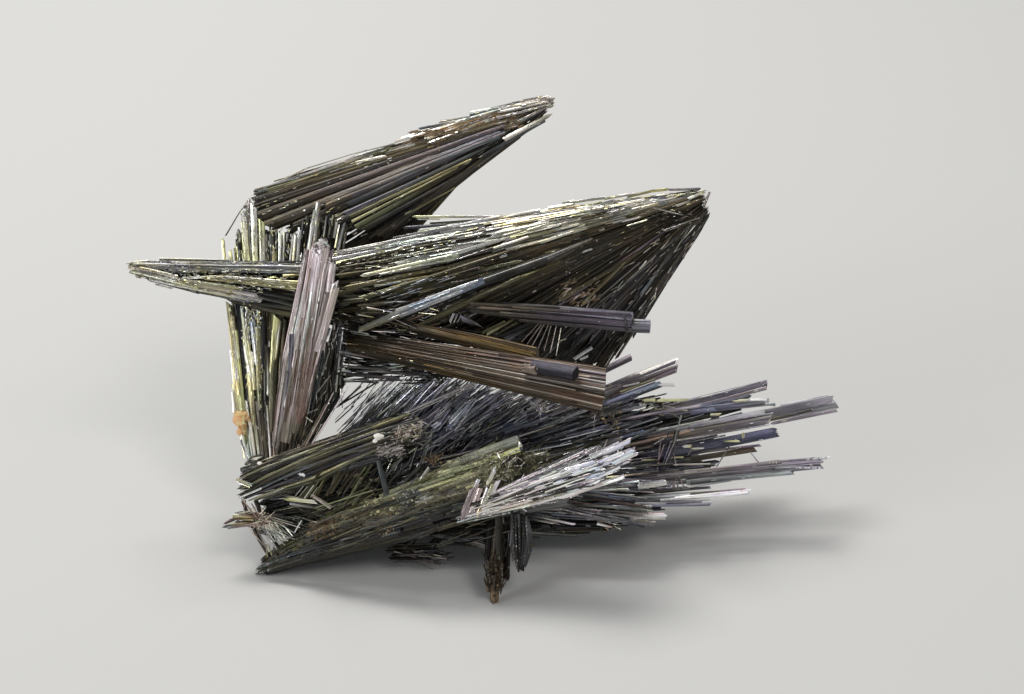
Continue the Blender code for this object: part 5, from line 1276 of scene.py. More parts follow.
flecks(S, FRONT_D, 60, {"gold": 2, "pale": 3, "copper": 2}, (0.3, 0.6), (0.05, 0.7), lift=0.3, length=(0.25, 0.9), width=(0.08, 0.16), spread=0.1)
flecks(S, FRONT_D, 50, {"pale": 3, "pink": 3, "steel": 2}, (0.0, 1.0), (-0.02, 0.2), lift=0.4, length=(0.3, 1.2), width=(0.08, 0.16), spread=0.2)
sparkle(S, (228, 304, 262, 410), 260, {"gold": 5, "silver": 3, "pale": 1}, (0, 10), (0.12, 0.5), (0.06, 0.15))
# painted glints: matte gold and silver flecks
sparkle(S, (228, 304, 262, 400), 110, {"gold": 5, "silver": 1}, (0, 10), (0.10, 0.4), (0.06, 0.12), crust=0.95)
show(S, OLIVE, "olive_stibnite")
S = Sheaf("ochre_patch", 44)
grain_patch(S, FRONT_D, (236, 412, 248, 434), 46, (0.25, 0.55), {"ochre": 1}, crust=1.0, lift=0.45)
grain_patch(S, FRONT_D, (235, 411, 250, 418), 14, (0.18, 0.35), {"ochre": 1}, crust=1.0, lift=0.5)
for x, y, r, sq in ((241.5, 416, 0.62, (1.1, 0.5, 0.9)), (239.5, 421, 0.66, (1.0, 0.5, 1.0)), (242, 426, 0.68, (1.0, 0.5, 1.1)), (241, 432, 0.62, (0.9, 0.5, 1.0)),
                    (237.5, 413.5, 0.42, (1, 0.6, 1)), (246, 413, 0.34, (1, 0.6, 0.9)), (244, 420, 0.5, (1, 0.5, 1))):
    S.lump(at([(x, y, FRONT_D.depth(x + 4, y) - 0.35)])[0], r, S.tone_of("ochre", 0.08), crust=0.95, detail=2, squash=sq, rough=0.4)
show(S, OCHRE, "earthy_stibnite")

S = Sheaf("upright_side_needles", 42, 1.8)
fan(S, [(300, 462, 4.0), (304, 456, 4.0)], [(340, 300, 6.6), (345, 352, 5.6), (344, 388, 4.4)], (1.4, 2.4), 90, (0.14, 0.42),
    {"umber": 3, "black": 4, "slate": 3, "violet": 1}, ribs=3, start=(0, 0.5), stop=(0.75, 1.0), sides=6, core=0.6)
trace(S, 2.4, [(331, 402, 341, 322, (4, 5), ("black", "slate")), (325, 410, 334, 330, (4, 5), ("black", "umber")), (336, 392, 343, 318, (2, 2.5), ("pale", "steel")),
               (318, 414, 330, 345, (4, 4), ("umber", "black")), (322, 395, 328, 350, (1.5, 1.5), ("steel", "pale")), (330, 370, 334, 330, (2, 2), ("steel", "silver")),
               (340, 385, 346, 325, (3, 3), ("slate", "black")), (328, 335, 330, 328, (3.5, 3.5), ("silver", "blue")), (333.5, 330, 336, 321, (3, 3), ("pale", "mauve")),
               (341, 331, 343.5, 321, (3, 3), ("pale", "silver")), (345, 384, 352, 349, 1.4, ("slate", "slate"))], lift=0.0)
hairs(S, 50, (316, 318, 344, 408), (70, 100), (1.0, 4.0), (0.08, 0.22), {"black": 2, "slate": 3, "steel": 2, "pale": 1}, (1.6, 3.4))
# the first three rows are painted highlights: matte mauve, pink and copper rods that stay light whatever they face
trace(S, 0.6, [(309.3, 449, 348.5, 386.5, 2.0, ("mauve", "pink"), 1.4, "flat", 0.95), (304, 449, 333.5, 393, 1.5, ("copper", "mauve"), 1.4, "flat", 0.95), (300, 452, 326, 404, 1.5, ("mauve", "brown"), 1.2, "flat", 0.9),
               (302, 455, 318, 420, 1.3, ("pale", "steel")), (308, 452, 322, 424, 1.2, ("slate", "pale")),
               (317, 393, 331, 375, 1.0, ("silver", "silver")), (318, 409, 303, 415, 0.9, ("silver", "silver")), (303.5, 414.5, 313, 422, 1.1, ("silver", "pale")),
               (316, 403, 325, 392, 0.9, ("pale", "silver"))])
tuft(S, 296, 452, 1.8, 46, (42, 82), (2.0, 6.5), {"slate": 3, "pale": 2, "copper": 2, "umber": 3}, (0.07, 0.16), 5.0, 0.1)
sparkle(S, (314, 318, 348, 412), 150, {"pale": 3, "steel": 3, "silver": 2, "pink": 1}, (-1, 8), (0.12, 0.6), (0.06, 0.16))
show(S, OLIVE, "olive_stibnite")

# ---------------------------------------------------------------- E, F and the stub
E_ROOT = [(347, 331, 3.0), (347, 341, 2.2), (348, 351, 1.6)]
E_ENDS = [(606, 369, -7.0), (605, 390, -8.2), (601, 412, -8.8)]
FRONT_E = Front(E_ROOT, E_ENDS, (2.2, 4.4), 0.2)
S = Sheaf("brown_prism_strips", 51, 0.63)
for i in range(5):
    u = (i + 0.5) / 5
    a, b = along(at(E_ROOT), u)[0], along(at(E_ENDS), u)[0]
    ts = np.array([0.0, 0.3, 0.7, 1.0])
    S.add(a + (b - a) * ts[:, None] * 0.988, 0.30 + 0.34 * ts, 0.95 + 1.05 * ts, unit(along(at(E_ENDS), 0.9)[0] - along(at(E_ENDS), 0.1)[0]), sides=26,
          tones=np.array([S.tone_of("bronze", 0.05), S.tone_of("brown", 0.05), S.tone_of("copper", 0.05), S.tone_of("copper", 0.05)]), groove=0.05, end="broken")
rng = S.rng
for i in range(64):
    u = (i + rng.uniform(0, 1)) / 64
    x1, y1 = along([(606, 369), (605, 390), (601, 412)], u)[0]
    x0, y0 = along([(347, 331), (347, 341), (348, 351)], u)[0]
    s = rng.choice([0.0, rng.uniform(0, 0.5), rng.uniform(0.2, 0.7)])
    e = 1.0 if rng.uniform() < 0.75 else rng.uniform(0.85, 1.0)
    right = {"copper": 7, "umber": 0.9, "mauve": 3.2, "pink": 1.6, "violet": 0.3}
    left = {"peat": 8, "umber": 2, "honey": 2}
    n0 = pick(rng, left, u) if s < 0.4 else pick(rng, {"bronze": 2, "brown": 2, "copper": 1}, u)
    trace(S, FRONT_E, [(x0 + (x1 - x0) * s, y0 + (y1 - y0) * s, x0 + (x1 - x0) * e, y0 + (y1 - y0) * e, (0.9 + 1.2 * s, 1.8 + rng.uniform(0, 1.4)),
                        (n0, pick(rng, right, u)), rng.uniform(-0.14, 0.10), "flat")], flat=0.7)
slab = [(405, 327, 1.0), (470, 340, -1.8), (535.5, 355, -4.9)]
crystal(S, slab, (1.3, 2.0, 2.1), (1.5, 2.2, 2.6), "umber", 30, end="flat", start="point", groove=0.05, far="honey")
for k, (dy, tone) in enumerate(((-5.4, "umber"), (-4.0, "honey"), (-2.8, "umber"), (-1.6, "honey"), (-0.4, "honey"), (0.9, "umber"), (2.1, "honey"), (3.4, "umber"), (4.8, "honey"), (6.0, "umber"))):
    xs, ys, ds = 411 + 10 * rng.uniform(0, 1), 326 + dy * 0.5, 0.1
    S.add(at([(xs, ys, ds + 0.15), (470, 338.3 + dy * 0.85, -2.8), (536, 354.3 + dy, -6.15)]), [0.05, 0.085, 0.1], [0.08, 0.1, 0.1],
          unit(np.cross(unit(at([(536, 354, -6)])[0] - at([(411, 326, 0)])[0]), SIGHT_DIR)), sides=7, tones=S.tone_of(tone, 0.1), end="flat")
flecks(S, FRONT_E, 70, {"pale": 2, "copper": 3, "silver": 1, "gold": 1}, (0.0, 1.0), (0.02, 0.55), lift=0.12, length=(0.1, 0.5), width=(0.06, 0.14))
grain_patch(S, FRONT_E, (360, 336, 470, 362), 60, (0.05, 0.12), {"pale": 2, "copper": 2, "rust": 1}, crust=0.6, lift=0.1)
grain_patch(S, FRONT_E, (470, 350, 600, 402), 40, (0.04, 0.09), {"pale": 2, "copper": 2}, crust=0.6, lift=0.1)
show(S, COPPER, "copper_stibnite", "brown_prism")
S = Sheaf("stub", 52, 0.43)
crystal(S, [(533, 366.5, -7.6), (575.5, 374, -10.2)], (1.7, 1.9), (1.8, 1.9), "plum", 22, slant=0.1)
crystal(S, [(522, 368, -7.2), (537, 369, -8.3)], (1.1, 1.5), (1.2, 1.4), "mauve", 16, start="broken", crust=0.6)
grain_patch(S, -7.6, (522, 362, 537, 375), 26, (0.14, 0.34), {"pink": 1, "copper": 1}, crust=0.75, lift=0.1)
grain_patch(S, -9.4, (540, 362, 572, 380), 16, (0.04, 0.08), {"pale": 1, "copper": 1}, crust=0.6, lift=0.5)
show(S, DULL, "violet_stibnite", "stub_crystal")
S = Sheaf("grey_prism_crystal", 53, 0.9)
crystal(S, [(466, 306, 1.6), (530, 312, 0.8), (632, 322, -0.8)], (1.5, 2.4, 2.6), (1.5, 1.9, 2.1), "brown", 30, far="plum", end="flat", groove=0.05)
crystal(S, [(628, 325.5, -0.6), (650, 326.5, -1.0)], (1.8, 1.8), (1.4, 1.4), "steel", 20)
trace(S, -0.2, [(470, 304, 560, 309, (4, 5), ("brown", "umber"), 0.4), (474, 311, 545, 318, (4, 5), ("umber", "brown"), 0.4), (480, 308, 530, 312, (3, 3), ("bronze", "brown"), 0.7)], flat=0.3)
trace(S, -1.0, [(512, 307.5, 631, 315.5, (3, 5), ("brown", "plum"), 0.75, "flat"), (500, 313, 630, 324, (3, 6), ("brown", "plum"), 0.7, "flat"),
                (520, 320.5, 631, 330, (3, 4), ("umber", "violet"), 0.6, "flat"), (624, 314, 627, 331, (2.5, 2.5), ("slate", "umber"), 0.95)], flat=0.25)
grain_patch(S, -1.6, (484, 303, 632, 330), 60, (0.04, 0.10), {"pale": 2, "pink": 1, "bronze": 1}, crust=0.6, lift=0.2)
grain_patch(S, 0.3, (560, 300, 590, 310), 12, (0.08, 0.2), {"pink": 3, "silver": 1}, crust=0.7, lift=0.6)
show(S, DULL, "violet_stibnite", "grey_prism")

# ---------------------------------------------------------------- G, the lower spray
G_PAL = {"violet": 2, "slate": 4, "umber": 5, "steel": 2, "black": 4, "pale": 0.6, "brown": 2, "indigo": 0.6}
GL_ROOT, GL_ENDS = [(264, 508, 2.2), (270, 530, 1.8)], [(646, 446, 7.6), (672, 470, 5.4), (668, 494, 3.0), (636, 512, 1.0), (600, 524, -0.4)]
FRONT_GL = Front(GL_ROOT, GL_ENDS, (4, 5))
S = Sheaf("lower_spray_low", 61)
fan(S, GL_ROOT, GL_ENDS, (4, 4.8), 380, (0.16, 0.62), G_PAL, ribs=6, start=(0, 0.6), stop=(0.72, 1.03), sides=6, tips=(0.4, 0.3, 0.3))
show(S, VIOLET, "violet_stibnite", "lower_spray")
S = Sheaf("lower_spray_low_front", 66)
rng = S.rng
for _ in range(120):
    x1, y1 = rng.uniform(545, 655), rng.uniform(478, 526)
    l = rng.uniform(25, 90)
    a = math.radians(rng.normal(3, 4) + (478 - y1) * 0.25)
    d = FRONT_GL.depth(x1 - l / 2, y1) - 0.1
    trace(S, d, [(x1 - l * math.cos(a), y1 + l * math.sin(a), x1, y1, rng.uniform(1, 3), (pick(rng, {"slate": 4, "steel": 4, "umber": 3, "blue": 2}, 0),
                  pick(rng, {"silver": 2, "pale": 3, "steel": 3, "pink": 1, "copper": 1, "slate": 3}, 0)), rng.uniform(0, 0.9))])
for _ in range(70):
    x0, y0 = rng.uniform(528, 622), rng.uniform(506, 526)
    a = math.radians(rng.uniform(-32, 12))
    l = rng.uniform(6, 26)
    trace(S, 0.8, [(x0, y0, x0 + l * math.cos(a), y0 - l * math.sin(a), rng.uniform(0.9, 2.2), (pick(rng, {"silver": 3, "copper": 2, "pink": 2, "pale": 2, "slate": 2}, 0),) * 2, rng.uniform(-0.6, 1.4))])
trace(S, 2.0, [(568, 501.6, 634, 502.5, 3, ("blue", "steel"), 0.8), (560, 505, 622, 506, 2.5, ("slate", "blue"), 0.9), (579, 517, 602, 529, 2, ("copper", "pink"), 1.0),
               (572, 519, 596, 528, 1.6, ("pink", "copper"), 1.0), (606, 477.3, 648, 473.3, 2.0, ("gold", "copper"), 2.2), (638, 487, 666, 482, (5, 6), ("silver", "silver"), 2.2),
               (640, 483, 664, 480, (2, 2), ("blue", "silver"), 2.4)])
show(S, VIOLET, "violet_stibnite")
S = Sheaf("lower_spray_inner", 162, 1.1)
fan(S, [(262, 498, 1.6), (264, 536, 1.2)], [(400, 452, 2.4), (420, 472, 1.6), (410, 502, 0.8), (362, 528, 0.4)], (3.6, 4.4), 260, (0.12, 0.42),
    {"umber": 5, "black": 5, "slate": 2, "olive": 2}, ribs=4, start=(0, 0.6), stop=(0.6, 1.05), tips=(0.4, 0.2, 0.4), sides=6)
hairs(S, 150, (262, 496, 330, 535), (-35, 15), (1.0, 5.0), (0.08, 0.22), {"umber": 4, "black": 4, "slate": 3, "pale": 1}, (-1.6, 0.8))
hairs(S, 110, (330, 462, 400, 520), (20, 75), (1.0, 5.0), (0.10, 0.28), {"umber": 4, "black": 3, "slate": 3, "olive": 2, "pale": 0.7}, (-1.8, 0.6))
show(S, OLIVE, "olive_stibnite")
GH_ROOT = [(272, 488, 3.4), (284, 500, 3.6), (300, 508, 4.0)]
GH_ENDS = [(416, 386, 8.0), (441, 374, 9.0), (480, 386, 10.0), (520, 397, 10.6), (560, 405, 11.0), (598, 408, 11.2)]
FRONT_GH = Front(GH_ROOT, GH_ENDS, (4, 5.4))
S = Sheaf("lower_spray_high", 63, 1.7)
fan(S, GH_ROOT, GH_ENDS, (4, 5.2), 460, (0.12, 0.42), [(0.0, {"umber": 4, "slate": 3, "black": 3, "steel": 1}), (0.5, {"slate": 3, "umber": 4, "black": 3, "steel": 2, "indigo": 0.6}),
    (1.0, {"violet": 1, "umber": 4, "slate": 3, "black": 2})], ribs=7, start=(0, 0.6), stop=(0.66, 1.04), tips=(0.25, 0.15, 0.6), sides=6, core=0.7)
show(S, VIOLET, "violet_stibnite")
S = Sheaf("lower_spray_needles", 67, 2.0)
rng = S.rng
for _ in range(300):
    x0, y0 = rng.uniform(335, 520), rng.uniform(400, 470)
    a = math.radians(float(np.interp(x0 + rng.normal(0, 22), [340, 430, 520], [46, 46, 28])) + rng.normal(0, 7))
    l = rng.uniform(15, 80)
    x1, y1 = x0 + l * math.cos(a), y0 - l * math.sin(a)
    if y1 < 372 + max(0, x1 - 470) * 0.22 or x1 > 600:
        continue
    d = FRONT_GH.depth(x0, y0)
    trace(S, d, [(x0, y0, x1, y1, 0.7 + 2.2 * rng.uniform() ** 2.5, (pick(rng, {"umber": 4, "slate": 4, "black": 3, "steel": 2}, 0), pick(rng, {"umber": 3, "slate": 4, "steel": 3, "pale": 1.5, "silver": 0.6}, 0)),
                  rng.uniform(-0.3, 1.5), "point" if rng.uniform() < 0.5 else "slant")])
for _ in range(380):
    x0, y0 = rng.uniform(380, 580), rng.uniform(392, 462)
    a = math.radians(float(np.interp(x0, [380, 450, 520, 580], [44, 42, 30, 20])) + rng.normal(0, 9))
    l = rng.uniform(10, 60)
    x1, y1 = x0 + l * math.cos(a), y0 - l * math.sin(a)
    if y1 < 372 + max(0, x1 - 470) * 0.24 or x1 > 604:
        continue
    trace(S, FRONT_GH.depth(x0, y0), [(x0, y0, x1, y1, rng.uniform(0.6, 1.3), (pick(rng, {"slate": 4, "steel": 4, "pale": 2, "silver": 1.4, "blue": 2, "copper": 1}, 0),) * 2,
                                       rng.uniform(0.8, 1.9), "flat")])
for _ in range(90):
    x0, y0 = rng.uniform(500, 610), rng.uniform(408, 452)
    a = math.radians(rng.normal(17, 5))
    l = rng.uniform(20, 70)
    d = 6.6
    trace(S, d, [(x0, y0, x0 + l * math.cos(a), y0 - l * math.sin(a), rng.uniform(1.0, 3.2), (pick(rng, {"umber": 4, "slate": 4, "violet": 2}, 0), pick(rng, {"umber": 3, "slate": 4, "steel": 3, "blue": 1}, 0)), rng.uniform(-0.5, 1.5))])
trace(S, FRONT_GH, [
    (402, 414.6, 476, 382, (3, 3), ("pale", "pale"), 0.6), (404, 417, 474, 386, (1.5, 1.5), ("steel", "silver"), 0.9), (393, 406, 438, 375.5, 1.5, ("steel", "slate"), 0.3),
    (378, 416, 392, 404, 1.6, ("gold", "silver"), 0.6), (450, 418, 457, 381, 1.5, ("black", "umber"), 1.8), (446, 430, 456, 392, 1.2, ("umber", "black"), 1.7),
    (447, 427, 468, 406, (3, 2.5), ("blue", "silver"), 1.2), (450, 429, 476, 399, (3, 3), ("silver", "silver"), 1.3), (455, 424, 472, 403, (2, 2.5), ("silver", "blue"), 1.4),
    (460, 414, 474, 398, (3, 3), ("blue", "silver"), 1.4), (452, 420, 466, 400, (1.5, 1.5), ("silver", "silver"), 1.5), (455, 431, 465, 417, (1.5, 1.5), ("pale", "silver"), 1.5),
    (433, 428, 441, 423, (3, 3.5), ("blue", "silver"), 1.2), (427.5, 418, 440, 407.5, 1.5, ("pink", "pink"), 1.0), (470, 432, 500, 396, (2.5, 2), ("slate", "steel"), 0.8),
    (476, 430, 503, 399, (2, 2), ("umber", "slate"), 0.9), (483, 433, 508, 404, (2, 2), ("olive", "umber"), 0.9), (500.7, 406, 522, 397, 1.8, ("copper", "pink"), 1.0),
    (520, 436, 554, 425, 2.2, ("gold", "gold"), 1.6), (516, 438, 540, 430, 1.5, ("silver", "gold"), 1.7), (525, 452, 572, 443, 2.2, ("silver", "blue"), 2.0), (545, 455, 590, 446, 1.8, ("pink", "silver"), 2.0),
    (500, 428, 545, 414, (4, 3), ("blue", "indigo"), 1.0), (505, 433, 550, 418, (3, 3), ("indigo", "slate"), 1.2), (560, 440, 600, 430, 2.0, ("steel", "silver"), 1.4),
    (538, 444, 575, 434, 3, ("umber", "slate"), 1.4), (533, 447, 566, 438, 2, ("pale", "steel"), 1.6)], lift=1.2)
top = Top((340, 372, 600, 470), (-1.0, 11.0))
for _ in range(130):
    x0, y0 = rng.uniform(345, 500), 0
    y0 = float(np.interp(x0, [345, 430, 500], [432, 424, 446])) + rng.uniform(-14, 16)
    a = math.radians(float(np.interp(x0, [345, 420, 500], [47, 42, 27])) + rng.normal(0, 6))
    l = rng.uniform(35, 105)
    x1, y1 = x0 + l * math.cos(a), y0 - l * math.sin(a)
    if y1 < 373 + max(0, x1 - 455) * 0.26:
        k = (y0 - 380) / max(y0 - y1, 1)
        x1, y1 = x0 + (x1 - x0) * k, y0 + (y1 - y0) * k
    if x1 > 600:
        continue
    trace(S, top, [(x0, y0, x1, y1, rng.uniform(0.7, 1.5), (pick(rng, {"slate": 3, "steel": 4, "pale": 2, "copper": 1, "blue": 1}, 0), pick(rng, {"slate": 2, "steel": 4, "pale": 3, "silver": 1, "mauve": 1}, 0)),
                    rng.uniform(-0.2, 0.15), "flat")])
sparkle(S, (400, 380, 600, 456), 330, {"silver": 2, "pale": 3, "steel": 3, "blue": 1, "copper": 1}, (-1, 11), (0.12, 0.7), (0.05, 0.12))
tuft(S, 540, 412, 5.0, 40, (35, 150), (0.6, 1.9), {"pink": 3, "copper": 2, "pale": 2}, (0.07, 0.14), 1.5, 0.6)
tuft(S, 600, 420, 4.2, 14, (20, 160), (0.8, 2.0), {"umber": 3, "brown": 2}, (0.07, 0.14), 6, 0.2)
grain_patch(S, 5.4, (534, 405, 546, 414), 12, (0.1, 0.22), {"pink": 1, "copper": 1}, crust=0.8, lift=0.2)
grain_patch(S, 4.4, (604, 409, 623, 430), 46, (0.14, 0.34), {"umber": 2, "brown": 3, "rust": 1}, crust=0.8, lift=0.2)
show(S, VIOLET, "violet_stibnite")
# painted highlights in the lower spray: bright matte needles that stay light in the shade under the prism, in place of
# glints
S = Sheaf("painted_glint_needles", 69, 1.0)
top = Top((340, 372, 600, 470), (-2.5, 11.0), clear=True)
trace(S, top, [(402, 414.6, 476, 382, (2.2, 2.6), ("mauve", "pink"), 0.05, "flat", 0.95), (403, 417.2, 475, 385.2, (1.0, 1.3), ("pink", "cream"), 0.1, "flat", 0.95), (378, 416, 392, 404, 1.3, ("gold", "silver"), 0.2, "flat", 0.95),
               (500.7, 406, 522, 397, 1.5, ("copper", "pink"), 0.2, "flat", 0.95), (520, 436, 554, 425, 1.7, ("cream", "gold"), 0.3, "flat", 0.95), (516, 438, 540, 430, 1.0, ("pink", "silver"), 0.3, "flat", 0.95),
               (427.5, 418, 440, 407.5, 1.0, ("pink", "pink"), 0.2, "flat", 0.95), (434, 428, 441, 423, (2, 2.4), ("ice", "ice"), 0.3, "flat", 0.95), (432, 426, 438, 422, (1.6, 2), ("ice", "ice"), 0.3, "flat", 0.95),
               (525, 452, 572, 443, 1.4, ("blue", "silver"), 0.2, "flat", 0.9), (560, 440, 600, 430, 1.3, ("steel", "silver"), 0.2, "flat", 0.9), (470, 436, 500, 423, 1.4, ("blue", "blue"), 0.2, "flat", 0.95),
               (476, 437, 506, 424, 1.2, ("indigo", "blue"), 0.2, "flat", 0.95), (488, 436, 528, 421, 1.6, ("indigo", "blue"), 0.2, "flat", 0.95), (504, 432, 546, 418, 1.6, ("blue", "indigo"), 0.2, "flat", 0.95)])
for _ in range(22):
    f = rng.uniform(-0.15, 1.15)
    x0, y0 = 444 + 8 * f + rng.normal(0, 1.8), 427 + 2 * f + rng.normal(0, 1.8)
    g0, g1 = rng.uniform(0, 0.6), rng.uniform(0.65, 1.0)
    x1, y1 = 466 + 12 * f, 402 - 3 * f
    trace(S, top, [(x0 + (x1 - x0) * g0, y0 + (y1 - y0) * g0, x0 + (x1 - x0) * g1, y0 + (y1 - y0) * g1, rng.uniform(0.5, 0.95), (pick(rng, {"ice": 5, "blue": 1}, 0), pick(rng, {"ice": 4, "silver": 1}, 0)),
                    rng.uniform(-0.05, 0.25), "flat", 0.95 if rng.uniform() < 0.7 else 0.0)])
for _ in range(60):
    x0, y0 = rng.uniform(400, 590), rng.uniform(398, 452)
    a = math.radians(float(np.interp(x0, [400, 450, 520, 590], [46, 42, 28, 18])) + rng.normal(0, 7))
    l = rng.uniform(5, 26)
    if y0 - l * math.sin(a) < 378 + max(0, x0 - 470) * 0.3:
        continue
    trace(S, top, [(x0, y0, x0 + l * math.cos(a), y0 - l * math.sin(a), rng.uniform(0.5, 0.9), (pick(rng, {"pale": 3, "silver": 2, "copper": 1, "steel": 2, "ice": 1}, 0),) * 2, -0.1, "flat", 0.95)])
# painted highlights: matte gold and silver flashes on the big crystals
top = Top((600, 355, 780, 460), (3.0, 15.0), clear=True)
trace(S, top, [(659, 400.5, 689, 399.5, (3.2, 2.4), ("gold", "gold"), 0.5, "flat", 0.95), (646, 400, 655, 400, (3, 3), ("gold", "gold"), 0.5, "flat", 0.95), (662, 384.9, 673.5, 384.9, (3.5, 4), ("silver", "silver"), 0.3, "flat", 0.95)])
show(S, PAINTED_GLINT, "violet_stibnite")
S = Sheaf("lower_spray_back", 64, 1.1)
hairs(S, 70, (575, 400, 655, 432), (3, 20), (2.0, 5.0), (0.2, 0.55), {"umber": 5, "black": 3, "slate": 3, "indigo": 1}, (9.6, 12.0))
fan(S, [(270, 500, 3.6), (272, 520, 3.4)], [(606, 414, 10.6), (644, 432, 9.2), (650, 462, 7.4)], (4.4, 4.8), 190, (0.16, 0.55), G_PAL, ribs=3,
    start=(0, 0.6), stop=(0.75, 1.03), sides=6)
show(S, VIOLET, "violet_stibnite")
S = Sheaf("lower_spray_crystals", 65, 1.7)
fan(S, [(480, 478, 8.6), (486, 494, 6.0)], [(742, 398, 14.0), (738, 428, 12.4), (716, 452, 9.6), (700, 482, 6.6)], (1.2, 1.6), 120, (0.25, 0.8),
    {"umber": 5, "black": 2, "slate": 4, "violet": 2}, ribs=1, core=0, start=(0, 0.5), stop=(0.7, 1.05), sides=6, tips=(0.5, 0.2, 0.3))
G_CRYSTALS = [
    ([(440, 464, 7.4), (607, 391, 10.6), (677, 364.5, 12.0)], (1.6, 1.9, 1.95), (1.5, 1.7, 1.7), "brown", "mauve", 0.5),
    ([(460, 460, 7.4), (605, 405, 10.0), (661, 384, 11.0)], (.9, .9, .85), (.9, .9, .85), "indigo", "blue", 0.0),
    ([(500, 420, 9.8), (608, 368, 11.0), (631, 357, 11.4)], (.9, .9, .9), (.9, .9, .8), "slate", "violet", 0.2),
    ([(470, 474, 7.0), (652, 413, 11.0), (766, 384, 13.4)], (1.2, 1.35, 1.15), (1.2, 1.3, 1.1), "umber", "violet", 0.3),
    ([(520, 444, 9.0), (680, 411, 11.4), (768, 402, 13.0)], (1, 1.1, 1.0), (1, 1, .8), "slate", "steel", 0.3),
    ([(460, 482, 5.4), (650, 438, 8.2), (834, 402, 11.0)], (1.5, 1.75, 1.75), (1.5, 1.7, 1.6), "violet", "steel", -0.5),
    ([(520, 482, 6.2), (777, 432, 9.4)], (1.5, 1.4), (1.4, 1.2), "umber", "indigo", 0.0),
    ([(460, 500, 3.8), (607, 483, 4.6), (822, 463.5, 5.6)], (1.5, 1.65, 1.35), (1.5, 1.5, 1.4), "brown", "violet", 0.0),
    ([(460, 510, 2.4), (634, 498.5, 3.0), (748, 491.5, 3.6)], (1, .95, .85), (1, 1, .9), "slate", "pale", 0.2),
    ([(460, 514, 1.4), (616, 504, 1.6), (710, 502, 2.0)], (.8, .8, .75), (.8, .8, .75), "umber", "steel", 0.1),
    ([(440, 516, 0.8), (589, 513, 0.4), (665, 515, 0.4)], (.8, .8, .75), (.8, .8, .75), "slate", "pale", 0.2)]
for path, w, t, tone, far, slant in G_CRYSTALS:
    crystal(S, path, w, t, tone, 26, slant=slant, end="slant" if slant else "broken", far=far, roll=S.rng.uniform(-12, 12))
trace(S, 10.4, [(609, 394, 676, 369, (5, 6), ("brown", "violet"), 0.2), (612, 388, 675, 362, (3, 4), ("violet", "violet"), 0.3), (623, 386.5, 639, 383, 2, ("silver", "silver"), 0.6),
                (606, 386, 640, 374, (3, 3), ("slate", "mauve"), 0.3), (620, 392, 655, 379, (2, 2), ("gold", "olive"), 0.6)], flat=0.3)
trace(S, 9.4, [(607, 403.5, 660.4, 383.3, (4, 4.5), ("blue", "silver"), 0.3), (662, 384.9, 673.5, 384.9, (3.5, 4), ("silver", "silver"), 0.0), (607, 400, 655, 382, (1.5, 2), ("indigo", "blue"), 0.5)], flat=0.35)
trace(S, 9.6, [(647, 400, 655, 400, (3, 3), ("gold", "gold"), 0.2), (660, 400.5, 688, 399.5, (3.5, 3), ("gold", "gold"), 0.2), (640, 403, 668, 401, (2, 2), ("olive", "gold"), 0.1),
               (710, 414.7, 720, 414.5, (3, 3), ("gold", "gold"), 0.2), (690, 413, 715, 409, (5, 5), ("indigo", "blue"), 0.1), (700, 406, 740, 398, (3, 3), ("blue", "slate"), 0.0)], flat=0.4)
trace(S, 11.4, [(640, 415, 764, 384, (8, 9), ("slate", "violet"), 0.8), (655, 416, 766, 388, (4, 4), ("violet", "mauve"), 1.0), (700, 398, 760, 382, (2, 2), ("pale", "steel"), 1.0)], flat=0.3)
trace(S, 11.8, [(735, 401, 765, 399.5, (3, 4), ("gold", "pale"), 0.6), (750, 400, 766, 400, (3, 3.5), ("silver", "silver"), 0.8), (765, 404, 775, 404.5, (3.5, 3.5), ("silver", "blue"), 0.4),
                (690, 410, 765, 402, (6, 7), ("indigo", "steel"), 0.5)], flat=0.4)
trace(S, 8.6, [(675, 436, 770, 419, (8, 9), ("brown", "mauve"), 0.3), (690, 428, 772, 413.5, (3, 3), ("violet", "steel"), 0.45), (672, 441, 770, 424, (2, 2), ("pale", "silver"), 0.5)], flat=0.25)
trace(S, 9.6, [(765, 413, 832, 399, (6, 7), ("violet", "steel"), 0.5), (790, 415, 812, 409.5, (3, 3), ("umber", "umber"), 0.75), (772, 419, 792, 414.5, (3, 3), ("brown", "umber"), 0.6),
               (773, 423, 836, 410, (3.5, 4.5), ("violet", "mauve"), 0.6), (780, 405, 828, 395, (2.5, 2.5), ("pale", "silver"), 0.6)], flat=0.25)
trace(S, 7.6, [(659, 429.5, 710, 419, 2.4, ("pale", "pale"), 0.6), (640, 436, 690, 424, 2.0, ("slate", "steel"), 0.5), (625, 441, 680, 431, 3, ("copper", "brown"), 0.5), (632, 445, 656, 440, 5, ("rust", "brown"), 0.4)])
trace(S, 8.2, [(742.5, 432.5, 743.2, 438, 3, ("gold", "gold"), 0.6), (724, 441.5, 739, 441, 2.5, ("olive", "gold"), 0.5), (684, 446.2, 691, 446, 3.5, ("silver", "gold"), 0.5),
               (692, 448.5, 703.5, 448, 2, ("gold", "silver"), 0.5), (641, 459.8, 656, 459.6, 1.8, ("gold", "gold"), 1.2), (671.5, 457.6, 683, 457.2, 1.8, ("gold", "gold"), 1.0),
               (650, 455, 700, 449, 2.5, ("slate", "steel"), 0.3), (681, 460.5, 755, 449, (6, 6), ("umber", "brown"), 0.1), (700, 452, 760, 445, (3, 3), ("umber", "violet"), 0.3),
               (640, 466, 690, 459, 3, ("umber", "slate"), 0.4)])
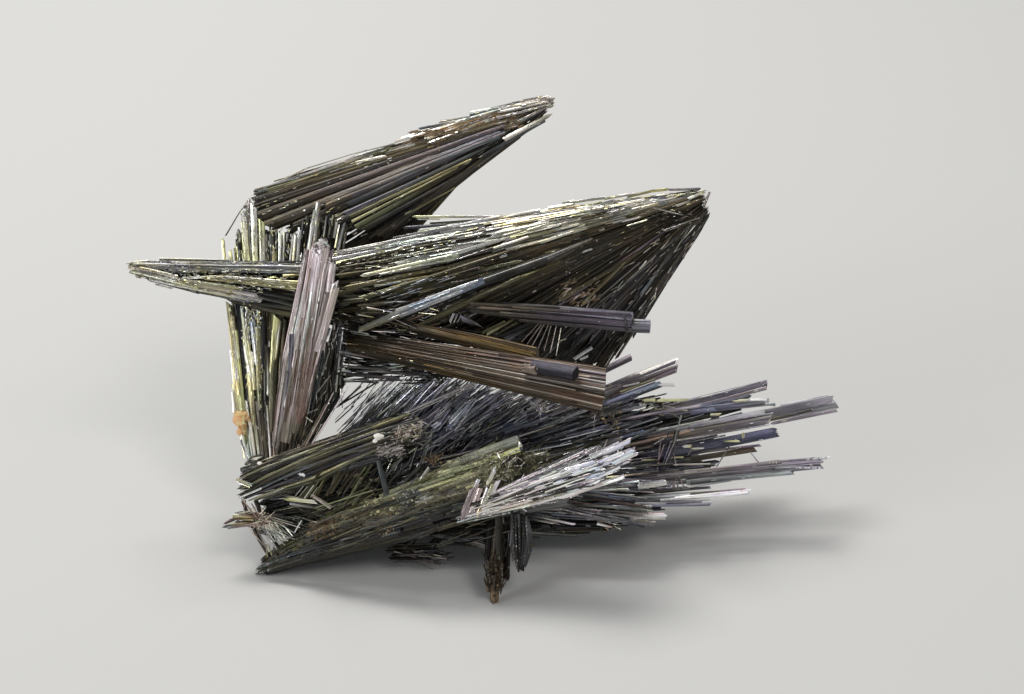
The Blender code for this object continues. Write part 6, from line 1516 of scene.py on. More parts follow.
trace(S, 4.9, [(665, 464.8, 710, 463.8, 2.4, ("slate", "pale"), 0.8), (684, 472, 780, 461.5, (5, 5), ("mauve", "violet"), 0.8), (686, 482, 794, 471, (6, 5), ("steel", "slate"), 0.8),
               (690, 486, 732, 479, (4, 4), ("pale", "steel"), 0.9), (735, 478, 772, 474, (2.5, 2.5), ("silver", "pale"), 1.0), (770, 462, 826, 457.5, (3, 3), ("violet", "steel"), 0.6),
               (775, 468, 821, 467.5, (3, 3), ("steel", "pale"), 0.7), (800, 460, 829, 457, (2.5, 2.5), ("slate", "silver"), 0.8), (812, 458, 828, 456.6, (2, 2), ("umber", "pale"), 0.8),
               (640, 489, 686, 480, (4, 4), ("pale", "slate"), 1.0), (632, 494, 690, 488, (5, 5), ("brown", "slate"), 0.6), (660, 492, 710, 487, (3, 3), ("umber", "violet"), 0.5)])
trace(S, 3.0, [(675, 498.5, 748, 491.5, (4.5, 5), ("silver", "silver"), 0.5), (690, 494, 745, 488.5, (3, 3), ("brown", "mauve"), 0.5), (742, 492, 749, 491, (5, 5), ("pink", "silver"), 0.6),
               (640, 502, 700, 496, (3, 3), ("slate", "steel"), 0.5)])
trace(S, 1.6, [(636, 503, 666, 503, (2.6, 2.6), ("silver", "silver"), 0.6), (640, 505.5, 710, 504.5, (3, 3), ("blue", "steel"), 0.4), (660, 502, 709, 501, (2, 2.5), ("steel", "slate"), 0.6), (702, 502.5, 711, 502, 3.5, ("pale", "pale"), 0.6)])
trace(S, 0.0, [(610, 513, 664, 514, (3, 3), ("copper", "pink"), 0.5), (620, 517, 665, 518, (3, 3), ("silver", "pale"), 0.4), (643, 514.5, 666, 516, (3, 3.5), ("silver", "pink"), 0.5), (596, 518, 625, 519, (3, 3), ("copper", "silver"), 0.5),
               (597, 523, 612, 527, (4, 3), ("silver", "copper"), 0.6)])
grain_patch(S, 8.0, (704, 424, 718, 433), 14, (0.08, 0.16), {"copper": 1, "pink": 1}, crust=0.7, lift=0.35)
grain_patch(S, 8.4, (761, 446, 772, 452), 10, (0.18, 0.36), {"pink": 1}, crust=0.6, lift=0.3)
grain_patch(S, 4.0, (767, 457, 778, 464), 14, (0.1, 0.22), {"gold": 1, "olive": 1}, crust=0.6, lift=0.3)
grain_patch(S, 3.9, (755, 473, 768, 480), 8, (0.08, 0.18), {"pink": 1, "silver": 1}, crust=0.6, lift=0.3)
grain_patch(S, 4.6, (795, 456, 828, 470), 40, (0.1, 0.24), {"violet": 2, "pale": 1, "umber": 1}, crust=0.5, lift=0.3)
grain_patch(S, 8.9, (640, 401, 681, 413), 60, (0.12, 0.28), {"rust": 1, "bronze": 2, "gold": 1}, crust=0.75, lift=0.2)
hairs(S, 26, (640, 398, 684, 414), (-30, 40), (0.6, 2.0), (0.07, 0.14), {"gold": 2, "pale": 2, "bronze": 1}, (7.4, 8.6))
# the first three rows are painted highlights: matte gold and silver flashes on the big crystals
top = Top((600, 355, 700, 420), (4.0, 13.0))
trace(S, top, [(646, 400, 655, 400, (3, 3), ("gold", "gold"), 0.2, "flat", 0.95), (659, 400.5, 689, 399.5, (3.4, 2.6), ("gold", "gold"), 0.25, "flat", 0.95), (662, 384.9, 673.5, 384.9, (3.5, 4), ("silver", "silver"), 0.1, "flat", 0.95),
               (607, 403, 660.4, 383.3, (5, 5.5), ("indigo", "blue"), 0.25, "flat"), (610, 400.5, 658, 382, (1.4, 1.6), ("blue", "pale"), 0.5, "flat")], flat=0.5)
trace(S, Top((600, 355, 835, 520), (-1.0, 15.0), clear=True), [(690, 482.5, 792, 472.5, (5, 4.5), ("slate", "steel"), -0.1), (612, 421, 700, 405.5, (3, 4), ("violet", "mauve"), -0.1), (668, 438, 768, 420.5, (6, 7), ("brown", "violet"), -0.1),
               (660, 500, 748, 492.5, (3, 3.4), ("pale", "silver"), 0.0), (640, 506, 709, 503.4, (2.4, 2.6), ("blue", "steel"), 0.0), (600, 452, 690, 431, (3.5, 4.5), ("umber", "copper"), -0.1)])
sparkle(S, (600, 360, 835, 500), 300, {"silver": 3, "pale": 3, "steel": 2, "gold": 0.5, "copper": 1}, (-1, 15), (0.12, 0.7), (0.05, 0.12))
show(S, DULL, "violet_stibnite")
S = Sheaf("cross_needles", 68, 1.3)
trace(S, 5.4, [(657, 471, 661, 437, 1.4, ("pink", "copper")), (660, 471, 671, 441, 1.5, ("indigo", "violet")), (662, 471, 676, 438, 1.4, ("copper", "pink")), (665, 470, 681, 415, 1.5, ("violet", "pale")),
               (668, 466, 679, 430, 1.4, ("violet", "steel")), (672, 462, 676, 444, 1.4, ("umber", "violet")), (663, 466, 668, 432, 1.3, ("umber", "indigo")), (670, 458, 675, 430, 1.5, ("indigo", "umber")),
               (655, 470, 664, 444, 1.2, ("copper", "pink")), (654, 444, 664, 438, 1.2, ("pink", "pale")), (676, 466, 673, 452, 1.2, ("pink", "copper")),
               (729, 446, 715.4, 467.8, 1.5, ("slate", "pale")), (688, 455, 692, 447, 1.2, ("pink", "pink")), (758, 462, 750, 452, 1.4, ("pink", "silver")), (793, 463, 797, 468, 1.6, ("gold", "pale"))])
trace(S, 3.4, [(620.5, 495, 639.6, 480.5, (5, 6), ("black", "umber")), (621.3, 474, 628.5, 498, 2.6, ("black", "black")), (627, 486, 637, 476, 1.5, ("silver", "silver")), (604, 513, 612, 503, 1.8, ("pale", "silver")),
               (668, 488, 671, 480, 2.0, ("pink", "pale")), (678, 488, 676, 478, 2.0, ("mauve", "pale")), (684, 487, 680, 479, 1.5, ("pink", "copper")), (673, 489, 674, 482, 3.0, ("copper", "pink")),
               (556, 521, 549, 531, 1.8, ("mauve", "slate")), (574, 524, 566, 533, 1.8, ("slate", "mauve"))])
show(S, VIOLET, "violet_stibnite")

# ---------------------------------------------------------------- H, I, the lower blades
H_ROOT, H_ENDS = [(256, 569, 0.2), (257, 577, 0.0)], [(508, 439, -3.8), (521, 447, -4.4), (522, 468, -5.0), (502, 498, -5.2), (458, 520, -4.8)]
FRONT_H = Front(H_ROOT, H_ENDS, (1.1, 4.6))
S = Sheaf("front_lower_needles", 71, 1.2)
fan(S, H_ROOT, H_ENDS, (1.1, 4.5), 330, (0.2, 0.75), [(0.0, {"moss": 4, "olive": 2, "umber": 3}), (0.4, {"moss": 3, "umber": 4, "slate": 2}),
    (0.75, {"slate": 2, "umber": 5, "black": 2, "brown": 1}), (1.0, {"umber": 4, "black": 2, "slate": 1})], ribs=6, start=(0, 0.5), stop=(0.88, 1.0),
    cut=(0, 0, .06, .02), crust=rusty([(0.0, 0.5, 0.15, 0.75)], 0.5), sides=7)
fan(S, [(262, 558, 0.6), (262, 564, 0.4)], [(345, 504, -0.2), (398, 491, -2.4)], (.8, 2.6), 70, (0.2, 0.55), {"moss": 3, "umber": 4, "slate": 1, "olive": 2},
    ribs=2, stop=(0.8, 1.0), start=(0, 0.4), sides=7)
trace(S, FRONT_H, [
    (448, 467, 520, 441, (12, 13), ("lichen", "steel"), 0.0, "flat", 0.25), (455, 461, 517, 438, (5, 6), ("steel", "pale"), 0.35, "flat", 0.3), (452, 472, 520, 449, (5, 6), ("olive", "gold"), 0.3, "flat", 0.2),
    (380, 497, 450, 468, (6, 9), ("lichen", "olive"), 0.0, "slant", 0.3), (360, 508, 455, 474, (6, 8), ("lichen", "lichen"), 0.1, "slant", 0.2), (395, 499, 470, 474, (3, 4), ("olive", "gold"), 0.4),
    (330, 522, 440, 484, (6, 8), ("umber", "lichen"), 0.1), (300, 538, 420, 492, (5, 8), ("umber", "slate"), 0.1), (275, 553, 390, 502, (4, 7), ("umber", "lichen"), 0.0, "slant", 0.2),
    (262, 566, 360, 528, (4, 7), ("slate", "umber"), 0.1), (270, 567, 440, 512, (4, 8), ("umber", "slate"), 0.1), (268, 572, 450, 524, (4, 7), ("black", "umber"), 0.0),
    (300, 562, 470, 519, (4, 6), ("umber", "brown"), 0.1), (420, 505, 500, 483, (6, 7), ("lichen", "umber"), 0.1, "slant", 0.3), (430, 514, 492, 497, (6, 6), ("umber", "slate"), 0.1),
    (440, 490, 500, 466, (5, 7), ("olive", "lichen"), 0.3, "slant", 0.4), (340, 541, 430, 517, (3, 4), ("slate", "slate"), 0.3), (360, 530, 450, 504, (3, 4), ("slate", "umber"), 0.3),
    (290, 556, 380, 531, (3, 4), ("slate", "umber"), 0.25), (520, 444, 521, 447, (4, 4), ("silver", "silver"), 0.6)], lift=0.0, flat=0.5)
hairs(S, 90, (300, 506, 500, 548), (14, 26), (2.0, 8.0), (0.08, 0.2), {"umber": 4, "slate": 3, "moss": 2}, (-7.2, -1.0), 0.95)
show(S, OLIVE, "olive_stibnite", "lower_blade_front")
S = Sheaf("lower_blade_crust", 74, 1.1)
top = Top((256, 436, 556, 576), (-8.5, 1.5))
scales(S, top, (312, 521, 340, 536), 60, {"rust": 3, "copper": 1, "olive": 1, "umber": 1}, 22, (0.4, 1.6), (0.15, 0.5))
scales(S, top, (340, 511, 364, 523), 40, {"olive": 3, "rust": 1, "umber": 2}, 22, (0.4, 1.6), (0.15, 0.5))
scales(S, top, (366, 500, 400, 513), 70, {"gold": 1, "olive": 4, "moss": 2, "rust": 1}, 22, (0.4, 1.6), (0.15, 0.5))
scales(S, top, (396, 491, 430, 502), 60, {"pale": 2, "steel": 3, "lichen": 3}, 20, (0.4, 1.4), (0.15, 0.45))
for box, n in (((296, 528, 345, 550), 60), ((340, 516, 390, 538), 60), ((385, 508, 425, 526), 45), ((425, 502, 462, 516), 30)):
    scales(S, top, box, n, {"umber": 5, "brown": 2, "slate": 2, "moss": 1}, 18, (0.5, 2.6), (0.15, 0.5))
scales(S, top, (420, 488, 478, 506), 70, {"umber": 4, "brown": 2, "slate": 2, "moss": 1}, 20, (0.5, 2.6), (0.15, 0.5))
low = Top((256, 500, 500, 580), (-8.5, 1.5), clear=True)
for _ in range(46):
    f = S.rng.uniform()
    x1, y1 = 500 - 44 * f, 494 + 27 * f
    g, h = S.rng.uniform(0, 0.5), S.rng.uniform(0.6, 1.0)
    trace(S, low, [(258 + (x1 - 258) * g, 573 + (y1 - 573) * g, 258 + (x1 - 258) * h, 573 + (y1 - 573) * h, (S.rng.uniform(2.0, 4), S.rng.uniform(3, 6)),
                    (pick(S.rng, {"umber": 3, "black": 5}, 0), pick(S.rng, {"umber": 3, "black": 5}, 0)), -0.3, "slant")])
scales(S, top, (440, 462, 516, 486), 170, {"moss": 2, "olive": 4, "lichen": 5, "gold": 2}, 22, (0.4, 1.8), (0.15, 0.5))
scales(S, top, (505, 452, 548, 474), 90, {"moss": 4, "olive": 3, "umber": 2, "gold": 0.4}, 12, (0.4, 1.4), (0.15, 0.45), spread=30)
scales(S, top, (270, 546, 312, 562), 40, {"umber": 4, "slate": 3, "moss": 1}, 30, (0.4, 1.6), (0.12, 0.4))
grain_patch(S, FRONT_H, (396, 491, 430, 502), 90, (0.10, 0.22), {"pale": 3, "steel": 3, "lichen": 2}, crust=0.75, lift=0.1)
grain_patch(S, FRONT_H, (366, 500, 398, 514), 130, (0.12, 0.30), {"gold": 2, "olive": 2, "rust": 1}, crust=0.75, lift=0.1)
grain_patch(S, FRONT_H, (310, 521, 341, 538), 150, (0.12, 0.34), {"rust": 3, "copper": 1, "olive": 1}, crust=0.8, lift=0.1)
grain_patch(S, FRONT_H, (341, 511, 362, 522), 26, (0.12, 0.26), {"olive": 3, "rust": 1}, crust=0.8, lift=0.1)
grain_patch(S, FRONT_H, (380, 524, 394, 533), 18, (0.12, 0.28), {"rust": 3}, crust=0.8, lift=0.05)
tuft(S, 496, 468, FRONT_H.depth(496, 468) - 0.3, 170, (0, 360), (0.3, 1.1), {"lichen": 3, "olive": 4, "gold": 1.5, "moss": 2}, (0.06, 0.14), 10.0, 0.2, 0.95)
tuft(S, 532, 462, -3.4, 130, (0, 360), (0.3, 1.1), {"lichen": 2, "olive": 4, "gold": 1, "moss": 3}, (0.06, 0.14), 8.0, 0.2, 0.95)
grain_patch(S, FRONT_H, (470, 455, 515, 482), 260, (0.10, 0.24), {"moss": 2, "gold": 3, "olive": 3, "lichen": 2}, crust=0.7, lift=0.0)
grain_patch(S, -3.6, (515, 450, 552, 476), 160, (0.10, 0.24), {"moss": 2, "gold": 2, "olive": 3, "lichen": 2}, crust=0.7, lift=-0.6)
grain_patch(S, FRONT_H, (256, 545, 275, 572), 20, (0.1, 0.22), {"slate": 2, "pale": 1, "olive": 1}, crust=0.6, lift=0.0)
tuft(S, 434, 463, -3.4, 26, (0, 180), (0.5, 1.6), {"rust": 3, "copper": 2}, (0.06, 0.12), 3.0, 0.5)
grain_patch(S, -3.2, (426, 459, 441, 467), 18, (0.1, 0.24), {"rust": 2, "copper": 1}, crust=0.8, lift=0.2)
S.lump(at([(548, 454, -4.8)])[0], 0.26, S.tone_of("gold", 0.05), 0.3, 1)
S.lump(at([(521, 446, -5.6)])[0], 0.28, S.tone_of("silver", 0.05), 0.3, 1)
trace(S, -4.2, [(422, 477, 429, 468, (3, 3.5), ("pale", "silver")), (536, 470, 622, 438, (5, 5), ("brown", "mauve"), 3.2), (540, 463, 600, 442, (4, 4), ("umber", "brown"), 2.6)])
show(S, OLIVE, "olive_stibnite")

I_ROOT, I_ENDS = [(244, 467, -0.7), (239, 482, -1.0), (242, 497, -1.3)], [(405, 413, 0.6), (428, 421, -0.2), (432, 438, -1.2), (408, 452, -1.8)]
FRONT_I = Front(I_ROOT, I_ENDS, (1.4, 3.4))
S = Sheaf("back_lower_needles", 72, 1.5)
fan(S, I_ROOT, I_ENDS, (1.4, 3.3), 220, (0.2, 0.6), [(0.0, {"olive": 2, "umber": 4, "black": 2}), (0.5, {"umber": 4, "slate": 2, "black": 3}),
    (1.0, {"umber": 3, "black": 4, "olive": 1})], ribs=5, start=(0, 0.45), stop=(0.75, 1.0), tips=(0.4, 0.3, 0.3), sides=7)


def bent(S, front, rows, lift=0.2, flat=0.5):
    """Crystals with a middle point: x0, y0, xm, ym, x1, y1, width, tone."""
    for x0, y0, xm, ym, x1, y1, wid, tone in rows:
        pts = at([(x0, y0, front.depth(x0, y0) - lift), ((x0 + xm) / 2, (y0 + ym) / 2 - 1.0, front.depth((x0 + xm) / 2, (y0 + ym) / 2) - lift),
                  (xm, ym, front.depth(xm, ym) - lift), ((x1 + xm) / 2, (y1 + ym) / 2 - 1.0, front.depth((x1 + xm) / 2, (y1 + ym) / 2) - lift), (x1, y1, front.depth(x1, y1) - lift)])
        w = wid * UNIT
        d = unit(pts[-1] - pts[0])
        S.add(pts, w * np.array([0.25, 0.45, 0.5, 0.5, 0.45]), np.maximum(w * flat * 0.5, 0.08), unit(np.cross(d, SIGHT_DIR)), sides=9 if w < 0.6 else 14,
              tones=S.tone_of(tone, 0.12), groove=0.08, end="slant", slant=S.rng.uniform(-1, 1), start="point")


bent(S, FRONT_I, [
    (241, 476, 282, 457, 342, 437, 3.5, "umber"), (240, 478, 284, 461, 350, 437, 3.0, "olive"), (244, 484, 290, 461, 372, 429, 4.5, "black"), (243, 488, 292, 465, 378, 430, 3.0, "olive"),
    (242, 495, 296, 466, 384, 434, 5.0, "umber"), (244, 497, 300, 470, 390, 437, 3.0, "slate"), (246, 498, 306, 474, 396, 441, 5.0, "black"), (250, 500, 312, 478, 380, 448, 3.5, "olive"),
    (256, 500, 318, 480, 372, 452, 4.0, "umber"), (260, 498, 316, 476, 360, 457, 2.4, "steel"), (262, 471, 300, 454, 356, 436, 2.5, "slate"), (258, 466, 300, 450, 340, 437, 3.0, "black"),
    (270, 470, 330, 447, 404, 418, 3.0, "umber"), (280, 466, 340, 441, 410, 414, 2.4, "olive"), (292, 463, 350, 441, 420, 419, 2.4, "slate"), (300, 474, 356, 450, 424, 428, 3.0, "umber")])
trace(S, FRONT_I, [(236.5, 479, 252.5, 485, (2.4, 3), ("gold", "pale"), 0.5), (238, 482, 250, 487, (1.5, 1.5), ("silver", "gold"), 0.5), (296.5, 494.7, 304, 485.6, 1.1, ("silver", "silver"), 1.0), (300, 496, 308, 486, 1.0, ("pale", "pale"), 1.0),
                   (305, 497.5, 314, 485, 1.2, ("silver", "silver"), 1.0), (311, 497, 318, 487, 1.2, ("pink", "pale"), 1.0), (241, 497, 262, 488, 2.2, ("silver", "pale"), 0.4)])
flecks(S, FRONT_I, 40, {"pale": 2, "steel": 3, "olive": 2}, (0.0, 1.0), (0.0, 1.0), lift=0.2, width=(0.06, 0.14))
show(S, OLIVE, "olive_stibnite", "lower_blade_back")
S = Sheaf("inner_bundles", 75, 1.2)
for i in range(16):
    x0, y0 = 300 + i * 4.2 + S.rng.normal(0, 1.5), 503 - i * 1.2
    trace(S, -1.6, [(x0, y0, x0 + 24 + S.rng.normal(0, 4), y0 - 34 - S.rng.normal(0, 4), S.rng.uniform(2.0, 3.6), (pick(S.rng, {"olive": 3, "umber": 4, "brown": 2, "slate": 1}, 0),) * 2, S.rng.uniform(-0.3, 0.6))])
trace(S, -2.4, [(289, 499, 316, 501.7, (4, 4), ("gold", "silver")), (290, 503, 326, 509, (4, 4), ("steel", "umber")), (314, 496, 332, 507.4, (4, 5), ("mauve", "mauve")), (284, 496, 300, 498, 2, ("umber", "pale")),
                (378.5, 460, 388, 498, (5, 7), ("slate", "slate")), (384, 470, 389, 499, (2.5, 3), ("black", "slate")), (381, 462, 386, 490, (1.2, 1.2), ("steel", "pale")),
                (392, 494, 420, 466, (4, 5), ("slate", "umber")), (396, 497, 432, 470, (3, 4), ("umber", "slate")), (386, 476, 402, 458, (2.4, 2.4), ("slate", "steel")), (390, 482, 409, 462, (3, 3), ("black", "slate")),
                (353, 505, 372, 480, (3, 4), ("olive", "umber")), (345, 505, 362, 478, (3, 4), ("umber", "olive"))])
hairs(S, 70, (376, 446, 430, 500), (10, 80), (0.8, 3.5), (0.08, 0.24), {"slate": 3, "black": 3, "steel": 2, "umber": 2, "pale": 0.6}, (-3.0, -0.6))
grain_patch(S, -1.4, (358, 476, 380, 500), 30, (0.14, 0.4), {"brown": 2, "bronze": 2, "olive": 1}, crust=0.7, lift=0.3)
tuft(S, 262, 522, -1.9, 46, (-62, -8), (1.4, 4.2), {"silver": 3, "pale": 3, "steel": 2}, (0.07, 0.15), 4.5, 0.2)
trace(S, -2.0, [(275, 522, 285, 537, 1.4, ("silver", "silver")), (279, 523, 295, 533, 1.4, ("silver", "pale")), (270, 524, 277, 542, 1.4, ("silver", "pale")), (267, 529, 275, 545, 1.3, ("pale", "silver")), (283, 524, 293, 536, 1.2, ("pale", "silver")),
                (295, 532, 302, 520, 1.4, ("silver", "silver"))])
show(S, OLIVE, "olive_stibnite")
S = Sheaf("white_grains", 76)
for x, y, d, r in ((379, 437, -2.2, 0.62), (303, 474, -2.0, 0.46), (299.5, 475, -1.9, 0.3), (260, 463.5, -1.5, 0.3), (376, 441, -2.2, 0.4), (350, 446, -1.9, 0.16)):
    S.lump(at([(x, y, d)])[0], r, S.tone_of("silver", 0.03) * 1.2, crust=0.95, detail=2, squash=(1.1, 0.9, 0.85), rough=0.35)
show(S, GRAINS, "silver_stibnite")
S = Sheaf("beige_crust", 77)
top = Top((376, 420, 426, 460), (-4.5, 2.0))
scales(S, top, (394, 426, 421, 438), 80, {"pink": 2, "gold": 1, "pale": 2, "copper": 3, "umber": 3}, 30, (0.3, 1.1), (0.08, 0.24), spread=34)
scales(S, top, (379, 443, 402, 455), 60, {"mauve": 3, "pale": 1, "pink": 1, "violet": 2}, 26, (0.3, 1.2), (0.1, 0.3), spread=28)
for x, y in ((397, 436), (404, 432), (411, 429), (418, 425)):
    tuft(S, x, y, -2.3, 14, (0, 360), (0.3, 0.8), {"pink": 4, "cream": 1, "pale": 2, "copper": 3}, (0.05, 0.09), 2.6, 0.3, 0.95)
for x, y in ((381, 454), (388, 450), (395, 447), (402, 443)):
    tuft(S, x, y, -2.3, 10, (0, 360), (0.3, 0.8), {"mauve": 3, "pale": 2, "violet": 2}, (0.05, 0.09), 2.4, 0.3, 0.95)
for box in ((391, 432, 402, 441), (399, 428, 411, 437), (408, 424, 424, 432)):
    grain_patch(S, -1.9, box, 34, (0.07, 0.19), {"pink": 2, "cream": 1, "pale": 1, "copper": 3, "bronze": 2}, crust=0.8, lift=0.2)
grain_patch(S, -2.1, (378, 445, 402, 455), 30, (0.10, 0.22), {"mauve": 3, "pale": 1, "violet": 1}, crust=0.75, lift=0.2)
tuft(S, 420, 438, -2.0, 34, (0, 360), (0.5, 1.5), {"steel": 3, "pale": 2, "olive": 2, "umber": 2}, (0.05, 0.11), 4.5, 0.3)
show(S, GRAINS, "earthy_stibnite")
S = Sheaf("black_lump", 78)
for x, y, d, r in ((255, 463, -0.4, 1.0), (263, 458, -0.2, 0.8), (248, 470, -0.6, 0.7)):
    S.lump(at([(x, y, d)])[0], r, S.tone_of("slate", 0.1), crust=0.2, detail=2, squash=(1.2, 0.8, 0.7), rough=0.6)
show(S, OLIVE, "olive_stibnite")

V_ROOT, V_ENDS = [(450, 513, -6.4), (458, 523, -6.2)], [(602, 441, -9.0), (633, 448, -9.4), (632, 460, -9.4), (604, 478, -8.8), (574, 496, -8.0)]
FRONT_V = Front(V_ROOT, V_ENDS, (.9, 2.8))
S = Sheaf("silver_needles", 73, 1.45)
fan(S, V_ROOT, V_ENDS, (.9, 2.7), 230, (0.18, 0.6), {"silver": 4, "pale": 4, "pink": 3, "violet": 2, "mauve": 2, "steel": 1}, ribs=4, start=(0, 0.5), stop=(0.78, 1.02),
    cut=(.05, 0, .03, .02), core_tone="slate", tips=(0.4, 0.4, 0.2), sides=7)
trace(S, FRONT_V, [
    (562, 497, 624, 476, (4, 5), ("pink", "silver"), 0.2), (563, 497, 600, 480, (3, 3), ("silver", "silver"), 0.4), (530, 484, 598, 463, (4, 5), ("pink", "silver"), 0.2),
    (565, 470, 594, 462, (4, 4), ("silver", "silver"), 0.4), (575, 474, 591, 469, (3, 3), ("copper", "pink"), 0.4), (589, 472, 604, 468, (3, 3.5), ("blue", "silver"), 0.4),
    (590, 458, 620, 444, (6, 6), ("pale", "silver"), 0.1), (600, 462, 632, 450, (6, 6), ("mauve", "silver"), 0.2), (616, 447, 630, 440, (5, 5), ("silver", "pale"), 0.3), (614, 463, 634, 454, (5, 5), ("silver", "pink"), 0.3),
    (490, 504, 560, 482, (4, 5), ("pink", "silver"), 0.3), (500, 511, 590, 487, (4, 5), ("copper", "pink"), 0.2), (505, 500, 545, 487, (2.4, 2.4), ("silver", "silver"), 0.45),
    (470, 516, 530, 500, (4, 5), ("mauve", "pink"), 0.2), (458, 521, 500, 508, (4, 5), ("steel", "mauve"), 0.2), (540, 480, 580, 468, (3, 3.5), ("silver", "pink"), 0.45), (560, 488, 605, 474, (3, 3), ("violet", "silver"), 0.4)],
    lift=0.05, flat=0.45)
flecks(S, FRONT_V, 150, {"silver": 6, "pink": 2, "pale": 2, "blue": 1}, (0, 1), (0.2, 1.0), lift=0.25, length=(0.25, 1.3), width=(0.08, 0.22), spread=0.08)
for x0, y0, x1, y1, w, tone in ((473, 491, 478.6, 479, 4.2, ("pink", "silver")), (479, 511, 488, 488, 5, ("gold", "silver")), (488, 482, 494.7, 468.7, 4.4, ("gold", "silver")), (464, 513, 474, 487, 8, ("mauve", "mauve")),
                                (471, 513, 480, 488, 6, ("mauve", "pink")), (491.8, 493, 498, 480.5, 4.5, ("pink", "silver")), (484, 505, 493, 484, 4, ("pale", "gold"))):
    trace(S, -8.6, [(x0, y0, x1, y1, w, tone)], flat=0.6)
sparkle(S, (480, 445, 634, 518), 360, {"silver": 5, "pink": 2, "pale": 2, "blue": 0.6}, (-12, -5), (0.2, 1.0), (0.06, 0.14))
# painted glints: matte silver and pink flecks
sparkle(S, (500, 452, 634, 505), 170, {"silver": 5, "pink": 1}, (-12, -5), (0.15, 0.7), (0.05, 0.11), crust=0.95)
grain_patch(S, -9.6, (615, 439, 633, 463), 26, (0.1, 0.26), {"silver": 3, "pink": 1, "violet": 1}, crust=0.3, lift=0.3)
show(S, SILVER, "silver_stibnite", "silver_sheaf")

# painted highlights on the silver sheaf: matte cream, silver and blue-white streaks in place of glints
S = Sheaf("silver_painted_glints", 85, 1.0)
top = Top((450, 435, 640, 525), (-12.0, -5.0), clear=True)
trace(S, top, [(503, 497, 522, 488.5, (2, 2.6), ("cream", "cream")), (512, 500, 545, 486, (1.6, 2.2), ("cream", "silver")), (530, 484.5, 560, 473.5, (2.0, 3.0), ("cream", "silver")), (545, 492, 585, 478, (2, 2.6), ("cream", "cream")),
               (560, 497.5, 602, 484, (2.0, 2.6), ("cream", "pink")), (575, 474.5, 592, 468, (2.6, 3.0), ("cream", "silver")), (556, 475.6, 594, 461, (2.4, 3.2), ("silver", "ice")), (590, 470, 612, 461, (2.4, 3), ("ice", "ice")),
               (600, 462, 622, 452.5, (2.4, 3), ("ice", "silver")), (604, 454, 630, 441, (2.2, 3.2), ("silver", "ice")), (596, 478.5, 620, 467, (2, 2.6), ("ice", "silver")), (612, 463.5, 633, 453.5, (2.4, 3.2), ("ice", "silver")),
               (470, 509.5, 512, 498, (1.6, 2.2), ("pink", "cream")), (480, 516, 530, 505, (1.6, 2), ("copper", "cream")), (520, 507.5, 575, 492.5, (1.8, 2.2), ("pink", "cream")), (488, 503, 505, 496, (1.6, 2), ("cream", "cream")),
               (540, 478, 556, 471.5, (1.6, 2.2), ("silver", "silver")), (566, 487, 596, 475.5, (1.6, 2.4), ("silver", "ice")), (580, 492, 610, 480, (1.6, 2.2), ("pink", "silver")), (617, 458, 634, 450, (2.4, 3), ("silver", "ice")),
               (466, 516, 490, 510, (1.4, 1.8), ("cream", "pink")), (505, 490, 528, 481, (1.4, 2), ("pink", "silver"))], lift=-0.15, flat=0.4, crust=0.95)
rng = S.rng
for _ in range(34):
    f, g = rng.uniform(), rng.uniform(0.05, 0.7)
    x1, y1 = 606 + 26 * f, 484 - 42 * f
    x0, y0 = 458 + (x1 - 458) * g, 516 + (y1 - 516) * g
    l = rng.uniform(0.1, 0.3)
    trace(S, top, [(x0, y0, x0 + (x1 - 458) * l, y0 + (y1 - 516) * l, (0.8, rng.uniform(1.2, 2.2)), (pick(rng, {"umber": 3, "violet": 2, "black": 1}, 0),) * 2, -0.2, "point")])
# short streaks, half of them matte painted highlights, half metal
for _ in range(60):
    f, g = rng.uniform(), rng.uniform(0.15, 0.9)
    x1, y1 = 604 + 26 * f, 486 - 42 * f
    x0, y0 = 458 + (x1 - 458) * g, 516 + (y1 - 516) * g
    l = rng.uniform(0.03, 0.14)
    trace(S, top, [(x0, y0, x0 + (x1 - 458) * l, y0 + (y1 - 516) * l, rng.uniform(0.8, 1.7), (pick(rng, {"cream": 3, "silver": 3, "pink": 1} if g < 0.55 else {"ice": 3, "silver": 3}, 0),) * 2, -0.12, "flat", 0.95 if rng.uniform() < 0.5 else 0.0)])
show(S, PAINTED_GLINT, "silver_stibnite")

# ---------------------------------------------------------------- J, K, the foot and the beak
S = Sheaf("foot_crystals", 81, 0.5)
for path, w, t, tone, cr in (([(503, 506, -5.6), (499, 535, -5.9), (496, 564, -6.0), (494, 604, -6.0)], (2.0, 1.7, 1.6, 1.0), (2.2, 1.9, 1.8, 1.4), "umber", (0, 0, 0.35, 0.6)),
                             ([(492, 514, -5.0), (487, 560, -5.4)], (1, .8), (1, .8), "black", 0.0),
                             ([(507, 510, -4.8), (506, 580, -5.2)], (1, .9), (1, 1), "umber", 0.0),
                             ([(499, 514, -6.6), (500, 560, -7.0)], (1.1, 0.9), (.7, .7), "umber", 0.0),
                             ([(516, 512, -7.2), (512, 548, -7.2)], (0.9, 0.7), (.5, .5), "slate", 0.1),
                             ([(432, 533.5, -2.6), (464, 540, -3.8), (498, 549, -5.4)], (.6, .85, .8), (.6, .85, .8), "steel", 0.0),
                             ([(500, 531, -5.6), (578, 535.5, -3.0)], (.7, .4), (.7, .4), "slate", 0.0)):
    crystal(S, path, w, t, tone, 18, end="broken", start="broken", groove=0.14, crust=cr)
hairs(S, 90, (487, 562, 502, 592), (55, 125), (0.8, 2.4), (0.10, 0.24), {"brown": 4, "rust": 1, "copper": 1}, (-7.2, -5.6))
hairs(S, 50, (494, 508, 524, 560), (70, 110), (1.0, 3.4), (0.12, 0.3), {"umber": 4, "slate": 2, "steel": 1}, (-7.4, -5.6))
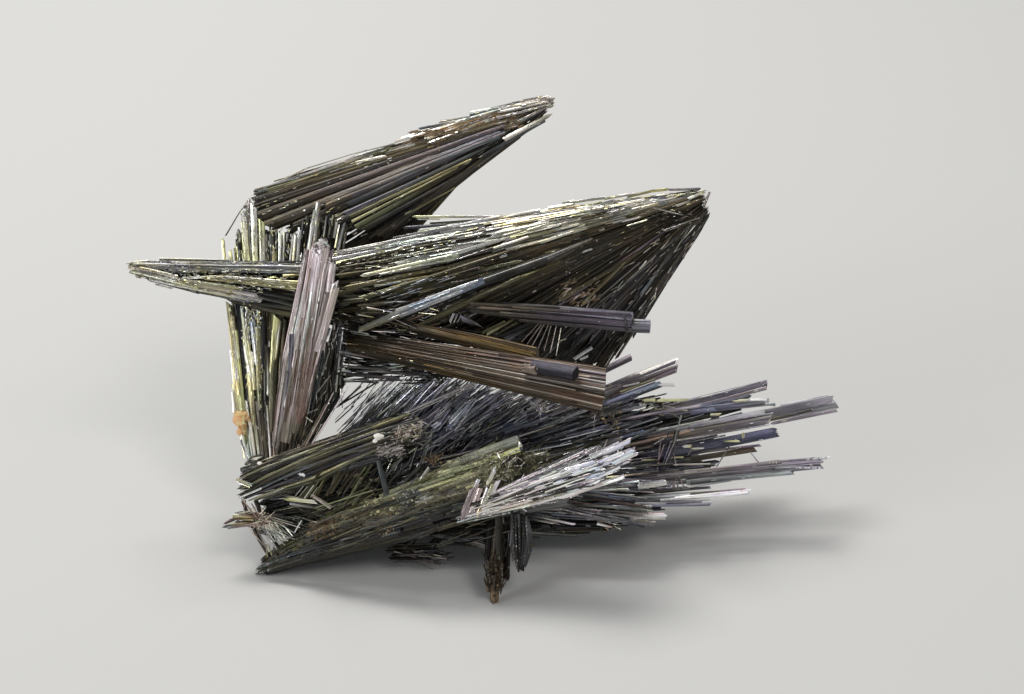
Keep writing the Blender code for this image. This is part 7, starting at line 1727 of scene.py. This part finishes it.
grain_patch(S, -7.2, (511, 516, 529, 569), 70, (0.1, 0.26), {"umber": 3, "pale": 1, "brown": 2}, crust=0.6, lift=0.1)
grain_patch(S, -6.6, (488, 566, 503, 596), 60, (0.14, 0.34), {"brown": 4, "rust": 1}, crust=0.8, lift=0.1)
grain_patch(S, -7.3, (511, 544, 520, 549), 8, (0.1, 0.18), {"silver": 1, "pale": 1}, crust=0.3, lift=0.2)
S.lump(at([(530.5, 544.5, -7.0)])[0], 0.34, S.tone_of("brown", 0.05), 0.95, 2)
hairs(S, 120, (436, 520, 500, 545), (-10, 14), (1.5, 6.0), (0.12, 0.36), {"umber": 4, "black": 5, "slate": 2}, (-4.6, -1.6))
show(S, EARTH, "earthy_stibnite", "foot_cluster")
S = Sheaf("foot_plates", 84, 0.6)
crystal(S, [(514, 508, -6.0), (519, 540, -6.6), (520, 571, -7.0)], (1.6, 1.8, 1.0), (1, 1, .8), "umber", 18, end="broken", start="broken", groove=0.14)
crystal(S, [(523, 515, -6.3), (528, 542, -7.0), (523, 566, -7.1)], (1.2, 1.5, .8), (.8, .9, .6), "slate", 18, end="broken", start="broken", groove=0.16)
trace(S, -7.1, [(512, 512, 514, 560, 3, ("umber", "slate"), 0.3), (519, 514, 520, 552, 2.5, ("slate", "umber"), 0.35), (526, 518, 529, 552, 2.5, ("steel", "slate"), 0.35), (516, 520, 517, 568, 2, ("black", "umber"), 0.4)])
grain_patch(S, -7.2, (512, 516, 530, 568), 90, (0.06, 0.15), {"slate": 3, "steel": 3, "umber": 3, "pale": 1})
sparkle(S, (510, 514, 531, 568), 80, {"silver": 3, "pale": 3, "steel": 2}, (-9, -4), (0.1, 0.3), (0.06, 0.12))
show(S, DULL, "earthy_stibnite")
S = Sheaf("under_rods", 83, 0.6)
for k in range(14):
    y = 544 + k * 1.1 + S.rng.normal(0, 0.6)
    trace(S, -1.0, [(384 + S.rng.uniform(0, 14), y + 1.5, 428 + S.rng.uniform(0, 16), y, S.rng.uniform(1.5, 3.2), (pick(S.rng, {"umber": 4, "black": 2, "plum": 2, "copper": 1}, 0),) * 2, S.rng.uniform(-0.6, 0.8))])
trace(S, -1.6, [(395, 551, 416.5, 557, 1.4, ("pink", "copper")), (394, 562, 433, 560.5, 1.4, ("mauve", "pink")), (400, 555, 440, 553, 3, ("violet", "umber")), (420, 560, 441, 564, 1.2, ("brown", "copper"))])
for k in range(12):
    x, y = S.rng.uniform(392, 438), S.rng.uniform(544, 552)
    trace(S, -1.4, [(x, y, x + S.rng.uniform(8, 30), y - S.rng.uniform(14, 24), S.rng.uniform(1.5, 3.5), (pick(S.rng, {"umber": 4, "black": 3, "slate": 1}, 0),) * 2, S.rng.uniform(-1.0, 0.4))])
hairs(S, 40, (388, 545, 436, 562), (-25, 15), (0.8, 3.2), (0.07, 0.2), {"umber": 3, "mauve": 2, "copper": 1, "brown": 2}, (-2.4, -0.8))
show(S, OLIVE, "olive_stibnite")
S = Sheaf("left_tuft_crystals", 82)
crystal(S, [(266, 521, -0.8), (244, 523, -1.6), (225, 526.5, -1.9)], (1.0, .75, .35), (1.2, .9, .4), "slate", 12, end="point", start="broken", groove=0.12)
crystal(S, [(262, 516, -0.8), (240, 516, -1.6), (226, 523, -1.9)], (1.0, .7, .35), (1.1, .8, .4), "copper", 12, end="point", start="broken", groove=0.12, crust=0.2)
crystal(S, [(243, 500, -1.2), (254, 530, -0.9), (272, 560, -0.1)], (.5, .6, .5), (.5, .6, .5), "umber", 10, end="broken", start="broken", groove=0.12)
crystal(S, [(256, 500, -0.7), (268, 530, -0.4), (283, 556, 0.0)], (.6, .7, .6), (.6, .7, .6), "umber", 10, end="broken", start="broken", groove=0.12)
trace(S, -2.4, [(233, 515.5, 254, 517, (2.5, 3), ("gold", "copper")), (232, 519, 254, 519.5, 2, ("copper", "gold")), (228, 527.5, 256, 524, 3, ("steel", "mauve")), (230, 524, 250, 522.5, 2, ("gold", "bronze")), (240, 513, 256, 510, 1.4, ("pale", "pale")),
                (242.5, 499, 258, 518.6, 2, ("pink", "mauve")), (249.5, 528.4, 266, 546.6, 1.5, ("pink", "copper")), (255, 524, 266.5, 548, 1.8, ("brown", "mauve")), (266.3, 543.8, 267.7, 556.5, 1.4, ("gold", "gold")), (269, 543.8, 272, 555, 1.4, ("gold", "gold")),
                (265, 513, 256, 524, 1.2, ("silver", "silver")), (252, 503, 262, 520, 1.4, ("copper", "pink")), (246, 500, 244, 510, 1.4, ("umber", "mauve"))])
hairs(S, 60, (232, 512, 262, 526), (-30, 30), (0.6, 2.5), (0.06, 0.18), {"copper": 2, "pale": 2, "mauve": 2, "umber": 3}, (-2.4, -1.0))
tuft(S, 262, 520, -2.2, 30, (0, 360), (0.5, 1.8), {"pink": 2, "silver": 2, "copper": 2}, (0.06, 0.12), 3.0, 0.3)
grain_patch(S, -0.4, (254, 560, 272, 574), 26, (0.12, 0.3), {"slate": 2, "umber": 2, "pale": 1}, crust=0.6, lift=0.1)
show(S, EARTH, "earthy_stibnite", "left_tuft")

# ---------------------------------------------------------------- the far side
S = Sheaf("rear_needles_fan", 91)
fan(S, [(352, 462, 7.6), (390, 456, 8.4), (430, 454, 8.6)], [(322, 458, 23.8), (400, 452, 24.8), (486, 453, 24.6), (560, 462, 23.4)], (2.4, 2.8), 260,
    (0.2, 0.7), {"bronze": 2, "umber": 4, "slate": 3, "steel": 2, "olive": 1, "black": 2}, ribs=6, cut=(0, .06, 0, .1), start=(0, 0.5), stop=(0.75, 1.0), sides=7)
show(S, BRONZE, "bronze_stibnite", "rear_needles")

# ---------------------------------------------------------------- floor, light and camera
def floor():
    mesh = bpy.data.meshes.new("floor")
    r = 3.0
    mesh.from_pydata([(-r, -r, 0), (r, -r, 0), (r, r, 0), (-r, r, 0)], [], [(0, 1, 2, 3)])
    o = bpy.data.objects.new("floor", mesh)
    bpy.context.scene.collection.objects.link(o)
    m = bpy.data.materials.new("floor_paint")
    m.use_nodes = True
    b = m.node_tree.nodes["Principled BSDF"]
    b.inputs["Base Color"].default_value = (0.56, 0.56, 0.55, 1)
    b.inputs["Roughness"].default_value = 0.9
    b.inputs["Specular IOR Level"].default_value = 0.2
    mesh.materials.append(m)


floor()
CENTRE = np.array([MOVE[0], MOVE[1], LEVEL + MOVE[2]]) * 0.001


def lamp(name, where, size, power, colour=(1, 1, 1), size_y=None):
    data = bpy.data.lights.new(name, "AREA")
    data.energy = power
    data.color = colour
    data.shape = "RECTANGLE"
    data.size = size
    data.size_y = size_y or size
    o = bpy.data.objects.new(name, data)
    o.location = Vector(CENTRE) + Vector(where)
    o.rotation_euler = (Vector(CENTRE) - o.location).to_track_quat("-Z", "Y").to_euler()
    bpy.context.scene.collection.objects.link(o)
    return o


lamp("key", (-0.17, 0.30, 0.60), 0.34, 4.5, (1.0, 0.985, 0.96), 0.26)
lamp("side", (-0.60, -0.31, 0.22), 0.20, 1.35, (0.96, 0.98, 1.0), 0.26)
lamp("fill", (0.30, -0.40, 0.60), 0.24, 1.5, (1.0, 0.97, 0.93), 0.24)
lamp("low", (-0.16, -0.66, 0.10), 0.16, 0.42, (0.97, 0.98, 1.0), 0.10)

world = bpy.data.worlds.new("studio")
world.use_nodes = True
world.node_tree.nodes["Background"].inputs[0].default_value = (0.80, 0.82, 0.85, 1)
world.node_tree.nodes["Background"].inputs[1].default_value = 0.22
bpy.context.scene.world = world
bpy.context.scene.view_settings.view_transform = "Standard"

cam_data = bpy.data.cameras.new("camera")
cam_data.lens = 100.0
cam_data.sensor_width = 36.0
cam_data.clip_start, cam_data.clip_end = 0.01, 20.0
cam = bpy.data.objects.new("camera", cam_data)
cam.location = Vector(CENTRE) + Vector((0, -COS, SIN)) * (SIGHT * 0.001)
cam.rotation_euler = (math.pi / 2 - LEAN, 0, 0)
bpy.context.scene.collection.objects.link(cam)
bpy.context.scene.camera = cam
